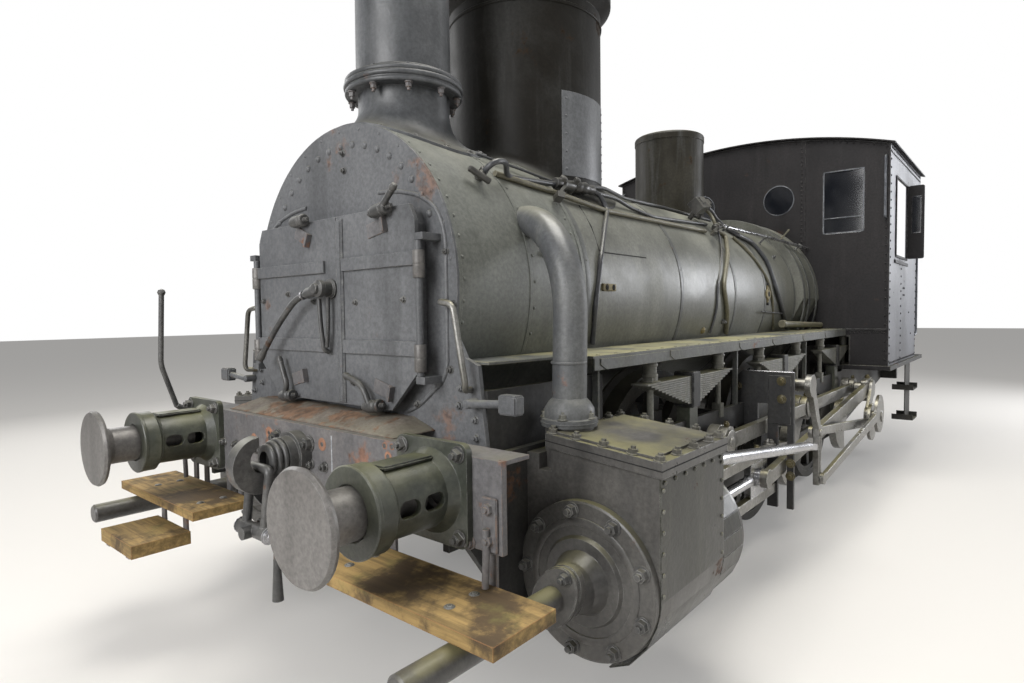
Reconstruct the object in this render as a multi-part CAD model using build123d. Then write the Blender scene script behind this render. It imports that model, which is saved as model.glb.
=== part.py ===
from build123d import *

import os
from math import atan2, cos, degrees, radians, sin, sqrt

# Steam locomotive with three coupled axles, outside frames and outside cylinders.
# Millimetres, +X forward, +Y to the left, +Z up. The wheel flanges stand on z = 0.
# The origin is midway between the buffer faces and the rear drag beam, on the floor.

# Wheels and axles
TREAD_R = 632.0
FLANGE_DEPTH = 28.0
AXLE_SPACING = 1580.0
FIRST_AXLE_BACK = 1760.0
WHEEL_INNER_Y = 680.0
TYRE_WIDTH = 137.0
FLANGE_WIDTH = 32.0
TYRE_THICK = 62.0
RIM_THICK = 38.0
HUB_R = 150.0
SPOKES = 11
AXLE_R = 80.0
CRANK_THROW = 316.0
CRANK_LEAD_LEFT = 135.0
CRANK_LEAD_RIGHT = 45.0
PIN_R = 55.0
FIT = 0.5
RUNNING_GAP = 6.0

# Lengthwise places, measured back from the front face of the buffer beam
BUFFER_REACH = 532.0
REAR_END_BACK = 7318.0
SMOKEBOX_FRONT_BACK = 246.0
SMOKEBOX_REAR_BACK = 1150.0
CHIMNEY_BACK = 638.0
DOME_BACK = 1612.0
SANDBOX_BACK = 3600.0
FIREBOX_FRONT_BACK = 4720.0
BACKHEAD_BACK = 6150.0
CAB_FRONT_BACK = 5250.0
CAB_REAR_BACK = 7180.0
CAB_FLOOR_REAR_BACK = 7250.0
CYLINDER_FRONT_BACK = 430.0
CYLINDER_REAR_BACK = 1265.0
CHEST_REAR_BACK = 1010.0

# Heights above the rail, before the flange depth is added
BEAM_TOP = 1123.0
BEAM_BOTTOM = 820.0
BUFFER_HEIGHT = 990.0
FRAME_TOP = 1000.0
FRAME_BOTTOM = 430.0
BOILER_HEIGHT = 1707.0
BOARD_TOP = 1409.0
CYLINDER_HEIGHT = 600.0
CAB_BOTTOM = 1062.0
CAB_SIDE_TOP = 3133.0
CAB_CROWN = CAB_SIDE_TOP + 219.0
SPRING_TOP = 1245.0
SPRING_DEPTH = 150.0
CHIMNEY_TOP = 4380.0
CHIMNEY_RING = 2707.0
DOME_RIM = 3460.0
DOME_CROWN = 3760.0
SANDBOX_TOP = 3100.0

# Cross sizes
BEAM_HALF = 1179.0
BEAM_THICK = 24.0
FRAME_Y = 985.0
FRAME_THICK = 30.0
FRONT_FRAME_Y = 880.0
BUFFER_Y = 875.0
SMOKEBOX_R = 748.0
SMOKEBOX_WALL = 16.0
BARREL_R = 728.0
FIREBOX_R = 800.0
FIREBOX_HALF = 600.0
CHIMNEY_R = 235.0
CHIMNEY_BORE = 205.0
DOME_R = 467.0
SANDBOX_R = 286.0
CAB_HALF = 1406.0
CAB_SHEET = 10.0
BOARD_EDGE = 1045.0
CYLINDER_Y = 1195.0
BORE_LAGGING_R = 300.0
COVER_R = 296.0
COUPLING_ROD_Y = 1112.0
COUPLING_ROD_THICK = 42.0
BAR_Y = 1175.0
BAR_WIDTH = 40.0
MAIN_ROD_THICK = 44.0
VALVE_Y = 1365.0
MAIN_ROD_LENGTH = 2870.0
PISTON_ROD_R = 32.0

FLOOR_TO_RAIL = FLANGE_DEPTH
BEAM_X = (REAR_END_BACK + BUFFER_REACH) / 2 - BUFFER_REACH
AXLE_Z = FLOOR_TO_RAIL + TREAD_R
MAIN_ROD_Y = BAR_Y + BAR_WIDTH / 2 + PISTON_ROD_R + RUNNING_GAP
PARTS = {}


def back(distance):
    """Lengthwise place of a point this far behind the buffer beam."""
    return BEAM_X - distance


def up(height):
    """Height above the floor of a point this far above the rail."""
    return FLOOR_TO_RAIL + height


def slab(x0, x1, y0, y1, z0, z1):
    """Box between two opposite corners."""
    middle = Pos((x0 + x1) / 2, (y0 + y1) / 2, (z0 + z1) / 2)
    return middle * Box(abs(x1 - x0), abs(y1 - y0), abs(z1 - z0))


def rod_x(y, z, radius, x0, x1):
    """Round bar lying lengthwise."""
    return Pos((x0 + x1) / 2, y, z) * Rot(0, 90, 0) * Cylinder(radius, abs(x1 - x0))


def rod_y(x, z, radius, y0, y1):
    """Round bar lying crosswise."""
    return Pos(x, (y0 + y1) / 2, z) * Rot(90, 0, 0) * Cylinder(radius, abs(y1 - y0))


def rod_z(x, y, radius, z0, z1):
    """Upright round bar."""
    return Pos(x, y, (z0 + z1) / 2) * Cylinder(radius, abs(z1 - z0))


def side_plate(sketch, y0, y1):
    """Plate whose outline is drawn in x and z, from y0 to y1."""
    plane = Plane(origin=(0, y0, 0), x_dir=(1, 0, 0), z_dir=(0, -1, 0))
    return extrude(plane * sketch, y1 - y0, dir=(0, 1, 0))


def cross_plate(sketch, x0, x1):
    """Plate whose outline is drawn in y and z, from x0 to x1."""
    plane = Plane(origin=(x0, 0, 0), x_dir=(0, 1, 0), z_dir=(1, 0, 0))
    return extrude(plane * sketch, x1 - x0, dir=(1, 0, 0))


def turned_upright(x, profile):
    """Body of revolution about an upright line, from radius and height pairs."""
    plane = Plane(origin=(x, 0, 0), x_dir=(1, 0, 0), z_dir=(0, -1, 0))
    face = plane * Polygon(*profile, align=None)
    return revolve(face, Axis((x, 0, 0), (0, 0, 1)))


def turned_crosswise(x, z, profile):
    """Body of revolution about a crosswise line, from y and radius pairs."""
    plane = Plane(origin=(x, 0, z), x_dir=(0, 1, 0), z_dir=(1, 0, 0))
    face = plane * Polygon(*profile, align=None)
    return revolve(face, Axis((x, 0, z), (0, 1, 0)))


def turned_lengthwise(y, z, profile):
    """Body of revolution about a lengthwise line, from x and radius pairs."""
    plane = Plane(origin=(0, y, z), x_dir=(1, 0, 0), z_dir=(0, -1, 0))
    face = plane * Polygon(*profile, align=None)
    return revolve(face, Axis((0, y, z), (1, 0, 0)))


def swept_pipe(points, radius, bends):
    """Round pipe along straight runs joined by arcs."""
    path = FilletPolyline(*points, radius=bends)
    start = Plane(origin=path @ 0, z_dir=path % 0)
    return sweep(start * Circle(radius), path=path)


def disc(x, z, radius):
    """Round outline at a point of the side view."""
    return Pos(x, z) * Circle(radius)


def bar_between(x0, z0, x1, z1, half0, half1):
    """Tapered straight bar in the side view, with its half widths at the ends."""
    length = sqrt((x1 - x0) ** 2 + (z1 - z0) ** 2)
    turn = degrees(atan2(z1 - z0, x1 - x0))
    corners = ((0, -half0), (length, -half1), (length, half1), (0, half0))
    return Pos(x0, z0) * Rot(0, 0, turn) * Polygon(*corners, align=None)


def mirrored(shape):
    """The same shape on the other side of the locomotive."""
    return mirror(shape, about=Plane.XZ)


def both_sides(shape):
    """A left shape and its right copy, as separate solids."""
    return Compound(children=[*solids_of(shape), *solids_of(mirrored(shape))])


def solids_of(shape):
    """The solids of a shape as a list."""
    return list(shape.solids())


def group(*shapes):
    """Several solids that share a node."""
    found = []
    for shape in shapes:
        found.extend(solids_of(shape))
    return Compound(children=found)


def keep(name, shape):
    """Files a finished sub-part under its name."""
    PARTS[name] = shape


AXLES = {
    name: back(FIRST_AXLE_BACK + place * AXLE_SPACING)
    for place, name in enumerate(("front", "middle", "rear"))
}
SIDES = (("left", 1, CRANK_LEAD_LEFT), ("right", -1, CRANK_LEAD_RIGHT))


def crank_offset(lead):
    """Sideways and upward distance from an axle to its crank pin."""
    return CRANK_THROW * cos(radians(lead)), CRANK_THROW * sin(radians(lead))


def crosshead_x(lead):
    """Place of the crosshead pin for a crank that stands at this angle."""
    reach, rise = crank_offset(lead)
    drop = AXLE_Z + rise - up(CYLINDER_HEIGHT)
    return AXLES["rear"] + reach + sqrt(MAIN_ROD_LENGTH**2 - drop**2)


# Wheels

SPOKE_ROOT = 46.0
SPOKE_TIP = 34.0
SPOKE_DEPTH = 62.0


def wheel(x):
    """Left spoked wheel with its tyre and flange."""
    inner, outer = WHEEL_INNER_Y, WHEEL_INNER_Y + TYRE_WIDTH
    rim_r = TREAD_R - TYRE_THICK - RIM_THICK
    flange_r = TREAD_R + FLANGE_DEPTH
    tyre = (
        (inner, rim_r), (inner, flange_r - 10), (inner + 8, flange_r),
        (inner + FLANGE_WIDTH - 10, flange_r), (inner + FLANGE_WIDTH + 8, TREAD_R),
        (outer, TREAD_R - 5), (outer, TREAD_R - TYRE_THICK),
        (outer - 14, TREAD_R - TYRE_THICK), (outer - 14, rim_r),
    )
    body = turned_crosswise(x, AXLE_Z, tyre)
    hub = ((inner - 20, AXLE_R), (inner - 20, HUB_R), (outer + 25, HUB_R - 12), (outer + 25, AXLE_R))
    body += turned_crosswise(x, AXLE_Z, hub)
    middle = (inner + outer) / 2
    spokes = Sketch()
    for count in range(SPOKES):
        turn = radians(360 / SPOKES * count)
        near, far = HUB_R - 20, rim_r + 8
        spokes += bar_between(
            x + near * cos(turn), AXLE_Z + near * sin(turn),
            x + far * cos(turn), AXLE_Z + far * sin(turn), SPOKE_ROOT, SPOKE_TIP,
        )
    return body + side_plate(spokes, middle - SPOKE_DEPTH / 2, middle + SPOKE_DEPTH / 2)


CRANK_IN = 1046.0
CRANK_OUT = COUPLING_ROD_Y - RUNNING_GAP
CRANK_BOSS_R = 135.0
PIN_BOSS_R = 92.0
WEIGHT_R = 325.0
WEIGHT_HALF_ANGLE = 52.0
ECCENTRIC_OFFSET = 68.0
SHEAVE_R = 132.0
LINK_THICK = 36.0
ECC_ROD_THICK = 26.0
RETURN_CRANK_THICK = 26.0

MAIN_ROD_OUT = MAIN_ROD_Y + MAIN_ROD_THICK
RETURN_IN = MAIN_ROD_OUT + RUNNING_GAP
FORE_ECC_IN = RETURN_IN + RETURN_CRANK_THICK + RUNNING_GAP
LINK_IN = FORE_ECC_IN + ECC_ROD_THICK + RUNNING_GAP
BACK_ECC_IN = LINK_IN + LINK_THICK + RUNNING_GAP


def crank(x, lead):
    """Left crank arm with its counterweight and pin."""
    reach, rise = crank_offset(lead)
    web = disc(x, AXLE_Z, CRANK_BOSS_R) + disc(x + reach, AXLE_Z + rise, PIN_BOSS_R)
    web += bar_between(x, AXLE_Z, x + reach, AXLE_Z + rise, CRANK_BOSS_R * 0.86, PIN_BOSS_R * 0.9)
    ahead = WEIGHT_R * 2 * cos(radians(WEIGHT_HALF_ANGLE))
    aside = WEIGHT_R * 2 * sin(radians(WEIGHT_HALF_ANGLE))
    fan = Polygon((0, 0), (ahead, aside), (ahead, -aside), align=None)
    weight = (Rot(0, 0, lead + 180) * fan) & Circle(WEIGHT_R)
    web += Pos(x, AXLE_Z) * weight
    arm = side_plate(web, CRANK_IN, CRANK_OUT)
    return arm + rod_y(x + reach, AXLE_Z + rise, PIN_R, CRANK_OUT - 5, COUPLING_ROD_Y + COUPLING_ROD_THICK + 2)


def eccentric_centre(lead, fore):
    """Centre of a fore or back gear eccentric, from the axle's line."""
    turn = radians(lead + (105 if fore else -105))
    return ECCENTRIC_OFFSET * cos(turn), ECCENTRIC_OFFSET * sin(turn)


def driving_end(x, lead):
    """Left long crank pin, return crank and eccentric sheaves of the driving axle."""
    reach, rise = crank_offset(lead)
    px, pz = x + reach, AXLE_Z + rise
    body = rod_y(px, pz, PIN_R, CRANK_OUT - 5, RETURN_IN + 5)
    arm = disc(px, pz, PIN_R + 22) + disc(x, AXLE_Z, 74)
    arm += bar_between(px, pz, x, AXLE_Z, 58, 58)
    body += side_plate(arm, RETURN_IN, RETURN_IN + RETURN_CRANK_THICK)
    body += rod_y(x, AXLE_Z, 48, RETURN_IN + RETURN_CRANK_THICK - 5, BACK_ECC_IN + ECC_ROD_THICK + 8)
    for fore, start in ((True, FORE_ECC_IN), (False, BACK_ECC_IN)):
        dx, dz = eccentric_centre(lead, fore)
        body += rod_y(x + dx, AXLE_Z + dz, SHEAVE_R, start, start + ECC_ROD_THICK)
    return body


def build_wheelsets():
    """Wheels and cranked axles, each pair on one line."""
    for name, x in AXLES.items():
        keep(f"wheels_{name}", both_sides(wheel(x)))
        shaft = rod_y(x, AXLE_Z, AXLE_R, -CRANK_IN - 10, CRANK_IN + 10)
        for side, sign, lead in SIDES:
            end = crank(x, lead)
            if name == "rear":
                end += driving_end(x, lead)
            shaft += end if sign > 0 else mirrored(end)
        keep(f"axle_{name}", shaft)


COUPLING_HALF = 44.0
COUPLING_EYE_R = 88.0


def build_coupling_rods():
    """One long rod a side over all three crank pins."""
    for side, sign, lead in SIDES:
        reach, rise = crank_offset(lead)
        z = AXLE_Z + rise
        outline = Sketch()
        pins = [x + reach for x in AXLES.values()]
        for x in pins:
            outline += disc(x, z, COUPLING_EYE_R)
        outline += bar_between(pins[-1], z, pins[0], z, COUPLING_HALF, COUPLING_HALF)
        for x in pins:
            outline -= disc(x, z, PIN_R + FIT)
        rod = side_plate(outline, COUPLING_ROD_Y, COUPLING_ROD_Y + COUPLING_ROD_THICK)
        keep(f"coupling_rod_{side}", rod if sign > 0 else mirrored(rod))


MAIN_SMALL_R = 56.0
MAIN_BIG_HALF = 96.0
MAIN_BIG_LENGTH = 250.0


def build_main_rods():
    """Rods from the rear crank pins to the crossheads, small end left open."""
    for side, sign, lead in SIDES:
        reach, rise = crank_offset(lead)
        x0, z0 = AXLES["rear"] + reach, AXLE_Z + rise
        x1, z1 = crosshead_x(lead), up(CYLINDER_HEIGHT)
        turn = degrees(atan2(z1 - z0, x1 - x0))
        outline = bar_between(x0, z0, x1, z1, 58, 40) + disc(x1, z1, MAIN_SMALL_R)
        strap = RectangleRounded(MAIN_BIG_LENGTH, MAIN_BIG_HALF * 2, 22)
        outline += Pos(x0, z0) * Rot(0, 0, turn) * Pos(30, 0) * strap
        outline -= disc(x0, z0, PIN_R + FIT)
        rod = side_plate(outline, MAIN_ROD_Y, MAIN_ROD_OUT)
        keep(f"main_rod_{side}", rod if sign > 0 else mirrored(rod))


CROSSHEAD_HALF_LENGTH = 140.0
BAR_GAP = 200.0
BAR_HEIGHT = 56.0
SHOE_CLEAR = 0.5
TAIL_TIP_AHEAD = 535.0


def build_crossheads():
    """Crossheads with their piston rod and tail rod in one line."""
    for side, sign, lead in SIDES:
        x, z = crosshead_x(lead), up(CYLINDER_HEIGHT)
        half = BAR_GAP / 2 - SHOE_CLEAR
        body = Pos(x, z) * RectangleRounded(CROSSHEAD_HALF_LENGTH * 2, half * 2, 12)
        body -= Pos(x - 60, z) * RectangleRounded(70, 110, 30)
        block = side_plate(body, BAR_Y, BAR_Y + BAR_WIDTH)
        block += rod_y(x, z, 44, BAR_Y, MAIN_ROD_Y - FIT)
        centre = BAR_Y + BAR_WIDTH / 2
        block += rod_x(centre, z, PISTON_ROD_R, x + CROSSHEAD_HALF_LENGTH - 20, tail_tip(lead))
        keep(f"crosshead_{side}", block if sign > 0 else mirrored(block))


def mid_crosshead_x():
    """Crosshead pin at mid stroke."""
    drop = AXLE_Z - up(CYLINDER_HEIGHT)
    return AXLES["rear"] + sqrt(MAIN_ROD_LENGTH**2 - drop**2)


MOTION_PLATE_THICK = 24.0
MOTION_PLATE_CLEAR = 82.0
SHAFT_BEHIND_PLATE = 190.0
LINK_BEHIND_PLATE = 360.0
MOTION_PLATE_BACK = (
    BEAM_X - mid_crosshead_x() + CRANK_THROW + CROSSHEAD_HALF_LENGTH + MOTION_PLATE_CLEAR + MOTION_PLATE_THICK / 2
)
LIFT_SHAFT_BACK = MOTION_PLATE_BACK + SHAFT_BEHIND_PLATE
LINK_BACK = MOTION_PLATE_BACK + LINK_BEHIND_PLATE


def tail_tip(lead):
    """Front end of the tail rod."""
    return back(CYLINDER_FRONT_BACK) + TAIL_TIP_AHEAD + crosshead_x(lead) - mid_crosshead_x()


ECC_HALF = 30.0
STRAP_R = SHEAVE_R + 34.0
LINK_HALF_SPAN = 150.0
LINK_HEIGHT = 632.0


def build_eccentric_rods():
    """Fore and back gear rods from the eccentrics to the ends of the link."""
    rods = ((True, "fore", FORE_ECC_IN, 1), (False, "back", BACK_ECC_IN, -1))
    for side, sign, lead in SIDES:
        for fore, name, start, link_end in rods:
            dx, dz = eccentric_centre(lead, fore)
            x0, z0 = AXLES["rear"] + dx, AXLE_Z + dz
            x1, z1 = back(LINK_BACK), up(LINK_HEIGHT) + link_end * LINK_HALF_SPAN
            outline = disc(x0, z0, STRAP_R) + bar_between(x0, z0, x1, z1, ECC_HALF + 8, ECC_HALF - 4)
            outline += disc(x1, z1, 38)
            outline -= disc(x0, z0, SHEAVE_R + FIT)
            rod = side_plate(outline, start, start + ECC_ROD_THICK)
            keep(f"{name}_gear_rod_{side}", rod if sign > 0 else mirrored(rod))


LIFT_SHAFT_HEIGHT = 1110.0
LIFT_SHAFT_R = 42.0


# Frames

BOX_HALF = 118.0
BOX_DEPTH_Y = 94.0
BOX_IN = 944.0
BOX_TOP = 150.0
BOX_BOTTOM = 135.0
FRONT_FRAME_REAR_BACK = 1640.0
MAIN_FRAME_FRONT_BACK = 1330.0
FRONT_FRAME_TOP = 1060.0
FRONT_FRAME_BOTTOM = 330.0
SADDLE_FIT = 0.3


def build_frames():
    """Outside frame plates, inset at the cylinders, with the horns cut for the axle boxes."""
    rear = back(CAB_FLOOR_REAR_BACK)
    outline = Polygon(
        (back(MAIN_FRAME_FRONT_BACK), up(FRAME_TOP)),
        (rear, up(FRAME_TOP)),
        (rear, up(BEAM_BOTTOM - 60)),
        (AXLES["rear"] - 420, up(FRAME_BOTTOM + 40)),
        (AXLES["rear"] - 260, up(FRAME_BOTTOM)),
        (back(MAIN_FRAME_FRONT_BACK + 60), up(FRAME_BOTTOM)),
        (back(MAIN_FRAME_FRONT_BACK), up(FRAME_BOTTOM + 120)),
        align=None,
    )
    for x in AXLES.values():
        slot_top = AXLE_Z + BOX_TOP + 8
        horn = Pos(x, (slot_top + up(FRAME_BOTTOM) - 40) / 2)
        outline -= horn * RectangleRounded(2 * BOX_HALF, slot_top - up(FRAME_BOTTOM) + 40, 20)
    for front, behind in ((0, 1), (1, 2)):
        names = list(AXLES)
        middle = (AXLES[names[front]] + AXLES[names[behind]]) / 2
        outline -= Pos(middle, up(735)) * RectangleRounded(760, 260, 120)
    shaft_x, shaft_z = back(LIFT_SHAFT_BACK), up(LIFT_SHAFT_HEIGHT)
    outline += disc(shaft_x, shaft_z, LIFT_SHAFT_R + 30)
    outline += Pos(shaft_x, (up(FRAME_TOP) + shaft_z) / 2) * Rectangle(170, shaft_z - up(FRAME_TOP))
    outline -= disc(shaft_x, shaft_z, LIFT_SHAFT_R)
    main = side_plate(outline, FRAME_Y, FRAME_Y + FRAME_THICK)
    front = side_plate(
        Polygon(
            (back(BEAM_THICK), up(FRONT_FRAME_TOP)),
            (back(FRONT_FRAME_REAR_BACK), up(FRONT_FRAME_TOP)),
            (back(FRONT_FRAME_REAR_BACK), up(BEAM_BOTTOM)),
            (back(FRONT_FRAME_REAR_BACK - 120), up(FRONT_FRAME_BOTTOM + 60)),
            (back(CYLINDER_REAR_BACK), up(FRONT_FRAME_BOTTOM)),
            (back(CYLINDER_FRONT_BACK), up(FRONT_FRAME_BOTTOM)),
            (back(BEAM_THICK + 90), up(BEAM_BOTTOM - 60)),
            (back(BEAM_THICK), up(BEAM_BOTTOM - 60)),
            align=None,
        ),
        FRONT_FRAME_Y, FRONT_FRAME_Y + FRAME_THICK,
    )
    joint = slab(
        back(MAIN_FRAME_FRONT_BACK + 30), back(FRONT_FRAME_REAR_BACK - 30),
        FRONT_FRAME_Y + FRAME_THICK, FRAME_Y, up(BEAM_BOTTOM + 20), up(FRAME_TOP - 20),
    )
    keep("frame_plates", both_sides(main + joint + front))


STRETCHERS = (
    # distance back, lower and upper height, half width
    (330.0, 780.0, 900.0, FRONT_FRAME_Y),
    (930.0, 620.0, 900.0, FRONT_FRAME_Y),
    (2540.0, 620.0, 940.0, FRAME_Y),
    (4120.0, 620.0, 940.0, FRAME_Y),
    (6350.0, 780.0, 980.0, FRAME_Y),
)


def build_stretchers():
    """Cross plates that join the two frame plates."""
    plates = []
    for distance, low, high, half in STRETCHERS:
        outline = Pos(0, up((low + high) / 2)) * Rectangle(2 * half, high - low)
        outline -= Pos(0, up((low + high) / 2)) * RectangleRounded(420, (high - low) * 0.6, 28)
        plate = cross_plate(outline, back(distance + 14), back(distance - 14))
        shelf = slab(back(distance + 14), back(distance - 90), -half, half, up(low), up(low + 14))
        plates.append(plate + shelf)
    carrier = slab(back(6000), back(5700), FIREBOX_HALF, FRAME_Y, up(880), up(920))
    keep("frame_stretchers", group(*plates, carrier, mirrored(carrier)))


DRAWBAR_PIN_BACK = 7210.0
DRAWBAR_PIN_R = 32.0


def build_beams():
    """Front buffer beam and rear drag beam."""
    front = slab(back(BEAM_THICK), BEAM_X, -BEAM_HALF, BEAM_HALF, up(BEAM_BOTTOM), up(BEAM_TOP))
    lip = slab(back(140), back(BEAM_THICK), -BEAM_HALF, BEAM_HALF, up(BEAM_TOP - 14), up(BEAM_TOP))
    front += lip
    front -= rod_x(0, up(BUFFER_HEIGHT), 46, back(BEAM_THICK + 5), BEAM_X + 5)
    for side in (-1, 1):
        front -= rod_x(side * BUFFER_Y, up(BUFFER_HEIGHT), 70, back(BEAM_THICK + 5), BEAM_X + 5)
    keep("buffer_beam", front)
    low, high = up(BEAM_BOTTOM - 60), up(CAB_BOTTOM - 70)
    rear = slab(back(REAR_END_BACK), back(CAB_FLOOR_REAR_BACK), -BEAM_HALF, BEAM_HALF, low, high)
    rear += slab(back(CAB_FLOOR_REAR_BACK), back(DRAWBAR_PIN_BACK - 140), -230, 230, low, high)
    rear -= slab(back(REAR_END_BACK + 5), back(DRAWBAR_PIN_BACK - 90), -170, 170, up(850), up(940))
    rear -= rod_z(back(DRAWBAR_PIN_BACK), 0, DRAWBAR_PIN_R, low - 5, high + 5)
    keep("drag_beam", rear)


HOUSING_R = 122.0
PLUNGER_R = 84.0
BUFFER_DISC_R = 176.0
BASE_HALF = 176.0
HOUSING_LENGTH = 345.0


def build_buffers():
    """Slotted buffer housings on square bases, with plunger and disc."""
    y, z = BUFFER_Y, up(BUFFER_HEIGHT)
    base = cross_plate(Pos(y, z) * RectangleRounded(2 * BASE_HALF, 2 * BASE_HALF, 34), BEAM_X, BEAM_X + 26)
    shell = (
        (BEAM_X, PLUNGER_R + 14), (BEAM_X, HOUSING_R + 26), (BEAM_X + 26, HOUSING_R + 26),
        (BEAM_X + 60, HOUSING_R), (BEAM_X + HOUSING_LENGTH - 80, HOUSING_R - 4),
        (BEAM_X + HOUSING_LENGTH - 60, HOUSING_R + 22), (BEAM_X + HOUSING_LENGTH, HOUSING_R + 22),
        (BEAM_X + HOUSING_LENGTH, PLUNGER_R + FIT), (BEAM_X + HOUSING_LENGTH - 30, PLUNGER_R + FIT),
        (BEAM_X + HOUSING_LENGTH - 30, PLUNGER_R + 14),
    )
    housing = turned_lengthwise(y, z, shell)
    bore = rod_x(y, z, PLUNGER_R + 14, BEAM_X - 5, BEAM_X + 30)
    housing += base - bore
    for angle in (0, 180):
        for centre in (115, 215):
            slot = Pos(BEAM_X + centre, y, z) * Rot(angle, 0, 0)
            hole = extrude(Pos(0, 0, 60) * SlotOverall(84, 56), 120)
            housing -= slot * Rot(90, 0, 0) * hole
    keep("buffer_housings", both_sides(housing))
    stem = (
        (BEAM_X + HOUSING_LENGTH - 250, 0), (BEAM_X + HOUSING_LENGTH - 250, PLUNGER_R - 20),
        (BEAM_X + HOUSING_LENGTH - 100, PLUNGER_R - 20), (BEAM_X + HOUSING_LENGTH - 100, PLUNGER_R),
        (BEAM_X + BUFFER_REACH - 70, PLUNGER_R), (BEAM_X + BUFFER_REACH - 40, PLUNGER_R + 14),
        (BEAM_X + BUFFER_REACH - 24, BUFFER_DISC_R - 4), (BEAM_X + BUFFER_REACH - 12, BUFFER_DISC_R),
        (BEAM_X + BUFFER_REACH, BUFFER_DISC_R - 8), (BEAM_X + BUFFER_REACH, 0),
    )
    keep("buffer_plungers", both_sides(turned_lengthwise(y, z, stem)))


def build_draw_gear():
    """Draw hook, shackle, screw and its lever."""
    z = up(BUFFER_HEIGHT)
    hook = Pos(BEAM_X + 190, z - 10) * Circle(118)
    hook -= Pos(BEAM_X + 178, z + 12) * Circle(56)
    hook -= Pos(BEAM_X + 150, z + 90) * Rectangle(90, 120)
    hook += Pos(BEAM_X + 70, z) * Rectangle(130, 74)
    body = side_plate(hook, -30, 30)
    body += rod_x(0, z, 40, back(60), BEAM_X + 40)
    collar = rod_x(0, z, 105, BEAM_X, BEAM_X + 50) + rod_x(0, z, 88, BEAM_X + 50, BEAM_X + 90)
    keep("draw_hook", body + collar)
    eye_x, eye_z = BEAM_X + 178, z - 31
    drop = 250.0
    legs = []
    for side in (-1, 1):
        legs.append(
            swept_pipe(
                (
                    (eye_x, side * 20, eye_z + 6), (eye_x, side * 74, eye_z + 6),
                    (eye_x + 30, side * 74, eye_z - drop),
                ),
                19, 24,
            )
        )
    top = rod_y(eye_x, eye_z + 6, 19, -22, 22)
    nut = rod_y(eye_x + 30, eye_z - drop, 30, -112, 112)
    screw = rod_x(0, eye_z - drop, 26, eye_x - 90, eye_x + 90)
    handle = rod_z(eye_x - 62, 0, 14, eye_z - drop - 330, eye_z - drop)
    knob = turned_upright(
        eye_x - 62,
        ((0, eye_z - drop - 340), (24, eye_z - drop - 330), (15, eye_z - drop - 150), (0, eye_z - drop - 150)),
    )
    keep("screw_coupling", group(top + legs[0] + legs[1] + nut + screw + handle + knob))


STEAM_PIPE_R = 70.0
STEAM_PIPE_BACK = 600.0
STEAM_PIPE_Y = 1022.0
STEAM_PIPE_BEND = 395.0
STEAM_PIPE_HEIGHT = 1980.0
STEAM_FLANGE_R = 113.0
STEAM_FOOT_HEIGHT = 1140.0


# Cylinders and their fittings

CHEST_INNER_Y = 1030.0
CHEST_OUTER_Y = 1490.0
CHEST_INNER_TOP = 1128.0
CHEST_OUTER_TOP = 1080.0
LID_THICK = 56.0
LID_OVER = 16.0
GLAND_R = 96.0
GUARD_R = 46.0
GUARD_TIP_AHEAD = 880.0
COVER_THICK = 34.0
REAR_GLAND_R = 90.0


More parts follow.
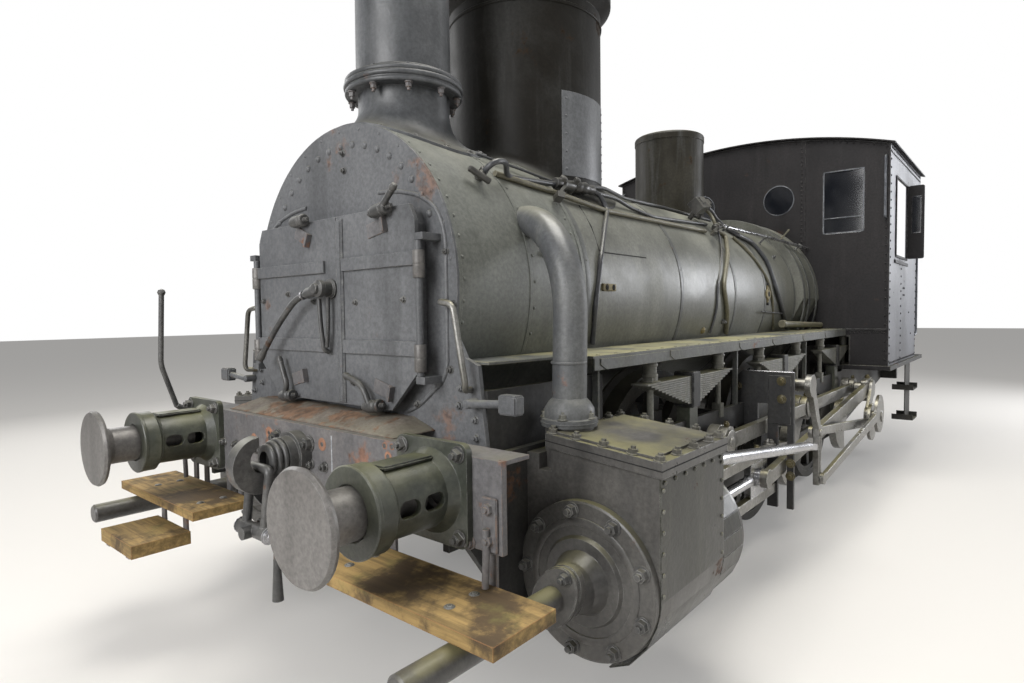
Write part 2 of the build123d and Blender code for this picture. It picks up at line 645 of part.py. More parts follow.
def build_cylinders():
    """Cylinder with its round lagging, steam chest box and the flange to the frame."""
    z = up(CYLINDER_HEIGHT)
    front, rear = back(CYLINDER_FRONT_BACK), back(CYLINDER_REAR_BACK)
    frame_face = FRONT_FRAME_Y + FRAME_THICK
    round_part = Pos(CYLINDER_Y, z) * Circle(BORE_LAGGING_R)
    round_part &= Pos(frame_face + 500, z) * Rectangle(1000, 900)
    barrel = cross_plate(round_part, rear + COVER_THICK, front - COVER_THICK)
    flange_top = up(FRONT_FRAME_TOP - 20)
    flange = slab(rear + COVER_THICK, front - COVER_THICK, frame_face, frame_face + 60, z - 200, flange_top)
    chest_outline = Polygon(
        (CHEST_INNER_Y, up(CHEST_INNER_TOP - LID_THICK)), (CHEST_OUTER_Y, up(CHEST_OUTER_TOP - LID_THICK)),
        (CHEST_OUTER_Y, z), (CHEST_INNER_Y, z), align=None,
    )
    chest_rear = back(CHEST_REAR_BACK)
    chest = cross_plate(chest_outline, chest_rear, front - COVER_THICK)
    chest += slab(chest_rear, front - COVER_THICK, frame_face, CHEST_INNER_Y, z, up(CHEST_INNER_TOP - 150))
    boss_x = back(STEAM_PIPE_BACK)
    chest += rod_z(boss_x, STEAM_PIPE_Y, STEAM_FLANGE_R - 14, up(CHEST_INNER_TOP - 190), up(STEAM_FOOT_HEIGHT))
    lid_outline = Polygon(
        (CHEST_INNER_Y - LID_OVER, up(CHEST_INNER_TOP - LID_THICK)),
        (CHEST_OUTER_Y + LID_OVER, up(CHEST_OUTER_TOP - LID_THICK)),
        (CHEST_OUTER_Y + LID_OVER, up(CHEST_OUTER_TOP)), (CHEST_INNER_Y - LID_OVER, up(CHEST_INNER_TOP)),
        align=None,
    )
    lid = cross_plate(lid_outline, chest_rear - LID_OVER, front - COVER_THICK + LID_OVER)
    body = barrel + flange + chest + lid
    body -= rod_x(CYLINDER_Y, z, PISTON_ROD_R + FIT, rear, front)
    body -= rod_x(VALVE_Y, up(SPINDLE_FRONT_HEIGHT), SPINDLE_R + FIT, chest_rear - 30, chest_rear + 120)
    keep("cylinder_left", body)
    keep("cylinder_right", mirrored(body))
    cover = turned_lengthwise(
        CYLINDER_Y, z,
        (
            (front - COVER_THICK, PISTON_ROD_R + FIT), (front - COVER_THICK, COVER_R), (front - 4, COVER_R),
            (front, COVER_R - 8), (front, 170), (front + 16, 160), (front + 16, 120),
            (front + 70, GLAND_R), (front + 130, GLAND_R - 10), (front + 130, PISTON_ROD_R + FIT),
        ),
    )
    rear_cover = turned_lengthwise(
        CYLINDER_Y, z,
        (
            (rear + COVER_THICK, PISTON_ROD_R + FIT), (rear + COVER_THICK, COVER_R), (rear + 6, COVER_R),
            (rear, COVER_R - 10), (rear, REAR_GLAND_R), (rear - 46, REAR_GLAND_R), (rear - 54, REAR_GLAND_R - 14),
            (rear - 76, REAR_GLAND_R - 14), (rear - 76, PISTON_ROD_R + FIT),
        ),
    )
    trim = slab(rear - 200, front + 200, 0, frame_face, z - 400, z + 400)
    tip = front + GUARD_TIP_AHEAD
    guard = turned_lengthwise(
        CYLINDER_Y, z,
        (
            (front + 130, PISTON_ROD_R + FIT), (front + 130, 78), (front + 160, 78), (front + 168, GUARD_R),
            (tip - 8, GUARD_R), (tip, GUARD_R - 8), (tip, 0), (tip - 14, 0), (tip - 14, PISTON_ROD_R + FIT),
        ),
    )
    keep("cylinder_covers", both_sides(group((cover - trim) + guard, rear_cover - trim)))


SPINDLE_R = 30.0
SPINDLE_FRONT_HEIGHT = 915.0
SPINDLE_REAR_HEIGHT = 725.0
SPINDLE_TAIL_AHEAD = 200.0


def build_valve_gear():
    """Valve spindles, slotted expansion links, reversing shaft with lifting arms."""
    y = VALVE_Y
    x0, z0 = back(CHEST_REAR_BACK - 90), up(SPINDLE_FRONT_HEIGHT)
    x1 = back(LINK_BACK - SPINDLE_TAIL_AHEAD)
    bend = back(CHEST_REAR_BACK + 300)
    rear_z = up(SPINDLE_REAR_HEIGHT)
    slope = atan2(z0 - rear_z, bend - x1)
    spindle = swept_pipe(((x0, y, z0), (bend, y, z0), (x1, y, rear_z)), SPINDLE_R, 400)
    tail_x, tail_z = x1 + 60 * cos(slope), rear_z + 60 * sin(slope)
    end_x, end_z = back(LINK_BACK) + 20, up(LINK_HEIGHT + 60)
    tail = side_plate(bar_between(tail_x, tail_z, end_x, end_z, 21, 21), LINK_IN + 3, LINK_IN + LINK_THICK - 3)
    link_outer = back(LINK_BACK) - AXLES["rear"] + 34.3
    cheek = side_plate(disc(AXLES["rear"], up(LINK_HEIGHT), link_outer), LINK_IN, LINK_IN + 50)
    keep("valve_spindles", both_sides(spindle + (tail - cheek)))
    link_x, link_z = back(LINK_BACK), up(LINK_HEIGHT)
    radius = link_x - AXLES["rear"]
    arc_outer = Pos(AXLES["rear"], link_z) * Circle(radius + 34)
    arc_outer -= Pos(AXLES["rear"], link_z) * Circle(radius - 34)
    window = Pos(link_x, link_z) * Rectangle(400, 2 * LINK_HALF_SPAN + 90)
    link = arc_outer & window
    slot = Pos(AXLES["rear"], link_z) * Circle(radius + 14)
    slot -= Pos(AXLES["rear"], link_z) * Circle(radius - 14)
    link -= slot & (Pos(link_x, link_z) * Rectangle(400, 2 * LINK_HALF_SPAN - 60))
    shaft_x, shaft_z = back(LIFT_SHAFT_BACK), up(LIFT_SHAFT_HEIGHT)
    arm = disc(shaft_x, shaft_z, 72)
    arm += bar_between(shaft_x, shaft_z, link_x, link_z + LINK_HALF_SPAN + 30, 42, 24)
    plate = side_plate(link + arm, LINK_IN, LINK_IN + LINK_THICK)
    plate += rod_y(shaft_x, shaft_z, LIFT_SHAFT_R, FRAME_Y - 90, LINK_IN + 5)
    keep("expansion_links", both_sides(plate))


def build_slide_bars():
    """Upper and lower slide bars from the rear cover to the motion plate."""
    z = up(CYLINDER_HEIGHT)
    front = back(CYLINDER_REAR_BACK)
    rear = back(MOTION_PLATE_BACK) + MOTION_PLATE_THICK / 2
    bars = []
    for side in (-1, 1):
        near = z + side * BAR_GAP / 2
        far = z + side * (BAR_GAP / 2 + BAR_HEIGHT)
        bars.append(slab(rear, front, BAR_Y, BAR_Y + BAR_WIDTH, near, far))
    keep("slide_bars", both_sides(group(*bars)))


PLATE_INNER_Y = 930.0
PLATE_OUTER_Y = 1322.0
PLATE_TOP = 1205.0
PANEL_BOTTOM = 870.0


def build_motion_plates():
    """Cross plates with slots for the coupling rod and main rod, carried on the frames."""
    z = up(CYLINDER_HEIGHT)
    frame_out = FRAME_Y + FRAME_THICK
    outline = Polygon(
        (PLATE_INNER_Y, up(FRAME_TOP)), (frame_out, up(FRAME_TOP)), (frame_out, up(BEAM_BOTTOM - 100)),
        (COUPLING_ROD_Y - 10, up(BEAM_BOTTOM)), (COUPLING_ROD_Y - 10, up(350)), (PLATE_OUTER_Y, up(350)),
        (PLATE_OUTER_Y, up(PLATE_TOP)), (PLATE_INNER_Y + 70, up(PLATE_TOP)), (PLATE_INNER_Y, up(PLATE_TOP - 70)),
        align=None,
    )
    sweep_top = AXLE_Z + CRANK_THROW + COUPLING_HALF + 12
    slot_mid = COUPLING_ROD_Y + COUPLING_ROD_THICK / 2
    outline -= Pos(slot_mid, sweep_top / 2) * Rectangle(COUPLING_ROD_THICK + 20, sweep_top)
    main_mid = (MAIN_ROD_Y + MAIN_ROD_OUT) / 2
    outline -= Pos(main_mid, up(PANEL_BOTTOM) / 2) * Rectangle(MAIN_ROD_THICK + 2 * RUNNING_GAP, up(PANEL_BOTTOM))
    x = back(MOTION_PLATE_BACK)
    plate = cross_plate(outline, x - MOTION_PLATE_THICK / 2, x + MOTION_PLATE_THICK / 2)
    keep("motion_plates", both_sides(plate))


# Springs and axle boxes

LEAVES = 13
SPRING_HALF = 540.0
LEAF_WIDTH = 92.0
SPRING_Y = FRAME_Y + FRAME_THICK / 2
HANGER_OUT = 430.0
WHEEL_COVER_TOP = 1345.0
HANGER_R = 17.0
HANGER_POT_R = 33.0
FORK_HALF = 24.0
FORK_CHEEK = 12.0
FORK_DEEP = 42.0
SPRING_SHORT_HALF = 90.0


def spring_outline(x):
    """Stepped outline of a leaf spring in the side view, longest leaf on top."""
    top = up(SPRING_TOP)
    outline = Sketch()
    for leaf in range(LEAVES):
        half = SPRING_HALF - leaf * (SPRING_HALF - SPRING_SHORT_HALF) / (LEAVES - 1)
        depth = SPRING_DEPTH * (leaf + 1) / LEAVES
        outline += Pos(x, top - depth / 2) * Rectangle(2 * half, depth)
    return outline


def build_springs():
    """Leaf springs over the frames, with buckle, saddle, axle box and hangers."""
    boxes, springs, hangers = [], [], []
    for x in AXLES.values():
        box = Pos(x, AXLE_Z + (BOX_TOP - BOX_BOTTOM) / 2)
        outline = box * RectangleRounded(2 * BOX_HALF, BOX_TOP + BOX_BOTTOM, 14)
        outline -= disc(x, AXLE_Z, AXLE_R + FIT)
        boxes.append(side_plate(outline, BOX_IN, BOX_IN + BOX_DEPTH_Y))
        spring = side_plate(spring_outline(x), SPRING_Y - LEAF_WIDTH / 2, SPRING_Y + LEAF_WIDTH / 2)
        spring += slab(
            x - 46, x + 46, SPRING_Y - LEAF_WIDTH / 2 - 12, SPRING_Y + LEAF_WIDTH / 2 + 12,
            up(SPRING_TOP - SPRING_DEPTH - 22), up(SPRING_TOP + 22),
        )
        for side in (-1, 1):
            hole = rod_z(x + side * HANGER_OUT, SPRING_Y, HANGER_R + SADDLE_FIT, up(FRAME_TOP), up(SPRING_TOP + 5))
            spring -= hole
        springs.append(spring)
        saddle_out = BOX_IN + BOX_DEPTH_Y
        saddle = slab(
            x - 50, x + 50, 2 * SPRING_Y - saddle_out, saddle_out,
            AXLE_Z + BOX_TOP, up(SPRING_TOP - SPRING_DEPTH - 22),
        )
        saddle -= slab(
            x - 60, x + 60, FRAME_Y - SADDLE_FIT, FRAME_Y + FRAME_THICK + SADDLE_FIT,
            AXLE_Z + BOX_TOP - 5, up(FRAME_TOP + SADDLE_FIT),
        )
        boxes.append(saddle)
        for side in (-1, 1):
            hx = x + side * HANGER_OUT
            in_cab = hx < back(CAB_FRONT_BACK)
            top = up(WHEEL_COVER_TOP) - CAB_SHEET if in_cab else up(BOARD_TOP) - BOARD_THICK
            foot = up(CAB_BOTTOM) if in_cab else up(FRAME_TOP + FORK_DEEP)
            hanger = rod_z(hx, SPRING_Y, HANGER_R, foot, top)
            hanger += rod_z(hx, SPRING_Y, HANGER_POT_R, up(SPRING_TOP), top - 8)
            if in_cab:
                hangers.append(hanger)
                continue
            fork = slab(
                hx - FORK_HALF, hx + FORK_HALF, FRAME_Y - FORK_CHEEK, FRAME_Y + FRAME_THICK + FORK_CHEEK,
                up(FRAME_TOP - FORK_DEEP), up(FRAME_TOP + FORK_DEEP),
            )
            fork -= slab(
                hx - FORK_HALF - 5, hx + FORK_HALF + 5, FRAME_Y - SADDLE_FIT, FRAME_Y + FRAME_THICK + SADDLE_FIT,
                up(FRAME_TOP - FORK_DEEP) - 5, up(FRAME_TOP),
            )
            hangers.append(hanger + fork)
    keep("axle_boxes", both_sides(group(*boxes)))
    keep("leaf_springs", both_sides(group(*springs)))
    keep("spring_hangers", both_sides(group(*hangers)))


# Boiler, smokebox and what stands on them

PLATE_BASE_HALF = 892.0
PLATE_BASE_BOTTOM = 1070.0
DOOR_HALF = 600.0
DOOR_TOP = 2030.0
DOOR_BOTTOM = 1200.0
DOOR_CHAMFER = 160.0
DOOR_THICK = 18.0
DOOR_STAND = 62.0
DOOR_RIM_IN = 26.0
DOOR_LAP = 34.0
FRONT_PLATE_THICK = 20.0
SEAM_GAP = 6.0
SEAM_Y = 75.0
STRAP_FROM_SEAM = {1: 47.0, -1: -87.0}
DOOR_SEAT = 0.5


def door_outline(grow):
    """Outline of the pair of smokebox doors, rounded above and cut off below."""
    half = DOOR_HALF + grow
    top, bottom = up(DOOR_TOP) + grow, up(DOOR_BOTTOM) - grow
    dome = Pos(0, up(BOILER_HEIGHT)) * Circle(SMOKEBOX_R - 96 + grow)
    tall = Pos(0, (top + bottom) / 2) * Rectangle(2 * half, top - bottom)
    shoulder = up(BOILER_HEIGHT) + 120
    lower = Polygon(
        (half, shoulder), (-half, shoulder), (-half, bottom + DOOR_CHAMFER),
        (-half + DOOR_CHAMFER, bottom), (half - DOOR_CHAMFER, bottom), (half, bottom + DOOR_CHAMFER), align=None,
    )
    upper = dome & tall & (Pos(0, up(BOILER_HEIGHT) + 500) * Rectangle(2 * half, 1000))
    return lower + upper


def build_smokebox():
    """Hollow smokebox drum, its front plate with the door opening, and the saddle below."""
    front, rear = back(SMOKEBOX_FRONT_BACK), back(SMOKEBOX_REAR_BACK)
    z = up(BOILER_HEIGHT)
    drum = rod_x(0, z, SMOKEBOX_R, rear, front - FRONT_PLATE_THICK)
    drum -= rod_x(0, z, SMOKEBOX_R - SMOKEBOX_WALL, rear + 20, front)
    drum -= rod_z(back(CHIMNEY_BACK), 0, CHIMNEY_BORE, z + 400, z + SMOKEBOX_R + 100)
    keep("smokebox", drum)
    outline = Pos(0, z) * Circle(SMOKEBOX_R + 2)
    outline += Polygon(
        (SMOKEBOX_R - 40, up(1560)), (-SMOKEBOX_R + 40, up(1560)), (-SMOKEBOX_R - 40, up(1423)),
        (-PLATE_BASE_HALF + 40, up(1396)), (-PLATE_BASE_HALF, up(PLATE_BASE_BOTTOM)),
        (PLATE_BASE_HALF, up(PLATE_BASE_BOTTOM)), (PLATE_BASE_HALF - 40, up(1396)), (SMOKEBOX_R + 40, up(1423)),
        align=None,
    )
    outline -= Pos(0, up(PLATE_BASE_BOTTOM) - 250) * Rectangle(4000, 500)
    outline -= door_outline(-DOOR_LAP)
    keep("smokebox_front", cross_plate(outline, front - FRONT_PLATE_THICK, front))
    saddle_front = front - FRONT_PLATE_THICK
    saddle = slab(back(1080), saddle_front, -FRONT_FRAME_Y, FRONT_FRAME_Y, up(900), up(1300))
    saddle -= rod_x(0, z, SMOKEBOX_R, rear - 10, front + 10)
    saddle -= slab(back(1060), saddle_front - 40, -FRONT_FRAME_Y + 24, FRONT_FRAME_Y - 24, up(890), up(1400))
    keep("smokebox_saddle", saddle)


HINGE_OUT = 24.0
HINGE_R = 15.0
HINGE_AHEAD = 4.0
HINGE_TOP = 1880.0
HINGE_BOTTOM = 1350.0
STRAPS = (
    # height of the middle, width
    (1814.0, 54.0),
    (1457.0, 58.0),
)


def build_smokebox_doors():
    """Double doors that lie on the front plate, each with hinge straps and a knuckle."""
    front = back(SMOKEBOX_FRONT_BACK)
    start = front + DOOR_SEAT
    for side, sign in (("left", 1), ("right", -1)):
        reach = 2 * SMOKEBOX_R
        half = Pos(SEAM_Y + sign * (reach + SEAM_GAP) / 2, up(BOILER_HEIGHT)) * Rectangle(reach, 2 * reach)
        face = start + DOOR_STAND + DOOR_THICK
        door = cross_plate(door_outline(0) & half, start + DOOR_STAND, face)
        door += cross_plate(door_outline(-DOOR_RIM_IN) & half, start, start + DOOR_STAND + 1)
        hinge_y = sign * (DOOR_HALF + HINGE_OUT)
        hinge_x = face + HINGE_AHEAD
        for height, tall in STRAPS:
            seam_end = SEAM_Y + STRAP_FROM_SEAM[sign]
            door += slab(face, face + 12, seam_end, hinge_y, up(height - tall / 2), up(height + tall / 2))
        door += rod_z(hinge_x, hinge_y, HINGE_R, up(HINGE_BOTTOM), up(HINGE_TOP))
        keep(f"smokebox_door_{side}", door)
    plate = PARTS["smokebox_front"]
    hinge_x = start + DOOR_STAND + DOOR_THICK + HINGE_AHEAD
    for sign in (-1, 1):
        hinge_y = sign * (DOOR_HALF + HINGE_OUT)
        for height, lug_side in ((HINGE_TOP, 1), (HINGE_BOTTOM, -1)):
            near = up(height) + lug_side * DOOR_SEAT
            lug = slab(front, hinge_x + 14, hinge_y - sign * 12, hinge_y + sign * 40, near, near + lug_side * 28)
            plate += lug
    keep("smokebox_front", plate)


WAIST_HALF = 632.0
WAIST_HEIGHT = 1370.0
RING_HEIGHT = 1180.0
GRATE_HEIGHT = 760.0
ASHPAN_FRONT_BACK = 5080.0
ASHPAN_BOTTOM = 420.0
ASHPAN_INSET = 30.0


def firebox_outline(grow):
    """Outline of the outer firebox, round above its centre and drawn in between the wheels."""
    z = up(BOILER_HEIGHT)
    shell = Pos(0, z) * Circle(FIREBOX_R + grow)
    shell &= Pos(0, z + FIREBOX_R) * Rectangle(4 * FIREBOX_R, 2 * FIREBOX_R)
    side = (
        (FIREBOX_R - 30, z + 30), (FIREBOX_R + grow, z), (WAIST_HALF + grow, up(WAIST_HEIGHT)),
        (FIREBOX_HALF + grow, up(RING_HEIGHT)), (FIREBOX_HALF + grow, up(GRATE_HEIGHT)),
    )
    other = tuple((-y, height) for y, height in side)
    return shell + Polygon(*other, *reversed(side), align=None)


def build_boiler():
    """Boiler barrel and the outer firebox that runs into the cab."""
    z = up(BOILER_HEIGHT)
    keep("boiler_barrel", rod_x(0, z, BARREL_R, back(FIREBOX_FRONT_BACK), back(SMOKEBOX_REAR_BACK)))
    front, rear = back(FIREBOX_FRONT_BACK), back(BACKHEAD_BACK)
    body = cross_plate(firebox_outline(0), rear, front)
    keep("firebox", body)
    half = FIREBOX_HALF - ASHPAN_INSET
    keep("ashpan", slab(rear + 2 * ASHPAN_INSET, back(ASHPAN_FRONT_BACK), -half, half, up(ASHPAN_BOTTOM), up(GRATE_HEIGHT)))


SKIRT_SHEET = 12.0
CHIMNEY_FOOT_R = 412.0
CHIMNEY_FLARE = 165.0
CHIMNEY_NECK_R = CHIMNEY_R - 8
DOME_FOOT_R = 554.0
DOME_FLARE = 82.0


def flared_skirt(x, drum_r, neck_r, foot_r, flare, top):
    """Upright neck that sweeps out into a sheet lying round the drum below it."""
    z = up(BOILER_HEIGHT)
    neck = rod_z(x, 0, neck_r, z, top)
    sheet = rod_x(0, z, drum_r + SKIRT_SHEET, x - 2 * foot_r, x + 2 * foot_r) & rod_z(x, 0, foot_r, z, top)
    body = neck + sheet
    corner = [
        edge for edge in body.edges()
        if abs(edge.bounding_box().max.X - x - neck_r) < 1 and edge.bounding_box().size.Y > neck_r
        and edge.bounding_box().max.Z < z + drum_r + 2 * SKIRT_SHEET
    ]
    return fillet(corner, flare)


def build_chimney():
    """Chimney on its flared skirt, with the ring above the skirt and a lipped top."""
    x, z = back(CHIMNEY_BACK), up(BOILER_HEIGHT)
    ring_r, low = 286.0, up(CHIMNEY_RING - 34)
    profile = (
        (CHIMNEY_BORE, low), (CHIMNEY_NECK_R, low), (ring_r, low + 4), (ring_r, up(CHIMNEY_RING + 24)),
        (CHIMNEY_R, up(CHIMNEY_RING + 30)), (CHIMNEY_R - 10, up(CHIMNEY_TOP - 150)),
        (CHIMNEY_R + 6, up(CHIMNEY_TOP - 100)), (CHIMNEY_R + 40, up(CHIMNEY_TOP - 60)),
        (CHIMNEY_R + 62, up(CHIMNEY_TOP - 30)), (CHIMNEY_R + 62, up(CHIMNEY_TOP)), (CHIMNEY_BORE, up(CHIMNEY_TOP)),
    )
    stack = flared_skirt(x, SMOKEBOX_R, CHIMNEY_NECK_R, CHIMNEY_FOOT_R, CHIMNEY_FLARE, low)
    stack += turned_upright(x, profile)
    stack -= rod_z(x, 0, CHIMNEY_BORE, z, up(CHIMNEY_TOP) + 10)
    stack -= rod_x(0, z, SMOKEBOX_R, x - 2 * CHIMNEY_FOOT_R, x + 2 * CHIMNEY_FOOT_R)
    stack -= slab(back(SMOKEBOX_FRONT_BACK + FRONT_PLATE_THICK) - 0.3, x + 600, -600, 600, z, z + SMOKEBOX_R + 40)
    keep("chimney", stack)


def build_dome():
    """Steam dome with flared skirt, rim flange and rounded cover."""
    x, z = back(DOME_BACK), up(BOILER_HEIGHT)
    low = up(DOME_RIM - 200)
    profile = [
        (0, low), (DOME_R, low), (DOME_R, up(DOME_RIM - 92)), (DOME_R + 60, up(DOME_RIM - 28)),
        (DOME_R + 60, up(DOME_RIM + 30)), (DOME_R + 4, up(DOME_RIM + 34)), (DOME_R - 4, up(DOME_RIM + 80)),
    ]
    shoulder = up(DOME_RIM + 80)
    for step in range(1, 9):
        turn = radians(90 / 8 * step)
        profile.append(((DOME_R - 4) * cos(turn), shoulder + (up(DOME_CROWN) - shoulder) * sin(turn)))
    dome = flared_skirt(x, BARREL_R, DOME_R, DOME_FOOT_R, DOME_FLARE, low) + turned_upright(x, profile)
    dome -= rod_x(0, z, BARREL_R, x - 2 * DOME_R, back(SMOKEBOX_REAR_BACK))
    dome -= rod_x(0, z, SMOKEBOX_R, back(SMOKEBOX_REAR_BACK), x + 2 * DOME_R)
    keep("steam_dome", dome)


def build_sandbox():
    """Round sandbox with its lid on top of the boiler."""
    x, z = back(SANDBOX_BACK), up(BOILER_HEIGHT)
    profile = (
        (0, z + 500), (SANDBOX_R + 12, z + 500), (SANDBOX_R, z + BARREL_R + 20), (SANDBOX_R, up(SANDBOX_TOP - 74)),
        (SANDBOX_R + 5, up(SANDBOX_TOP - 70)), (SANDBOX_R + 5, up(SANDBOX_TOP - 30)),
        (SANDBOX_R, up(SANDBOX_TOP - 19)), (SANDBOX_R - 10, up(SANDBOX_TOP - 12)),
        (SANDBOX_R - 26, up(SANDBOX_TOP - 8)), (0, up(SANDBOX_TOP)),
    )
    box = turned_upright(x, profile)
    box -= rod_x(0, z, BARREL_R, x - 2 * SANDBOX_R, x + 2 * SANDBOX_R)
    keep("sandbox", box)


def build_steam_pipes():
    """Bent pipes from the smokebox sides to flanges on the steam chests."""
    x = back(STEAM_PIPE_BACK)
    foot = up(STEAM_FOOT_HEIGHT)
    start = (x - 85, STEAM_PIPE_Y - STEAM_PIPE_BEND - 62, up(STEAM_PIPE_HEIGHT + 22))
    bend = (x - 24, STEAM_PIPE_Y, up(STEAM_PIPE_HEIGHT))
    pipe = swept_pipe((start, bend, (x, STEAM_PIPE_Y, foot + 60)), STEAM_PIPE_R, STEAM_PIPE_BEND)
    pipe -= rod_x(0, up(BOILER_HEIGHT), SMOKEBOX_R, x - 2 * STEAM_PIPE_BEND, back(SMOKEBOX_FRONT_BACK))
    flange = (
        (0, foot), (STEAM_FLANGE_R, foot), (STEAM_FLANGE_R, foot + 30), (STEAM_FLANGE_R - 10, foot + 34),
        (STEAM_FLANGE_R - 12, foot + 70), (STEAM_PIPE_R + 14, foot + 96), (STEAM_PIPE_R, foot + 110), (0, foot + 110),
    )
    keep("steam_pipes", both_sides(pipe + Pos(0, STEAM_PIPE_Y, 0) * turned_upright(x, flange)))


# Running boards and cab

BOARD_THICK = 10.0
BOARD_INNER = 690.0
VALANCE_DEEP = 62.0


BOARD_POSTS = (
    # distance back, inner face of the frame plate it stands on, height of that plate
    (1000.0, FRONT_FRAME_Y, FRONT_FRAME_TOP),
    (2470.0, FRAME_Y, FRAME_TOP),
    (4010.0, FRAME_Y, FRAME_TOP),
)
BOARD_FRONT_EDGE = 930.0
BOARD_STEP_BACK = 715.0


def build_running_boards():
    """Boards beside the boiler with an angle along their outer edge, on posts from the frames."""
    front, rear = back(SMOKEBOX_FRONT_BACK + FRONT_PLATE_THICK), back(CAB_FRONT_BACK)
    top = up(BOARD_TOP)
    step = back(BOARD_STEP_BACK)
    outline = Polygon(
        (front, BOARD_INNER), (front, BOARD_FRONT_EDGE - 40), (step + 30, BOARD_FRONT_EDGE), (step, BOARD_FRONT_EDGE),
        (step - 30, BOARD_EDGE), (rear, BOARD_EDGE), (rear, BOARD_INNER), align=None,
    )
    board = Pos(0, 0, top - BOARD_THICK) * extrude(outline, BOARD_THICK)
    board += slab(rear, step - 40, BOARD_EDGE - 8, BOARD_EDGE, top - VALANCE_DEEP, top)
    board += slab(step, step + 30, BOARD_FRONT_EDGE - 8, BOARD_FRONT_EDGE, top - VALANCE_DEEP, top)
    board -= rod_x(0, up(BOILER_HEIGHT), SMOKEBOX_R + 0.3, back(SMOKEBOX_REAR_BACK), front + 10)
    board -= rod_x(0, up(BOILER_HEIGHT), FIREBOX_R + 0.3, rear - 10, back(FIREBOX_FRONT_BACK) + 4)
    for distance, inner, low in BOARD_POSTS:
        x = back(distance)
        board += slab(x - 8, x + 8, inner, inner + FRAME_THICK, up(low), top - BOARD_THICK + 1)
    keep("running_boards", both_sides(board))


ROUND_WINDOW_R = 150.0
ROUND_WINDOW_Y = 412.0
ROUND_WINDOW_HEIGHT = CAB_SIDE_TOP - 411.0
WINDOW_IN, WINDOW_OUT = 830.0, 1195.0
WINDOW_LOW, WINDOW_HIGH = CAB_SIDE_TOP - 796.0, CAB_SIDE_TOP - 188.0
SIDE_WINDOW_FRONT_BACK = 5560.0
SIDE_WINDOW_REAR_BACK = 6200.0
SIDE_WINDOW_LOW, SIDE_WINDOW_HIGH = CAB_SIDE_TOP - 1013.0, CAB_SIDE_TOP - 273.0
SIDE_WINDOW_CORNER = 8.0
PANEL_JOINT = 0.3
SIDE_REAR_BACK = 6900.0
ROOF_THICK = 12.0
ROOF_OVER = 40.0
WHEEL_COVER_IN = 660.0
WHEEL_COVER_OUT = 1085.0
SCREEN_WIDTH = 150.0
SCREEN_TALL = 760.0
SCREEN_MIDDLE = (SIDE_WINDOW_LOW + SIDE_WINDOW_HIGH) / 2 + 10


def roof_circle():
    """Radius and centre height of the arched roof's underside."""
    rise = CAB_CROWN - CAB_SIDE_TOP - ROOF_THICK
    radius = (CAB_HALF**2 + rise**2) / (2 * rise)
    return radius, up(CAB_CROWN - ROOF_THICK) - radius


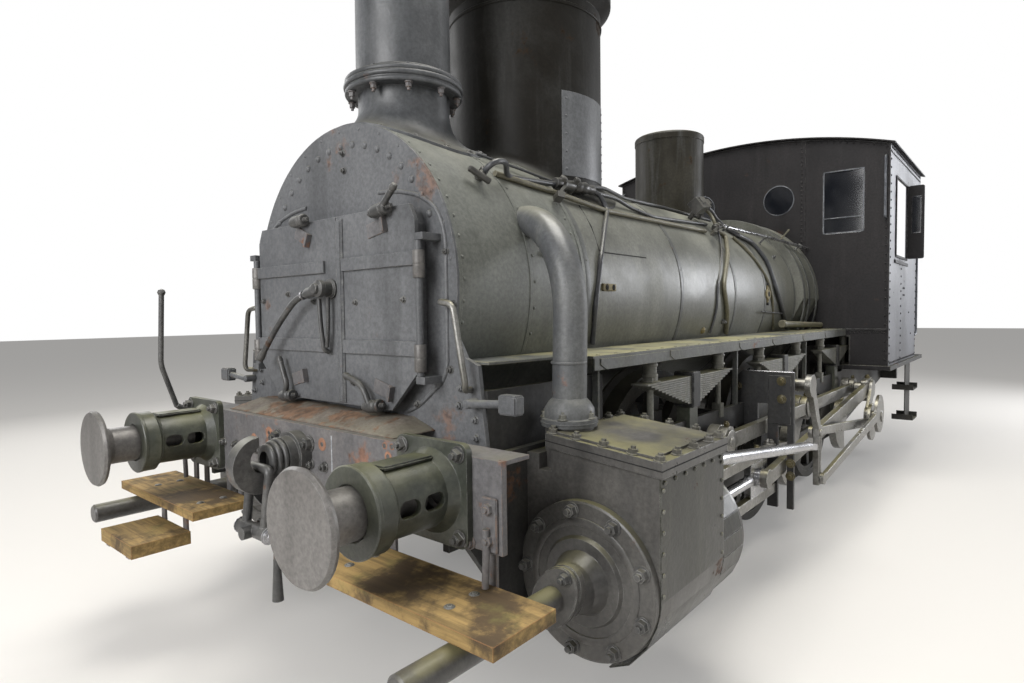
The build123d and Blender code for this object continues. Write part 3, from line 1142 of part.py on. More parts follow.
def build_cab():
    """Cab front with its four windows, side sheets, arched roof, floor and screens."""
    radius, centre = roof_circle()
    front = back(CAB_FRONT_BACK)
    sheet = Pos(0, up(CAB_BOTTOM) + 2000) * Rectangle(2 * CAB_HALF, 4000)
    sheet &= Pos(0, centre) * Circle(radius)
    sheet -= firebox_outline(SADDLE_FIT)
    low, cover_high = up(CAB_BOTTOM) - 50, up(WHEEL_COVER_TOP) + SADDLE_FIT
    cover_in, cover_out = WHEEL_COVER_IN - SADDLE_FIT, WHEEL_COVER_OUT + SADDLE_FIT
    for side in (-1, 1):
        middle = Pos(side * (cover_in + cover_out) / 2, (low + cover_high) / 2)
        sheet -= middle * Rectangle(cover_out - cover_in, cover_high - low)
        sheet -= Pos(side * ROUND_WINDOW_Y, up(ROUND_WINDOW_HEIGHT)) * Circle(ROUND_WINDOW_R)
        middle = Pos(side * (WINDOW_IN + WINDOW_OUT) / 2, up((WINDOW_LOW + WINDOW_HIGH) / 2))
        sheet -= middle * RectangleRounded(WINDOW_OUT - WINDOW_IN, WINDOW_HIGH - WINDOW_LOW, 34)
    keep("cab_front", cross_plate(sheet, front - CAB_SHEET, front))
    rear = back(SIDE_REAR_BACK)
    side = Polygon(
        (front - CAB_SHEET, up(CAB_BOTTOM)), (front - CAB_SHEET, up(CAB_SIDE_TOP)),
        (back(CAB_REAR_BACK), up(CAB_SIDE_TOP)), (back(CAB_REAR_BACK), up(CAB_SIDE_TOP - 260)),
        (rear, up(CAB_SIDE_TOP - 480)), (rear, up(CAB_BOTTOM)), align=None,
    )
    length = SIDE_WINDOW_REAR_BACK - SIDE_WINDOW_FRONT_BACK
    height = SIDE_WINDOW_HIGH - SIDE_WINDOW_LOW
    middle = Pos(
        back((SIDE_WINDOW_REAR_BACK + SIDE_WINDOW_FRONT_BACK) / 2), up((SIDE_WINDOW_LOW + SIDE_WINDOW_HIGH) / 2)
    )
    side -= middle * RectangleRounded(length, height, SIDE_WINDOW_CORNER)
    # lower sheet, two window pillars and top sheet, butted along the window's sill and head
    for level in (SIDE_WINDOW_LOW, SIDE_WINDOW_HIGH):
        middle = Pos(back((CAB_FRONT_BACK + CAB_REAR_BACK) / 2), up(level))
        side -= middle * Rectangle(CAB_REAR_BACK - CAB_FRONT_BACK + 2 * CAB_SHEET + 100, PANEL_JOINT)
    wall = side_plate(side, CAB_HALF - CAB_SHEET, CAB_HALF)
    keep("cab_side_left", wall)
    keep("cab_side_right", mirrored(wall))
    arch = Pos(0, centre) * Circle(radius + ROOF_THICK)
    arch -= Pos(0, centre) * Circle(radius)
    arch &= Pos(0, up(CAB_CROWN)) * Rectangle(2 * (CAB_HALF + ROOF_OVER), 2 * (CAB_CROWN - CAB_SIDE_TOP + 60))
    keep("cab_roof", cross_plate(arch, back(CAB_REAR_BACK + 40), front + ROOF_OVER))
    floor_top = up(CAB_BOTTOM)
    floor = slab(back(CAB_FLOOR_REAR_BACK), front + 60, -CAB_HALF - 30, CAB_HALF + 30, floor_top - 40, floor_top)
    cover_rear = AXLES["rear"] - TREAD_R - FLANGE_DEPTH - 40
    wheel_out = WHEEL_INNER_Y + TYRE_WIDTH + 45
    floor -= slab(cover_rear + CAB_SHEET, front + 70, -wheel_out, wheel_out, floor_top - 60, floor_top + 10)
    well = FIREBOX_R + 0.3
    floor -= slab(back(BACKHEAD_BACK) - 0.3, front + 70, -well, well, floor_top - 60, floor_top + 10)
    frame_out = FRAME_Y + FRAME_THICK
    hanger = slab(back(CAB_FLOOR_REAR_BACK), back(CAB_FRONT_BACK), FRAME_Y, frame_out, up(FRAME_TOP), floor_top - 40)
    floor += hanger + mirrored(hanger)
    cover = slab(cover_rear, front, WHEEL_COVER_IN, WHEEL_COVER_OUT, floor_top, up(WHEEL_COVER_TOP))
    cover -= slab(
        cover_rear + CAB_SHEET, front + 5, WHEEL_COVER_IN + CAB_SHEET, WHEEL_COVER_OUT - CAB_SHEET,
        floor_top - 5, up(WHEEL_COVER_TOP) - CAB_SHEET,
    )
    floor += cover + mirrored(cover)
    floor -= rod_z(back(DRAWBAR_PIN_BACK), 0, DRAWBAR_PIN_R + 15, floor_top - 60, floor_top + 10)
    keep("cab_floor", floor)
    screen_x = back(SIDE_WINDOW_REAR_BACK + 60)
    screen = Pos(CAB_HALF + SCREEN_WIDTH / 2, up(SCREEN_MIDDLE)) * RectangleRounded(SCREEN_WIDTH, SCREEN_TALL, 20)
    pane = RectangleRounded(SCREEN_WIDTH * 0.6, SCREEN_TALL / 2, 16)
    screen -= Pos(CAB_HALF + SCREEN_WIDTH / 2 + 10, up(SCREEN_MIDDLE + 80)) * pane
    keep("draught_screens", both_sides(cross_plate(screen, screen_x - 14, screen_x)))


def on_boiler(distance, angle, radius):
    """Point beside the boiler, from its distance back, degrees above the left side and radius."""
    turn = radians(angle)
    return (back(distance), radius * cos(turn), up(BOILER_HEIGHT) + radius * sin(turn))


def rod_between(start, end, radius):
    """Round bar from one point to another."""
    line = Vector(*end) - Vector(*start)
    return Plane(origin=start, z_dir=line) * Cylinder(radius, line.length, align=(Align.CENTER, Align.CENTER, Align.MIN))


WRAP_STEP = 12.0
PIPE_RUNS = (
    # pipe radius, bend radius, stops as distance back, degrees above the left side, radius
    (13.5, 30.0, ((558, 39.9, 762), (549, 38.5, 860), (658, 40.7, 860), (780, 43.6, 760), (1189, 46.3, 766))),
    (13.5, 50.0, (
        (1571, 46.2, 778), (1640, 39.9, 744), (1510, 30.8, 742), (1322, 12.5, 742), (1247, -6.3, 742), (1296, -22.0, 742),
    )),
    (14.0, 60.0, ((978, 41.8, 757), (1140, 41.4, 755), (1600, 38.6, 741), (3034, 40.6, 741))),
    (12.0, 60.0, ((2180, 43.9, 739), (2257, 42.8, 739), (3332, 50.0, 739))),
    (11.0, 60.0, ((2050, 57.0, 738), (2787, 62.3, 738), (3631, 61.2, 738))),
    (16.5, 60.0, ((3290, 44.2, 752), (3418, 40.0, 744), (3184, 24.5, 744), (2938, 5.0, 744), (3117, -22.0, 744))),
    (18.5, 60.0, (
        (3558, 55.0, 760), (3737, 45.2, 746), (4000, 39.5, 746), (4071, 24.9, 746), (4114, 5.5, 746),
        (4310, -9.0, 746), (4568, -21.5, 746),
    )),
    (12.0, 50.0, ((3700, 33.0, 740), (3821, 23.7, 739), (3952, 11.4, 739), (4029, -0.8, 739), (4218, -22.0, 739))),
)
VALVE_RUNS = (
    # radius, first and last stop
    (27.0, (1189, 46.3, 772), (1571, 47.2, 781)),
    (30.0, (2990, 52.6, 850), (3400, 60.6, 850)),
    (26.0, (4120, -16.0, 828), (CAB_FRONT_BACK + 20, -17.6, 860)),
)
PIPE_FEET = (
    # distance back, angle, radius of the pipe that the foot carries, foot radius
    (560, 39.9, 772, 20.0),
    (1230, 46.4, 772, 24.0),
    (1350, 46.7, 772, 18.0),
    (3060, 54.0, 850, 20.0),
    (3340, 59.4, 850, 20.0),
    (4200, -16.2, 828, 18.0),
    (4640, -16.8, 842, 18.0),
)


RAIL_R = 14.0
RAIL_POSTS = (
    # distance back, angle, radius of the rail
    (3440, 44.4, 791),
    (4300, 42.7, 809),
    (5040, 37.4, 850),
)


def wrapped(stops):
    """Stops with more between those that lie far apart round the boiler."""
    found = [on_boiler(*stops[0])]
    for before, after in zip(stops, stops[1:]):
        steps = max(1, int(abs(after[1] - before[1]) / WRAP_STEP) + 1)
        for step in range(1, steps + 1):
            found.append(on_boiler(*(one + (two - one) * step / steps for one, two in zip(before, after))))
    return found


def boiler_body():
    """Smokebox, barrel and firebox as one body, to trim what lies on them."""
    z = up(BOILER_HEIGHT)
    body = rod_x(0, z, BARREL_R, back(FIREBOX_FRONT_BACK), back(SMOKEBOX_REAR_BACK))
    body += rod_x(0, z, SMOKEBOX_R, back(SMOKEBOX_REAR_BACK), back(SMOKEBOX_FRONT_BACK))
    body += rod_x(0, z, FIREBOX_R, back(CAB_FRONT_BACK), back(FIREBOX_FRONT_BACK))
    return body + slab(back(CAB_FRONT_BACK) - 60, back(CAB_FRONT_BACK), -CAB_HALF, CAB_HALF, up(BOARD_TOP), z + FIREBOX_R)


def build_boiler_pipes():
    """Pipes, valve bodies and their feet along the left side of the boiler, and the handrails."""
    drum = boiler_body()
    pipes = None
    for radius, bend, stops in PIPE_RUNS:
        run = swept_pipe(wrapped(stops), radius, bend)
        pipes = run if pipes is None else pipes + run
    for radius, start, end in VALVE_RUNS:
        pipes += rod_between(on_boiler(*start), on_boiler(*end), radius)
    for distance, angle, reach, radius in PIPE_FEET:
        pipes += rod_between(on_boiler(distance, angle, BARREL_R - 20), on_boiler(distance, angle, reach), radius)
    keep("boiler_pipes", group(pipes - drum - PARTS["steam_dome"]))
    stops = ((3407, 44.5, 790), (4339, 42.6, 810), (CAB_FRONT_BACK + 20, 35.9, 862))
    rail = swept_pipe([on_boiler(*stop) for stop in stops], RAIL_R, 300)
    rail += rod_between(on_boiler(3412, 44.5, 790), on_boiler(3392, 44.5, 790), RAIL_R + 5)
    for distance, angle, reach in RAIL_POSTS:
        rail += rod_between(on_boiler(distance, angle, BARREL_R - 20), on_boiler(distance, angle, reach), 11)
    keep("handrails", both_sides(rail - drum))


STEP_FRONT_BACK = 6760.0
STEP_REAR_BACK = 7080.0
STEP_HEIGHTS = (350.0, 690.0)
STEP_PLATE_Y = 1330.0
STEP_THICK = 10.0
STEP_DEPTH = 240.0


def build_cab_steps():
    """Two steps a side below the cab floor, on a plate that hangs from it."""
    x0, x1 = back(STEP_REAR_BACK), back(STEP_FRONT_BACK)
    steps = slab(x0, x1, STEP_PLATE_Y, STEP_PLATE_Y + STEP_THICK, up(STEP_HEIGHTS[0]), up(CAB_BOTTOM) - 40)
    for height in STEP_HEIGHTS:
        inner = STEP_PLATE_Y - STEP_DEPTH / 2
        steps += slab(x0, x1, inner, inner + STEP_DEPTH * 0.86, up(height - STEP_THICK), up(height))
        steps += slab(x0, x0 + 8, inner, inner + STEP_DEPTH * 0.86, up(height - STEP_THICK), up(height + 50))
        steps += slab(x1 - 8, x1, inner, inner + STEP_DEPTH * 0.86, up(height - STEP_THICK), up(height + 50))
    keep("cab_steps", both_sides(steps))


PLANK_THICK = 42.0
PLANK_TOP = 702.0
IRON_THICK = 12.0
IRON_WIDTH = 40.0
LOW_PLANK_REAR = -200.0
LOW_PLANK_FRONT = -460.0
LOW_PLANK_TOP = 560.0
LOW_PLANK_THICK = 60.0


def build_planks():
    """Wooden steps in front of the cylinders, on iron hangers from the beam."""
    top = up(PLANK_TOP)
    under = top - PLANK_THICK
    rear = back(BEAM_THICK)
    plank = slab(rear + 2, back(-262), 470, 1370, under, top)
    low_under = up(LOW_PLANK_TOP) - LOW_PLANK_THICK
    lower = slab(back(LOW_PLANK_REAR), back(LOW_PLANK_FRONT), -1047, -650, low_under, up(LOW_PLANK_TOP))
    keep("front_planks", group(plank, mirrored(plank), lower))
    beam = PARTS["buffer_beam"]
    for y in (600.0, 1110.0):
        low, high = y - IRON_WIDTH / 2, y + IRON_WIDTH / 2
        iron = slab(rear - IRON_THICK, rear, low, high, under - IRON_THICK, up(BEAM_BOTTOM + 90))
        iron += slab(rear - IRON_THICK, back(-240), low, high, under - IRON_THICK, under)
        beam += iron + mirrored(iron)
    for y in (-720.0, -980.0):
        low, high = y - IRON_WIDTH / 2, y + IRON_WIDTH / 2
        drop = back(LOW_PLANK_REAR + IRON_THICK + 2)
        iron = slab(drop, drop + IRON_THICK, low, high, low_under - IRON_THICK, under)
        iron += slab(drop, back(LOW_PLANK_FRONT + 6), low, high, low_under - IRON_THICK, low_under)
        iron += slab(rear - IRON_THICK, back(-240), low, high, under - IRON_THICK, under)
        iron += slab(rear - IRON_THICK, rear, low, high, under - IRON_THICK, up(BEAM_BOTTOM + 90))
        beam += iron
    keep("buffer_beam", beam)


def main():
    """Builds every sub-part and writes one file for each."""
    build_wheelsets()
    build_coupling_rods()
    build_main_rods()
    build_crossheads()
    build_eccentric_rods()
    build_frames()
    build_stretchers()
    build_beams()
    build_buffers()
    build_draw_gear()
    build_cylinders()
    build_valve_gear()
    build_slide_bars()
    build_motion_plates()
    build_springs()
    build_smokebox()
    build_smokebox_doors()
    build_boiler()
    build_chimney()
    build_dome()
    build_sandbox()
    build_steam_pipes()
    build_running_boards()
    build_cab()
    build_boiler_pipes()
    build_cab_steps()
    build_planks()
    os.makedirs("parts", exist_ok=True)
    for name, shape in PARTS.items():
        export_step(shape, f"parts/{name}.step")


main()
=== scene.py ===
"""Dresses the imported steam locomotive: aged finishes, rivets, bolts, pipes, fittings, light and camera."""

import logging
from dataclasses import dataclass, field
from enum import Enum
from math import cos, pi, radians, sin, sqrt
from typing import Callable, Iterable, Sequence

import bmesh
import bpy
from mathutils import Matrix, Vector, noise
from mathutils.geometry import interpolate_bezier

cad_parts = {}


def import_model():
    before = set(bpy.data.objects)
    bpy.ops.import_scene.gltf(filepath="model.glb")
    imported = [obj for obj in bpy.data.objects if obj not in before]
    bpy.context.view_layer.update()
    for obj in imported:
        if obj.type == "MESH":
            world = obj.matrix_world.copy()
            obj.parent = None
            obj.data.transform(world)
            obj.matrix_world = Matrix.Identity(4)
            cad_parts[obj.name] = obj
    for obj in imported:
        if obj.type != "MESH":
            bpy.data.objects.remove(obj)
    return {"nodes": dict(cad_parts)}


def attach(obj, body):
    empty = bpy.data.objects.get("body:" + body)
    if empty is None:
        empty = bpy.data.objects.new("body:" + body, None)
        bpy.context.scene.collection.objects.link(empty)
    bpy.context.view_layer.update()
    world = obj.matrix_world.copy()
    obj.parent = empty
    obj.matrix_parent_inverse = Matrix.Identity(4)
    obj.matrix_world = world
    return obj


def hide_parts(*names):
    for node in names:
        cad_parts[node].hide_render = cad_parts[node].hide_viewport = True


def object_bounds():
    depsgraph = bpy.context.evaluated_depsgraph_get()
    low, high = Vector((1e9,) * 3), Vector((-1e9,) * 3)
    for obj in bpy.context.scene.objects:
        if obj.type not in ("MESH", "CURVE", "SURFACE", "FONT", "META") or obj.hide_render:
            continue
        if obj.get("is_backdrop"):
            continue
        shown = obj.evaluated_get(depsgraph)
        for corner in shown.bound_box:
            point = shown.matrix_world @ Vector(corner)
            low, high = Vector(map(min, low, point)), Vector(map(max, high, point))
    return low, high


LOG = logging.getLogger("locomotive")
Colour = Point = tuple[float, float, float]
Material, Socket = bpy.types.Material, bpy.types.NodeSocket
Place = Sequence[float]
Profile = Sequence[tuple[float, float]]
AHEAD, BACK, LEFT, UP = (1, 0, 0), (-1, 0, 0), (0, 1, 0), (0, 0, 1)
SIDES = (1, -1)
WHITE = (1.0, 1.0, 1.0)
ROOT = "locomotive"
SHARP_EDGE = radians(38.0)


@dataclass(frozen=True)
class Datum:
    """Turns distances behind the buffer beam and heights above the rail into scene metres."""

    beam: float = 3.393
    rail: float = 0.028
    boiler_height: float = 1.707

    def back(self, distance: float) -> float:
        """Lengthwise place of a point this far behind the beam's front face."""
        return self.beam - distance

    def up(self, height: float) -> float:
        """Height above the floor of a point this far above the rail."""
        return self.rail + height

    def mm(self, x: float, y: float, z: float) -> Vector:
        """Point given in millimetres forward of the beam's face, to the left and above the rail."""
        return Vector((self.beam + x / 1000, y / 1000, self.rail + z / 1000))

    def on_boiler(self, distance: float, angle: float, radius: float) -> Vector:
        """Point around the boiler's centre line.

        Args:
            distance: How far behind the buffer beam, in metres.
            angle: Degrees up from the locomotive's left, 90 is the top.
            radius: Distance from the boiler's centre line.

        Returns:
            The point in the row frame.
        """
        turn = radians(angle)
        rise = self.up(self.boiler_height) + radius * sin(turn)
        return Vector((self.back(distance), radius * cos(turn), rise))


DATUM = Datum()
mm = DATUM.mm


# Finishes


class Nodes:
    """A node tree, with short calls that add, fill in and link its nodes."""

    def __init__(self, tree: bpy.types.NodeTree) -> None:
        """Takes over a tree and empties it."""
        self.tree = tree
        tree.nodes.clear()

    def feed(self, target: Socket, value: object) -> None:
        """Links a socket, or writes a plain value into it."""
        if isinstance(value, Socket):
            self.tree.links.new(value, target)
        elif isinstance(value, tuple) and len(value) == 3 and target.type == "RGBA":
            target.default_value = (*value, 1.0)
        else:
            target.default_value = value

    def add(
        self, kind: str, feeds: dict[str | int, object] | None = None, **settings: object,
    ) -> bpy.types.Node:
        """Adds one node.

        Args:
            kind: The node's type.
            feeds: What goes into its inputs, by their names or numbers.
            **settings: Its own properties, set before the inputs.

        Returns:
            The new node.
        """
        node = self.tree.nodes.new(kind)
        for key, value in settings.items():
            setattr(node, key, value)
        for key, value in (feeds or {}).items():
            self.feed(node.inputs[key], value)
        return node

    def math(self, kind: str, first: object, second: object = 0.0) -> Socket:
        """One arithmetic step on two values."""
        return self.add("ShaderNodeMath", {0: first, 1: second}, operation=kind).outputs[0]


class Graph(Nodes):
    """A material's node tree, with the steps that the finishes share."""

    def __init__(self, name: str) -> None:
        """Starts an empty material of this name."""
        self.material = bpy.data.materials.new(name)
        self.material.use_nodes = True
        super().__init__(self.material.node_tree)
        self.place = self.add("ShaderNodeTexCoord").outputs["Object"]

    def stretched(self, scale: Point, shift: Point = (0.0, 0.0, 0.0)) -> Socket:
        """Object coordinates with their own scale along each axis."""
        feeds = {"Vector": self.place, "Scale": scale, "Location": shift}
        return self.add("ShaderNodeMapping", feeds).outputs["Vector"]

    def noise(self, vector: Socket, scale: float, detail: float = 6.0, rough: float = 0.55) -> Socket:
        """Grey noise between 0 and 1."""
        feeds = {"Vector": vector, "Scale": scale, "Detail": detail, "Roughness": rough}
        return self.add("ShaderNodeTexNoise", feeds).outputs["Fac"]

    def between(
        self, value: Socket, low: float, high: float, least: float = 0.0, most: float = 1.0,
    ) -> Socket:
        """Maps the span from low to high onto the span from least to most, clamped."""
        feeds = {"Value": value, "From Min": low, "From Max": high, "To Min": least, "To Max": most}
        return self.add(
            "ShaderNodeMapRange", feeds, clamp=True, interpolation_type="SMOOTHSTEP",
        ).outputs["Result"]

    def mix(self, share: object, first: object, second: object, kind: str = "MIX") -> Socket:
        """Mixes two colours."""
        return self.add(
            "ShaderNodeMix", {0: share, 6: first, 7: second}, data_type="RGBA", blend_type=kind,
        ).outputs[2]

    def upward(self) -> Socket:
        """How far a face looks up, from 0 to 1."""
        normal = self.add("ShaderNodeNewGeometry").outputs["Normal"]
        return self.between(self.add("ShaderNodeSeparateXYZ", {"Vector": normal}).outputs["Z"], 0.35, 0.95)

    def edges(self, width: float) -> tuple[Socket, Socket]:
        """Mask of the outer edges, and the normal of slightly rounded edges.

        Args:
            width: Radius of the rounding, in metres.

        Returns:
            The edge mask and the rounded normal.
        """
        rounded = self.add("ShaderNodeBevel", {"Radius": width}, samples=4).outputs["Normal"]
        plain = self.add("ShaderNodeNewGeometry").outputs["Normal"]
        product = self.add("ShaderNodeVectorMath", {0: rounded, 1: plain}, operation="DOT_PRODUCT")
        return self.between(product.outputs["Value"], 0.995, 0.86), rounded

    def relief(self, height: Socket, strength: float, depth: float, normal: Socket) -> Socket:
        """Bump from a height value, on top of another normal."""
        feeds = {"Height": height, "Strength": strength, "Distance": depth, "Normal": normal}
        return self.add("ShaderNodeBump", feeds).outputs["Normal"]

    def close(self, shader: Socket) -> Material:
        """Links a shader to the output, and gives the material back."""
        self.add("ShaderNodeOutputMaterial", {"Surface": shader})
        return self.material

    def surface(self, feeds: dict[str | int, object]) -> Material:
        """Closes the tree with a principled shader that takes these inputs."""
        return self.close(self.add("ShaderNodeBsdfPrincipled", feeds).outputs["BSDF"])


@dataclass(frozen=True)
class AgedMetal:
    """Painted or bare metal that has stood for decades: patches, runs, dust, rust and worn edges."""

    name: str
    slot: str
    base: Colour
    patch: Colour
    patch_scale: float = 1.8
    run: Colour = (0.16, 0.16, 0.15)
    runs: float = 0.25
    rust: float = 0.0
    rust_scale: float = 4.0
    rust_colour: Colour = (0.2, 0.085, 0.045)
    dust: Colour = (0.19, 0.18, 0.13)
    dusty: float = 0.5
    rough: tuple[float, float] = (0.42, 0.68)
    metallic: float = 0.0
    wear: float = 0.5
    wear_colour: Colour = (0.3, 0.3, 0.29)
    grain: float = 0.35
    gloss: float = 0.5
    edge: float = 0.004

    def build(self) -> Material:
        """Makes the material.

        Returns:
            The finished material.
        """
        graph = Graph(self.name)
        large = graph.noise(graph.place, self.patch_scale, 8.0, 0.6)
        colour = graph.mix(graph.between(large, 0.4, 0.64), self.base, self.patch)
        runs = graph.noise(graph.stretched((9.0, 9.0, 0.9)), 1.0, 6.0, 0.62)
        colour = graph.mix(graph.between(runs, 0.5, 0.78, 0.0, self.runs), colour, self.run)
        dark_runs = graph.noise(graph.stretched((5.0, 5.0, 0.5), (3.1, 1.7, 0.4)), 1.0, 4.0)
        colour = graph.mix(
            graph.between(dark_runs, 0.52, 0.72, 0.0, 0.45), colour, tuple(c * 0.45 for c in self.base),
        )
        fine = graph.noise(graph.place, 55.0, 4.0, 0.7)
        speckle = graph.between(fine, 0.3, 0.7, 0.78, 1.18)
        tint = graph.add("ShaderNodeCombineColor", dict.fromkeys(range(3), speckle))
        colour = graph.mix(1.0, colour, tint.outputs["Color"], "MULTIPLY")
        scratch = graph.noise(graph.stretched((30.0, 30.0, 6.0), (0.3, 0.9, 2.0)), 1.0, 3.0, 0.8)
        colour = graph.mix(graph.between(scratch, 0.7, 0.76, 0.0, 0.35), colour, self.run)
        if self.dusty > 0.0:
            drift = graph.between(graph.noise(graph.place, 3.2, 5.0), 0.32, 0.62)
            share = graph.math("MULTIPLY", graph.math("MULTIPLY", graph.upward(), drift), self.dusty)
            colour = graph.mix(share, colour, self.dust)
        roughness: Socket = graph.between(large, 0.3, 0.7, *self.rough)
        if self.rust > 0.0:
            blotch = graph.noise(graph.place, self.rust_scale, 9.0, 0.68)
            limit = 0.7 - 0.32 * self.rust
            cover = graph.between(blotch, limit, limit + 0.06)
            tone = graph.noise(graph.place, 26.0, 4.0)
            orange = graph.mix(
                graph.between(tone, 0.35, 0.65), self.rust_colour, tuple(c * 0.42 for c in self.rust_colour),
            )
            colour = graph.mix(graph.math("MULTIPLY", cover, 0.85), colour, orange)
            roughness = graph.math("MAXIMUM", roughness, graph.math("MULTIPLY", cover, 0.85))
        mask, rounded = graph.edges(self.edge)
        if self.wear > 0.0:
            chips = graph.between(graph.noise(graph.place, 22.0, 5.0), 0.42, 0.6)
            share = graph.math("MULTIPLY", graph.math("MULTIPLY", mask, chips), self.wear)
            colour = graph.mix(share, colour, self.wear_colour)
        height = graph.math(
            "ADD", graph.math("MULTIPLY", fine, 0.35), graph.noise(graph.place, 9.0, 6.0, 0.6),
        )
        normal = graph.relief(height, self.grain, 0.004, rounded)
        return graph.surface({
            "Base Color": colour, "Roughness": roughness, "Metallic": self.metallic, "Normal": normal,
            "Specular IOR Level": self.gloss,
        })


@dataclass(frozen=True)
class OldPlank:
    """Worn plank with long grain, dark stains and pale edges, its grain crosswise to the locomotive."""

    name: str = "worn_plank_wood"
    slot: str = "wood"
    pale: Colour = (0.36, 0.24, 0.09)
    dark: Colour = (0.055, 0.035, 0.018)
    moss: Colour = (0.22, 0.2, 0.06)

    def build(self) -> Material:
        """Makes the material.

        Returns:
            The finished material.
        """
        graph = Graph(self.name)
        grain = graph.noise(graph.stretched((34.0, 2.2, 34.0)), 1.0, 8.0, 0.65)
        colour = graph.mix(graph.between(grain, 0.35, 0.68), self.pale, tuple(c * 0.45 for c in self.pale))
        stain = graph.noise(graph.place, 3.4, 7.0, 0.66)
        colour = graph.mix(graph.between(stain, 0.47, 0.6, 0.0, 0.9), colour, self.dark)
        moss = graph.noise(graph.stretched((1.0, 1.0, 1.0), (4.0, 2.0, 1.0)), 5.0, 6.0)
        colour = graph.mix(graph.between(moss, 0.52, 0.66, 0.0, 0.5), colour, self.moss)
        mask, rounded = graph.edges(0.006)
        colour = graph.mix(graph.math("MULTIPLY", mask, 0.55), colour, (0.45, 0.22, 0.09))
        normal = graph.relief(grain, 0.6, 0.004, rounded)
        return graph.surface({"Base Color": colour, "Roughness": 0.82, "Normal": normal})


@dataclass(frozen=True)
class PaneGlass:
    """Old window glass, near black and mostly opaque: painted shade of the dim space behind it, with a little
    dirt that varies how much shows through.
    """

    name: str = "window_glass"
    slot: str = "black_paint"

    def build(self) -> Material:
        """Makes the material.

        Returns:
            The finished material.
        """
        graph = Graph(self.name)
        # Opacity from 0.86 to 0.95 over a near-black colour is painted shade of what lies behind the pane. A
        # little dirt makes it uneven.
        painted_shade_and_dirt = graph.between(graph.noise(graph.place, 4.0, 6.0), 0.4, 0.75, 0.86, 0.95)
        return graph.surface(
            {"Base Color": (0.004, 0.005, 0.008), "Roughness": 0.1, "IOR": 1.45, "Alpha": painted_shade_and_dirt}
        )


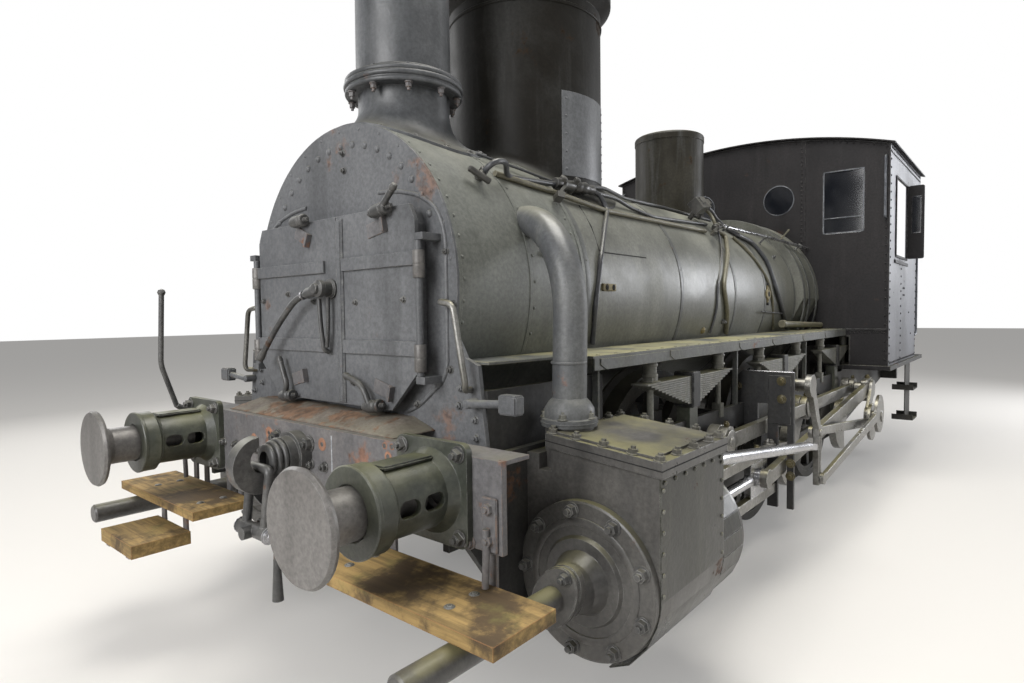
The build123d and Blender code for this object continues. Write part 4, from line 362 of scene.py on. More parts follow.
BLACK = (0.03, 0.03, 0.031)
FINISHES: dict[str, AgedMetal | OldPlank | PaneGlass] = {finish.name: finish for finish in (
    AgedMetal(
        "frame_black", "black_paint", BLACK, (0.048, 0.046, 0.04), run=(0.1, 0.1, 0.09), rust=0.28,
        rust_colour=(0.12, 0.065, 0.04), dusty=0.6, dust=(0.12, 0.115, 0.06), gloss=0.35,
    ),
    AgedMetal(
        "front_grey", "black_paint", (0.092, 0.095, 0.101), (0.119, 0.122, 0.128), 1.4, (0.17, 0.17, 0.175),
        0.25, rust=0.4, rust_scale=2.3, rust_colour=(0.21, 0.135, 0.105), rough=(0.4, 0.6), wear=0.6,
    ),
    AgedMetal(
        "beam_grey", "black_paint", (0.122, 0.119, 0.123), (0.155, 0.144, 0.14), 2.4, (0.18, 0.17, 0.165),
        0.3, rust=0.42, rust_scale=3.2, rust_colour=(0.27, 0.135, 0.085), rough=(0.4, 0.62), wear=0.9,
        wear_colour=(0.3, 0.2, 0.15),
    ),
    AgedMetal(
        "boiler_grey", "boiler_paint", (0.099, 0.101, 0.086), (0.147, 0.149, 0.128), 1.5, (0.22, 0.225, 0.2),
        0.4, rust=0.12, dust=(0.25, 0.25, 0.2), dusty=0.75, rough=(0.34, 0.58), wear=0.3,
    ),
    AgedMetal(
        "smokebox_grey", "black_paint", (0.104, 0.11, 0.097), (0.152, 0.158, 0.141), 1.7, (0.2, 0.205, 0.185),
        0.35, rust=0.15, dust=(0.25, 0.25, 0.205), dusty=0.65, rough=(0.38, 0.6), wear=0.5,
    ),
    AgedMetal(
        "chimney_black", "black_paint", (0.055, 0.058, 0.062), (0.09, 0.094, 0.1), 3.0, (0.14, 0.145, 0.15),
        0.35, rust=0.22, rust_colour=(0.16, 0.1, 0.075), rough=(0.36, 0.6), grain=0.7,
    ),
    AgedMetal(
        "dome_black", "boiler_paint", (0.0085, 0.0072, 0.005), (0.02, 0.0195, 0.0175), 2.2,
        (0.065, 0.066, 0.064), 0.35, rust=0.3, rust_colour=(0.03, 0.016, 0.006), dust=(0.14, 0.14, 0.115),
        dusty=0.7, rough=(0.42, 0.6), gloss=0.18,
    ),
    AgedMetal(
        "pipe_grey", "cast_iron", (0.072, 0.075, 0.08), (0.105, 0.108, 0.108), 2.6, (0.2, 0.2, 0.18), 0.4,
        rust=0.22, rust_colour=(0.2, 0.11, 0.085), dust=(0.24, 0.235, 0.17), dusty=0.5, rough=(0.32, 0.55),
    ),
    AgedMetal(
        "cylinder_black", "cast_iron", (0.058, 0.056, 0.054), (0.088, 0.084, 0.078), 2.2, (0.15, 0.145, 0.13),
        0.35, rust=0.26, rust_colour=(0.13, 0.075, 0.055), dust=(0.21, 0.195, 0.1), dusty=0.85,
        rough=(0.26, 0.52), wear=0.7,
    ),
    AgedMetal(
        "casting_green", "cast_iron", (0.04, 0.044, 0.036), (0.07, 0.074, 0.056), 4.0, (0.13, 0.13, 0.08),
        0.35, rust=0.16, rust_colour=(0.12, 0.06, 0.035), dust=(0.17, 0.165, 0.07), dusty=0.6,
        rough=(0.28, 0.5), grain=0.6,
    ),
    AgedMetal(
        "buffer_steel", "worn_steel", (0.136, 0.128, 0.122), (0.168, 0.16, 0.153), 2.6, (0.25, 0.24, 0.23),
        0.3, rust=0.2, rust_colour=(0.17, 0.11, 0.085), dusty=0.2, rough=(0.36, 0.52), metallic=0.35,
        wear=0.4, grain=0.2,
    ),
    AgedMetal(
        "dull_steel", "worn_steel", (0.06, 0.06, 0.06), (0.1, 0.098, 0.094), 6.0, (0.17, 0.16, 0.15), 0.35,
        rust=0.3, rust_colour=(0.15, 0.085, 0.055), rough=(0.34, 0.55), metallic=0.25, wear=1.0,
    ),
    AgedMetal(
        "spring_steel", "worn_steel", (0.13, 0.13, 0.112), (0.18, 0.178, 0.155), 5.0, (0.24, 0.235, 0.2), 0.4,
        rust=0.18, rust_colour=(0.16, 0.12, 0.06), dust=(0.24, 0.22, 0.11), dusty=0.8, rough=(0.4, 0.62),
        metallic=0.2,
    ),
    AgedMetal(
        "stud_steel", "worn_steel", (0.075, 0.072, 0.062), (0.115, 0.11, 0.095), 6.0, (0.18, 0.175, 0.15),
        0.35, rust=0.22, rust_colour=(0.13, 0.085, 0.045), dust=(0.2, 0.19, 0.11), dusty=0.6,
        rough=(0.36, 0.56), metallic=0.2,
    ),
    AgedMetal(
        "bright_steel", "motion_steel", (0.36, 0.36, 0.375), (0.46, 0.46, 0.475), 3.0, (0.26, 0.255, 0.25),
        0.25, rough=(0.18, 0.3), dusty=0.15, metallic=0.9, wear=0.0, grain=0.02, rust=0.06,
        rust_colour=(0.2, 0.14, 0.08),
    ),
    AgedMetal(
        "rod_steel", "motion_steel", (0.15, 0.145, 0.13), (0.26, 0.255, 0.24), 3.4, (0.36, 0.35, 0.33), 0.4,
        rust=0.25, rust_colour=(0.17, 0.13, 0.05), dust=(0.26, 0.23, 0.1), dusty=0.8, rough=(0.26, 0.48),
        metallic=0.7, wear=1.0, wear_colour=(0.62, 0.61, 0.59), edge=0.006,
    ),
    AgedMetal(
        "oily_steel", "motion_steel", (0.095, 0.08, 0.04), (0.15, 0.13, 0.07), 4.0, (0.2, 0.17, 0.08), 0.3,
        rough=(0.22, 0.4), dusty=0.2, metallic=0.6, wear=0.4,
    ),
    AgedMetal(
        "wheel_black", "wheel_steel", (0.026, 0.025, 0.022), (0.045, 0.042, 0.036), 3.0, (0.1, 0.09, 0.06),
        0.3, rust=0.3, rust_colour=(0.08, 0.048, 0.03), dusty=0.5, wear=0.8, gloss=0.35,
    ),
    AgedMetal(
        "cab_black", "black_paint", (0.014, 0.013, 0.014), (0.022, 0.0205, 0.0215), 1.4,
        (0.045, 0.042, 0.043), 0.25, rust=0.2, rust_colour=(0.05, 0.03, 0.022), dusty=0.4, rough=(0.46, 0.66),
        wear=0.4, gloss=0.2,
    ),
    AgedMetal(
        "cab_side_grey", "black_paint", (0.129, 0.135, 0.157), (0.173, 0.179, 0.207), 1.6,
        (0.24, 0.245, 0.27), 0.55, rust=0.1, rough=(0.26, 0.46), wear=0.6,
    ),
    AgedMetal(
        "board_dusty", "black_paint", (0.082, 0.086, 0.082), (0.115, 0.118, 0.108), 3.0, (0.2, 0.2, 0.17),
        0.35, rust=0.2, dust=(0.3, 0.28, 0.15), dusty=0.95, rough=(0.45, 0.7), wear=1.0,
        wear_colour=(0.3, 0.28, 0.19),
    ),
    AgedMetal(
        "crusted_ledge", "black_paint", (0.12, 0.098, 0.078), (0.17, 0.148, 0.122), 7.0, (0.22, 0.19, 0.16),
        0.35, rust=0.62, rust_scale=5.0, rust_colour=(0.2, 0.11, 0.062), dusty=0.6, rough=(0.7, 0.9),
        grain=1.0, wear=0.0,
    ),
    AgedMetal(
        "primer_orange", "black_paint", (0.3, 0.155, 0.095), (0.22, 0.11, 0.07), 9.0, (0.32, 0.2, 0.14), 0.3,
        rust=0.4, rust_scale=9.0, rust_colour=(0.2, 0.09, 0.05), rough=(0.6, 0.8), wear=0.0, dusty=0.0,
    ),
    AgedMetal(
        "chalk_white", "black_paint", (0.42, 0.43, 0.45), (0.26, 0.27, 0.29), 22.0, rough=(0.7, 0.9),
        wear=0.0,
    ),
    AgedMetal(
        "shadow_gap", "black_paint", (0.008, 0.008, 0.008), (0.016, 0.015, 0.014), 9.0, rough=(0.8, 0.9),
        wear=0.0, dusty=0.0, runs=0.0,
    ),
    AgedMetal(
        "cylinder_sheet", "cast_iron", (0.017, 0.0175, 0.0145), (0.032, 0.032, 0.026), 1.8, (0.1, 0.1, 0.075),
        0.4, rust=0.16, rust_colour=(0.07, 0.042, 0.03), dust=(0.16, 0.15, 0.07), dusty=0.45,
        rough=(0.24, 0.42), wear=0.8, grain=0.5, gloss=0.35,
    ),
    AgedMetal(
        "pipe_black", "cast_iron", (0.036, 0.037, 0.042), (0.062, 0.064, 0.07), 4.0, (0.15, 0.15, 0.15), 0.3,
        rust=0.15, rust_colour=(0.12, 0.07, 0.05), rough=(0.26, 0.46), dusty=0.6,
    ),
    AgedMetal(
        "pipe_olive", "cast_iron", (0.115, 0.105, 0.068), (0.15, 0.14, 0.098), 5.0, (0.22, 0.21, 0.16), 0.35,
        rust=0.2, rust_colour=(0.16, 0.1, 0.06), rough=(0.4, 0.62), dusty=0.7,
    ),
    AgedMetal(
        "bright_rail", "motion_steel", (0.4, 0.4, 0.41), (0.52, 0.52, 0.53), 6.0, (0.26, 0.25, 0.23), 0.3,
        rust=0.1, rust_colour=(0.18, 0.12, 0.07), rough=(0.2, 0.34), dusty=0.1, metallic=0.85, wear=0.0,
        grain=0.03,
    ),
    AgedMetal(
        "dome_patch", "boiler_paint", (0.088, 0.092, 0.098), (0.12, 0.125, 0.132), 3.0, (0.17, 0.175, 0.18),
        0.4, rust=0.1, rust_colour=(0.1, 0.075, 0.055), rough=(0.36, 0.54), dusty=0.5,
    ),
    AgedMetal(
        "band_grey", "boiler_paint", (0.06, 0.062, 0.06), (0.1, 0.104, 0.096), 2.2, (0.16, 0.165, 0.15), 0.35,
        rust=0.15, dust=(0.22, 0.22, 0.18), dusty=0.6, rough=(0.34, 0.56), wear=0.5,
    ),
    AgedMetal(
        "valve_black", "cast_iron", (0.026, 0.025, 0.023), (0.048, 0.046, 0.04), 7.0, (0.12, 0.115, 0.1),
        0.35, rust=0.2, rust_colour=(0.1, 0.065, 0.03), dust=(0.2, 0.19, 0.14), dusty=0.5, rough=(0.28, 0.48),
        wear=0.6,
    ),
    AgedMetal(
        "bracket_ochre", "cast_iron", (0.23, 0.185, 0.08), (0.15, 0.125, 0.06), 9.0, (0.3, 0.27, 0.16), 0.3,
        rust=0.25, rust_colour=(0.11, 0.07, 0.03), rough=(0.55, 0.75), wear=0.3, dusty=0.6,
    ),
    AgedMetal(
        "sandbox_brown", "boiler_paint", (0.016, 0.0135, 0.007), (0.034, 0.031, 0.022), 3.4,
        (0.15, 0.155, 0.16), 0.6, rust=0.28, rust_colour=(0.06, 0.036, 0.014), dust=(0.16, 0.15, 0.1),
        dusty=0.6, rough=(0.38, 0.58), grain=0.5, gloss=0.32,
    ),
    AgedMetal(
        "frame_trim", "worn_steel", (0.06, 0.065, 0.075), (0.15, 0.16, 0.18), 8.0, rough=(0.3, 0.5),
        metallic=0.3, wear=0.8,
    ),
)}
FINISHES |= {"plank": OldPlank(), "pane": PaneGlass()}
CAD_FINISHES: dict[str, str] = {key: finish for finish, keys in (
    (
        "frame_black",
        ("ashpan", "cab_floor", "cab_steps", "drag_beam", "frame", "motion_plates", "smokebox_saddle"),
    ),
    ("rod_steel", ("axle_", "back_gear", "coupling_rod", "expansion", "fore_gear", "main_rod", "slide")),
    ("cab_black", ("cab_front", "cab_roof", "draught")),
    ("casting_green", ("axle_boxes", "buffer_housings")),
    ("boiler_grey", ("boiler_barrel", "firebox")),
    ("bright_steel", ("crosshead", "valve")),
    ("dull_steel", ("draw_hook", "screw")),
    ("spring_steel", ("leaf_springs", "spring_hangers")),
    ("front_grey", ("smokebox_front", "smokebox_door")),
    ("beam_grey", ("buffer_beam",)),
    ("pipe_black", ("boiler_pipes",)),
    ("buffer_steel", ("buffer_plungers",)),
    ("cab_side_grey", ("cab_side",)),
    ("chimney_black", ("chimney",)),
    ("cylinder_black", ("cylinder",)),
    ("plank", ("front_planks",)),
    ("bright_rail", ("handrails",)),
    ("board_dusty", ("running",)),
    ("sandbox_brown", ("sandbox",)),
    ("smokebox_grey", ("smokebox",)),
    ("dome_black", ("steam_dome",)),
    ("pipe_grey", ("steam_pipes",)),
    ("wheel_black", ("wheels",)),
) for key in keys}


class PaintShop:
    """Builds each finish once and hands it out."""

    def __init__(self) -> None:
        """Starts with no material built."""
        self.built: dict[str, Material] = {}

    def get(self, name: str) -> Material:
        """The material of this name, built at its first use."""
        if name not in self.built:
            self.built[name] = FINISHES[name].build()
        return self.built[name]

    def slot(self, name: str) -> str:
        """The material slot of a finish."""
        return FINISHES[name].slot

    def coat_frame(self, nodes: dict[str, bpy.types.Object]) -> None:
        """Gives every CAD node the finish whose key its name starts with."""
        for name, node in nodes.items():
            keys = [key for key in CAD_FINISHES if name.startswith(key)]
            material = self.get(CAD_FINISHES[max(keys, key=len)] if keys else "frame_black")
            node.data.materials.clear()
            node.data.materials.append(material)


SHOP = PaintShop()


# Mesh building


def around(radius: float, angles: Iterable[float]) -> list[tuple[float, float]]:
    """Points of a circle, as across and up, at angles in degrees."""
    return [(radius * cos(radians(angle)), radius * sin(radians(angle))) for angle in angles]


def bead(start: float, half: float, radius: float, rise: float) -> list[tuple[float, float]]:
    """Half-round bead of a turned profile, from its start, half width, foot radius and rise."""
    turns = [pi * step / 6 for step in range(7)]
    return [(start + half * (1 - cos(turn)), radius + rise * sin(turn)) for turn in turns]


def frame_of(direction: Vector) -> Matrix:
    """Rotation that turns +Z to a direction."""
    return direction.normalized().to_track_quat("Z", "Y").to_matrix()


def eased(points: Sequence[Vector], bend: float) -> list[Vector]:
    """Rounds the corners of a path.

    Args:
        points: The path's corners.
        bend: Distance from a corner at which its arc starts.

    Returns:
        The path with short runs in place of each corner.
    """
    path = [points[0]]
    for before, corner, after in zip(points, points[1:], points[2:]):
        reach = min(bend, (before - corner).length * 0.45, (after - corner).length * 0.45)
        start = corner + (before - corner).normalized() * reach
        end = corner + (after - corner).normalized() * reach
        for step in range(7):
            t = step / 6
            path.append(start * (1 - t) ** 2 + corner * 2 * t * (1 - t) + end * t * t)
    path.append(points[-1])
    return path


class Shell:
    """Collects closed forms into one mesh."""

    def __init__(self) -> None:
        """Starts an empty mesh."""
        self.mesh = bmesh.new()

    def ring(self, centre: Vector, turn: Matrix, radius: float, steps: int) -> list[bmesh.types.BMVert]:
        """A ring of points, or one point where the radius is nothing."""
        if radius < 1e-6:
            return [self.mesh.verts.new(centre)]
        found = []
        for step in range(steps):
            angle = 2 * pi * step / steps
            local = Vector((radius * cos(angle), radius * sin(angle), 0.0))
            found.append(self.mesh.verts.new(centre + turn @ local))
        return found

    def bridge(self, first: list[bmesh.types.BMVert], second: list[bmesh.types.BMVert]) -> None:
        """Faces between two rings."""
        count = max(len(first), len(second))
        for step in range(count):
            after = (step + 1) % count
            corners = [
                first[step % len(first)], first[after % len(first)], second[after % len(second)],
                second[step % len(second)],
            ]
            unique = list(dict.fromkeys(corners))
            if len(unique) > 2:
                self.mesh.faces.new(unique)

    def lathe(self, profile: Profile, origin: Place, axis: Place, steps: int = 32) -> "Shell":
        """Body of revolution.

        Args:
            profile: Pairs of distance along the axis and radius, closed unless they end at the axis.
            origin: Where distance 0 lies.
            axis: Direction of the axis.
            steps: Points around.

        Returns:
            This shell.
        """
        start, turn = Vector(origin), frame_of(Vector(axis))
        along = turn @ Vector((0.0, 0.0, 1.0))
        rings = [self.ring(start + along * place, turn, radius, steps) for place, radius in profile]
        for first, second in zip(rings, rings[1:]):
            self.bridge(first, second)
        if len(rings[0]) > 1 or len(rings[-1]) > 1:
            self.bridge(rings[-1], rings[0])
        return self

    def rod(self, start: Place, end: Place, radius: float, steps: int = 16, ease: float = 0.0) -> "Shell":
        """Straight round bar with eased ends."""
        first, last = Vector(start), Vector(end)
        length = (last - first).length
        ease = min(ease, radius * 0.6)
        profile = [
            (0.0, 0.0), (0.0, radius - ease), (ease, radius), (length - ease, radius),
            (length, radius - ease), (length, 0.0),
        ]
        if ease <= 0.0:
            profile = [(0.0, 0.0), (0.0, radius), (length, radius), (length, 0.0)]
        return self.lathe(profile, first, last - first, steps)

    def tube(self, points: Iterable[Place], radius: float, bend: float = 0.0, steps: int = 12) -> "Shell":
        """Round bar along a path with rounded corners."""
        path = [Vector(point) for point in points]
        if bend > 0.0:
            path = eased(path, bend)
        heading = (path[1] - path[0]).normalized()
        turn = frame_of(heading)
        rings = []
        for place, point in enumerate(path):
            before, after = path[max(place - 1, 0)], path[min(place + 1, len(path) - 1)]
            now = (after - before).normalized()
            turn = heading.rotation_difference(now).to_matrix() @ turn
            heading = now
            rings.append(self.ring(point, turn, radius, steps))
        first = [self.mesh.verts.new(path[0])]
        last = [self.mesh.verts.new(path[-1])]
        for one, other in zip([first, *rings], [*rings, last]):
            self.bridge(one, other)
        return self

    def prism(self, outline: Profile, axis: int, low: float, high: float, bevel: float = 0.0) -> "Shell":
        """Plate with a straight-sided outline.

        Args:
            outline: Corners in the two axes that aren't the plate's own, in X, Y, Z order.
            axis: 0, 1 or 2, the axis that the plate is thick along.
            low: Where it starts on that axis.
            high: Where it ends.
            bevel: Width of the eased edges.

        Returns:
            This shell.
        """
        others = [place for place in range(3) if place != axis]
        layers = []
        for level in (low, high):
            layer = []
            for first, second in outline:
                corner = [0.0, 0.0, 0.0]
                corner[axis], corner[others[0]], corner[others[1]] = level, first, second
                layer.append(self.mesh.verts.new(corner))
            layers.append(layer)
        faces = [self.mesh.faces.new(layers[0]), self.mesh.faces.new(layers[1])]
        count = len(outline)
        for step in range(count):
            after = (step + 1) % count
            faces.append(
                self.mesh.faces.new((layers[0][step], layers[0][after], layers[1][after], layers[1][step]))
            )
        if bevel > 0.0:
            edges = list({edge for face in faces for edge in face.edges})
            bmesh.ops.recalc_face_normals(self.mesh, faces=faces)
            bmesh.ops.bevel(
                self.mesh, geom=edges, offset=bevel, segments=2, affect="EDGES", clamp_overlap=True,
            )
        return self

    def block(self, low: Place, high: Place, bevel: float = 0.0) -> "Shell":
        """Square block between two corners."""
        outline = ((low[1], low[2]), (high[1], low[2]), (high[1], high[2]), (low[1], high[2]))
        return self.prism(outline, 0, low[0], high[0], bevel)

    def slab(self, low: Place, high: Place, bevel: float = 0.0, side: int = 1) -> "Shell":
        """Square block between two corners in millimetres, on one side of the locomotive."""
        first, last = mm(*low), mm(*high)
        first.y, last.y = sorted((side * first.y, side * last.y))
        return self.block(first, last, bevel)

    def pipe(self, points: Iterable[Place], radius: float, bend: float, steps: int, side: int = 1) -> "Shell":
        """Tube along a path in millimetres, on one side of the locomotive."""
        return self.tube([mm(x, side * y, z) for x, y, z in points], radius, bend, steps)

    def bar(self, start: Place, end: Place, width: float, thick: float, side: Place) -> "Shell":
        """Straight flat bar, its width lying along the given side direction."""
        first, last = Vector(start), Vector(end)
        along = (last - first).normalized()
        across = Vector(side).normalized()
        normal = along.cross(across).normalized()
        corners = []
        for point in (first, last):
            for one, other in ((-1, -1), (1, -1), (1, 1), (-1, 1)):
                corner = point + across * width * 0.5 * one + normal * thick * 0.5 * other
                corners.append(self.mesh.verts.new(corner))
        for face in ((0, 1, 2, 3), (4, 5, 6, 7), (0, 1, 5, 4), (1, 2, 6, 5), (2, 3, 7, 6), (3, 0, 4, 7)):
            self.mesh.faces.new([corners[index] for index in face])
        return self

    def mirrored(self) -> "Shell":
        """Adds a copy on the locomotive's other side."""
        copy = bmesh.ops.duplicate(self.mesh, geom=[*self.mesh.verts, *self.mesh.edges, *self.mesh.faces])
        for vert in (item for item in copy["geom"] if isinstance(item, bmesh.types.BMVert)):
            vert.co.y = -vert.co.y
        return self

    def place(
        self, name: str, finish: str, body: str = ROOT, replaces: Sequence[str] = (), sharp: float = 35.0,
    ) -> bpy.types.Object:
        """Turns the shell into a piece of the locomotive.

        Args:
            name: The piece's name.
            finish: Its finish, a key of FINISHES.
            body: The body that it moves with.
            replaces: CAD nodes that it stands for.
            sharp: Angle in degrees from which an edge stays sharp.

        Returns:
            The new object.
        """
        bmesh.ops.recalc_face_normals(self.mesh, faces=self.mesh.faces)
        data = bpy.data.meshes.new(name)
        self.mesh.to_mesh(data)
        self.mesh.free()
        data.shade_smooth()
        data.set_sharp_from_angle(angle=radians(sharp))
        return settle(data, name, finish, body, replaces)


def linked(name: str, data: bpy.types.ID) -> bpy.types.Object:
    """Makes an object of this name and links it to the scene."""
    piece = bpy.data.objects.new(name, data)
    bpy.context.scene.collection.objects.link(piece)
    return piece


def settle(
    data: bpy.types.Mesh, name: str, finish: str, body: str, replaces: Sequence[str] = (),
) -> bpy.types.Object:
    """Makes a piece from a finished mesh, attaches it to its body and hides the CAD nodes that it replaces.

    Args:
        data: The mesh.
        name: The piece's name.
        finish: Its finish, a key of FINISHES.
        body: The body that it moves with.
        replaces: CAD nodes that it stands for.

    Returns:
        The new object.
    """
    piece = linked(name, data)
    data.materials.clear()
    data.materials.append(SHOP.get(finish))
    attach(piece, body)
    SHOP.slot(finish)
    if replaces:
        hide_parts(*replaces)
    LOG.info("%s: %d faces on %s", name, len(data.polygons), body)
    return piece


# Fasteners


class Head(Enum):
    """Kinds of fastener, with the number of sides of the head."""

    RIVET = 0
    NUT = 6
    SQUARE = 4
    BUTTON = 12


@dataclass
class FastenerRow:
    """Places and outward directions of fasteners of one kind and size."""

    kind: Head
    radius: float
    height: float
    places: list[tuple[Vector, Vector]] = field(default_factory=list)

    def at(self, point: Place, facing: Place) -> "FastenerRow":
        """Adds one fastener."""
        self.places.append((Vector(point), Vector(facing).normalized()))
        return self

    def spots(self, points: Iterable[Place], facing: Place) -> "FastenerRow":
        """Adds one fastener at each point, given in millimetres."""
        for point in points:
            self.at(mm(*point), facing)
        return self

    def line(self, start: Place, end: Place, count: int, facing: Place) -> "FastenerRow":
        """Adds a straight row from start to end."""
        first, last = Vector(start), Vector(end)
        for step in range(count):
            self.at(first.lerp(last, step / max(count - 1, 1)), facing)
        return self

    def girth(self, distance: float, radius: float, angles: Iterable[float]) -> "FastenerRow":
        """Adds a row around the boiler, looking outwards."""
        for angle in angles:
            point = DATUM.on_boiler(distance, angle, radius)
            self.at(point, DATUM.on_boiler(distance, angle, radius + 1.0) - point)
        return self

    def both_sides(self) -> "FastenerRow":
        """Repeats every fastener on the other side of the locomotive."""
        for point, facing in list(self.places):
            self.at((point.x, -point.y, point.z), (facing.x, -facing.y, facing.z))
        return self

    def head_tree(self, finish: str) -> bpy.types.NodeTree:
        """Node tree that sets a head on every point and turns it outwards.

        Args:
            finish: Finish of the heads.

        Returns:
            The node tree, with the head's radius and height as inputs.
        """
        tree = bpy.data.node_groups.new(f"{self.kind.name.lower()}_heads", "GeometryNodeTree")
        for label, way, kind in (
            ("Geometry", "INPUT", "Geometry"), ("Head Radius", "INPUT", "Float"),
            ("Head Height", "INPUT", "Float"), ("Geometry", "OUTPUT", "Geometry"),
        ):
            tree.interface.new_socket(label, in_out=way, socket_type=f"NodeSocket{kind}")
        nodes = Nodes(tree)
        given = nodes.add("NodeGroupInput").outputs
        radius, height = given["Head Radius"], given["Head Height"]
        parts: list[bpy.types.Node] = []
        if self.kind is Head.RIVET:
            ball = nodes.add("GeometryNodeMeshUVSphere", {"Segments": 10, "Rings": 6, "Radius": radius})
            flat = nodes.add(
                "ShaderNodeCombineXYZ", {0: 1.0, 1: 1.0, 2: nodes.math("DIVIDE", height, radius)},
            )
            feeds = {"Geometry": ball.outputs["Mesh"], "Scale": flat.outputs[0]}
            parts.append(nodes.add("GeometryNodeTransform", feeds))
        else:
            for sides, width, tall in ((14, 1.32, 0.2), (self.kind.value, 1.0, 1.0), (8, 0.52, 1.5)):
                wide, deep = nodes.math("MULTIPLY", radius, width), nodes.math("MULTIPLY", height, tall)
                disc = nodes.add(
                    "GeometryNodeMeshCylinder", {"Vertices": sides, "Radius": wide, "Depth": deep},
                )
                lift = nodes.add("ShaderNodeCombineXYZ", {2: nodes.math("MULTIPLY", height, tall / 2)})
                feeds = {"Geometry": disc.outputs["Mesh"], "Translation": lift.outputs[0]}
                parts.append(nodes.add("GeometryNodeTransform", feeds))
        gather = nodes.add("GeometryNodeJoinGeometry")
        for part in parts:
            nodes.feed(gather.inputs[0], part.outputs["Geometry"])
        facing = nodes.add("GeometryNodeInputNamedAttribute", {"Name": "facing"}, data_type="FLOAT_VECTOR")
        feeds = {"Vector": facing.outputs["Attribute"]}
        turn = nodes.add("FunctionNodeAlignRotationToVector", feeds, axis="Z")
        spin = nodes.add("FunctionNodeRandomValue", {3: pi, "Seed": 7}, data_type="FLOAT")
        feeds = {"Axis": (0.0, 0.0, 1.0), "Angle": spin.outputs[1]}
        twist = nodes.add("FunctionNodeAxisAngleToRotation", feeds)
        feeds = {"Rotation": turn.outputs["Rotation"], "Rotate By": twist.outputs["Rotation"]}
        rotate = nodes.add("FunctionNodeRotateRotation", feeds, rotation_space="LOCAL")
        feeds = {
            "Points": given["Geometry"], "Instance": gather.outputs[0],
            "Rotation": rotate.outputs["Rotation"],
        }
        instance = nodes.add("GeometryNodeInstanceOnPoints", feeds)
        real = nodes.add("GeometryNodeRealizeInstances", {"Geometry": instance.outputs["Instances"]})
        feeds = {"Geometry": real.outputs["Geometry"], "Material": SHOP.get(finish)}
        coat = nodes.add("GeometryNodeSetMaterial", feeds)
        nodes.add("NodeGroupOutput", {"Geometry": coat.outputs["Geometry"]})
        return tree

    def place(self, name: str, finish: str, body: str = ROOT) -> bpy.types.Object:
        """Sets the heads on their places as one plain mesh.

        Args:
            name: The piece's name.
            finish: Finish of the heads.
            body: The body that they move with.

        Returns:
            The new object.
        """
        points = bpy.data.meshes.new(name + "_places")
        points.from_pydata([tuple(point) for point, _ in self.places], [], [])
        facing = points.attributes.new("facing", "FLOAT_VECTOR", "POINT")
        for entry, (_, direction) in zip(facing.data, self.places):
            entry.vector = direction
        carrier = linked(name + "_places", points)
        modifier = carrier.modifiers.new("heads", "NODES")
        modifier.node_group = self.head_tree(finish)
        sizes = {"Head Radius": self.radius, "Head Height": self.height}
        for item in modifier.node_group.interface.items_tree:
            if item.item_type == "SOCKET" and item.in_out == "INPUT" and item.name in sizes:
                modifier[item.identifier] = sizes[item.name]
        graph = bpy.context.evaluated_depsgraph_get()
        data = bpy.data.meshes.new_from_object(carrier.evaluated_get(graph), depsgraph=graph)
        bpy.data.objects.remove(carrier)
        data.name = name
        if "facing" in data.attributes:
            data.attributes.remove(data.attributes["facing"])
        data.shade_smooth()
        data.set_sharp_from_angle(angle=SHARP_EDGE)
        return settle(data, name, finish, body)


# Smokebox front and doors


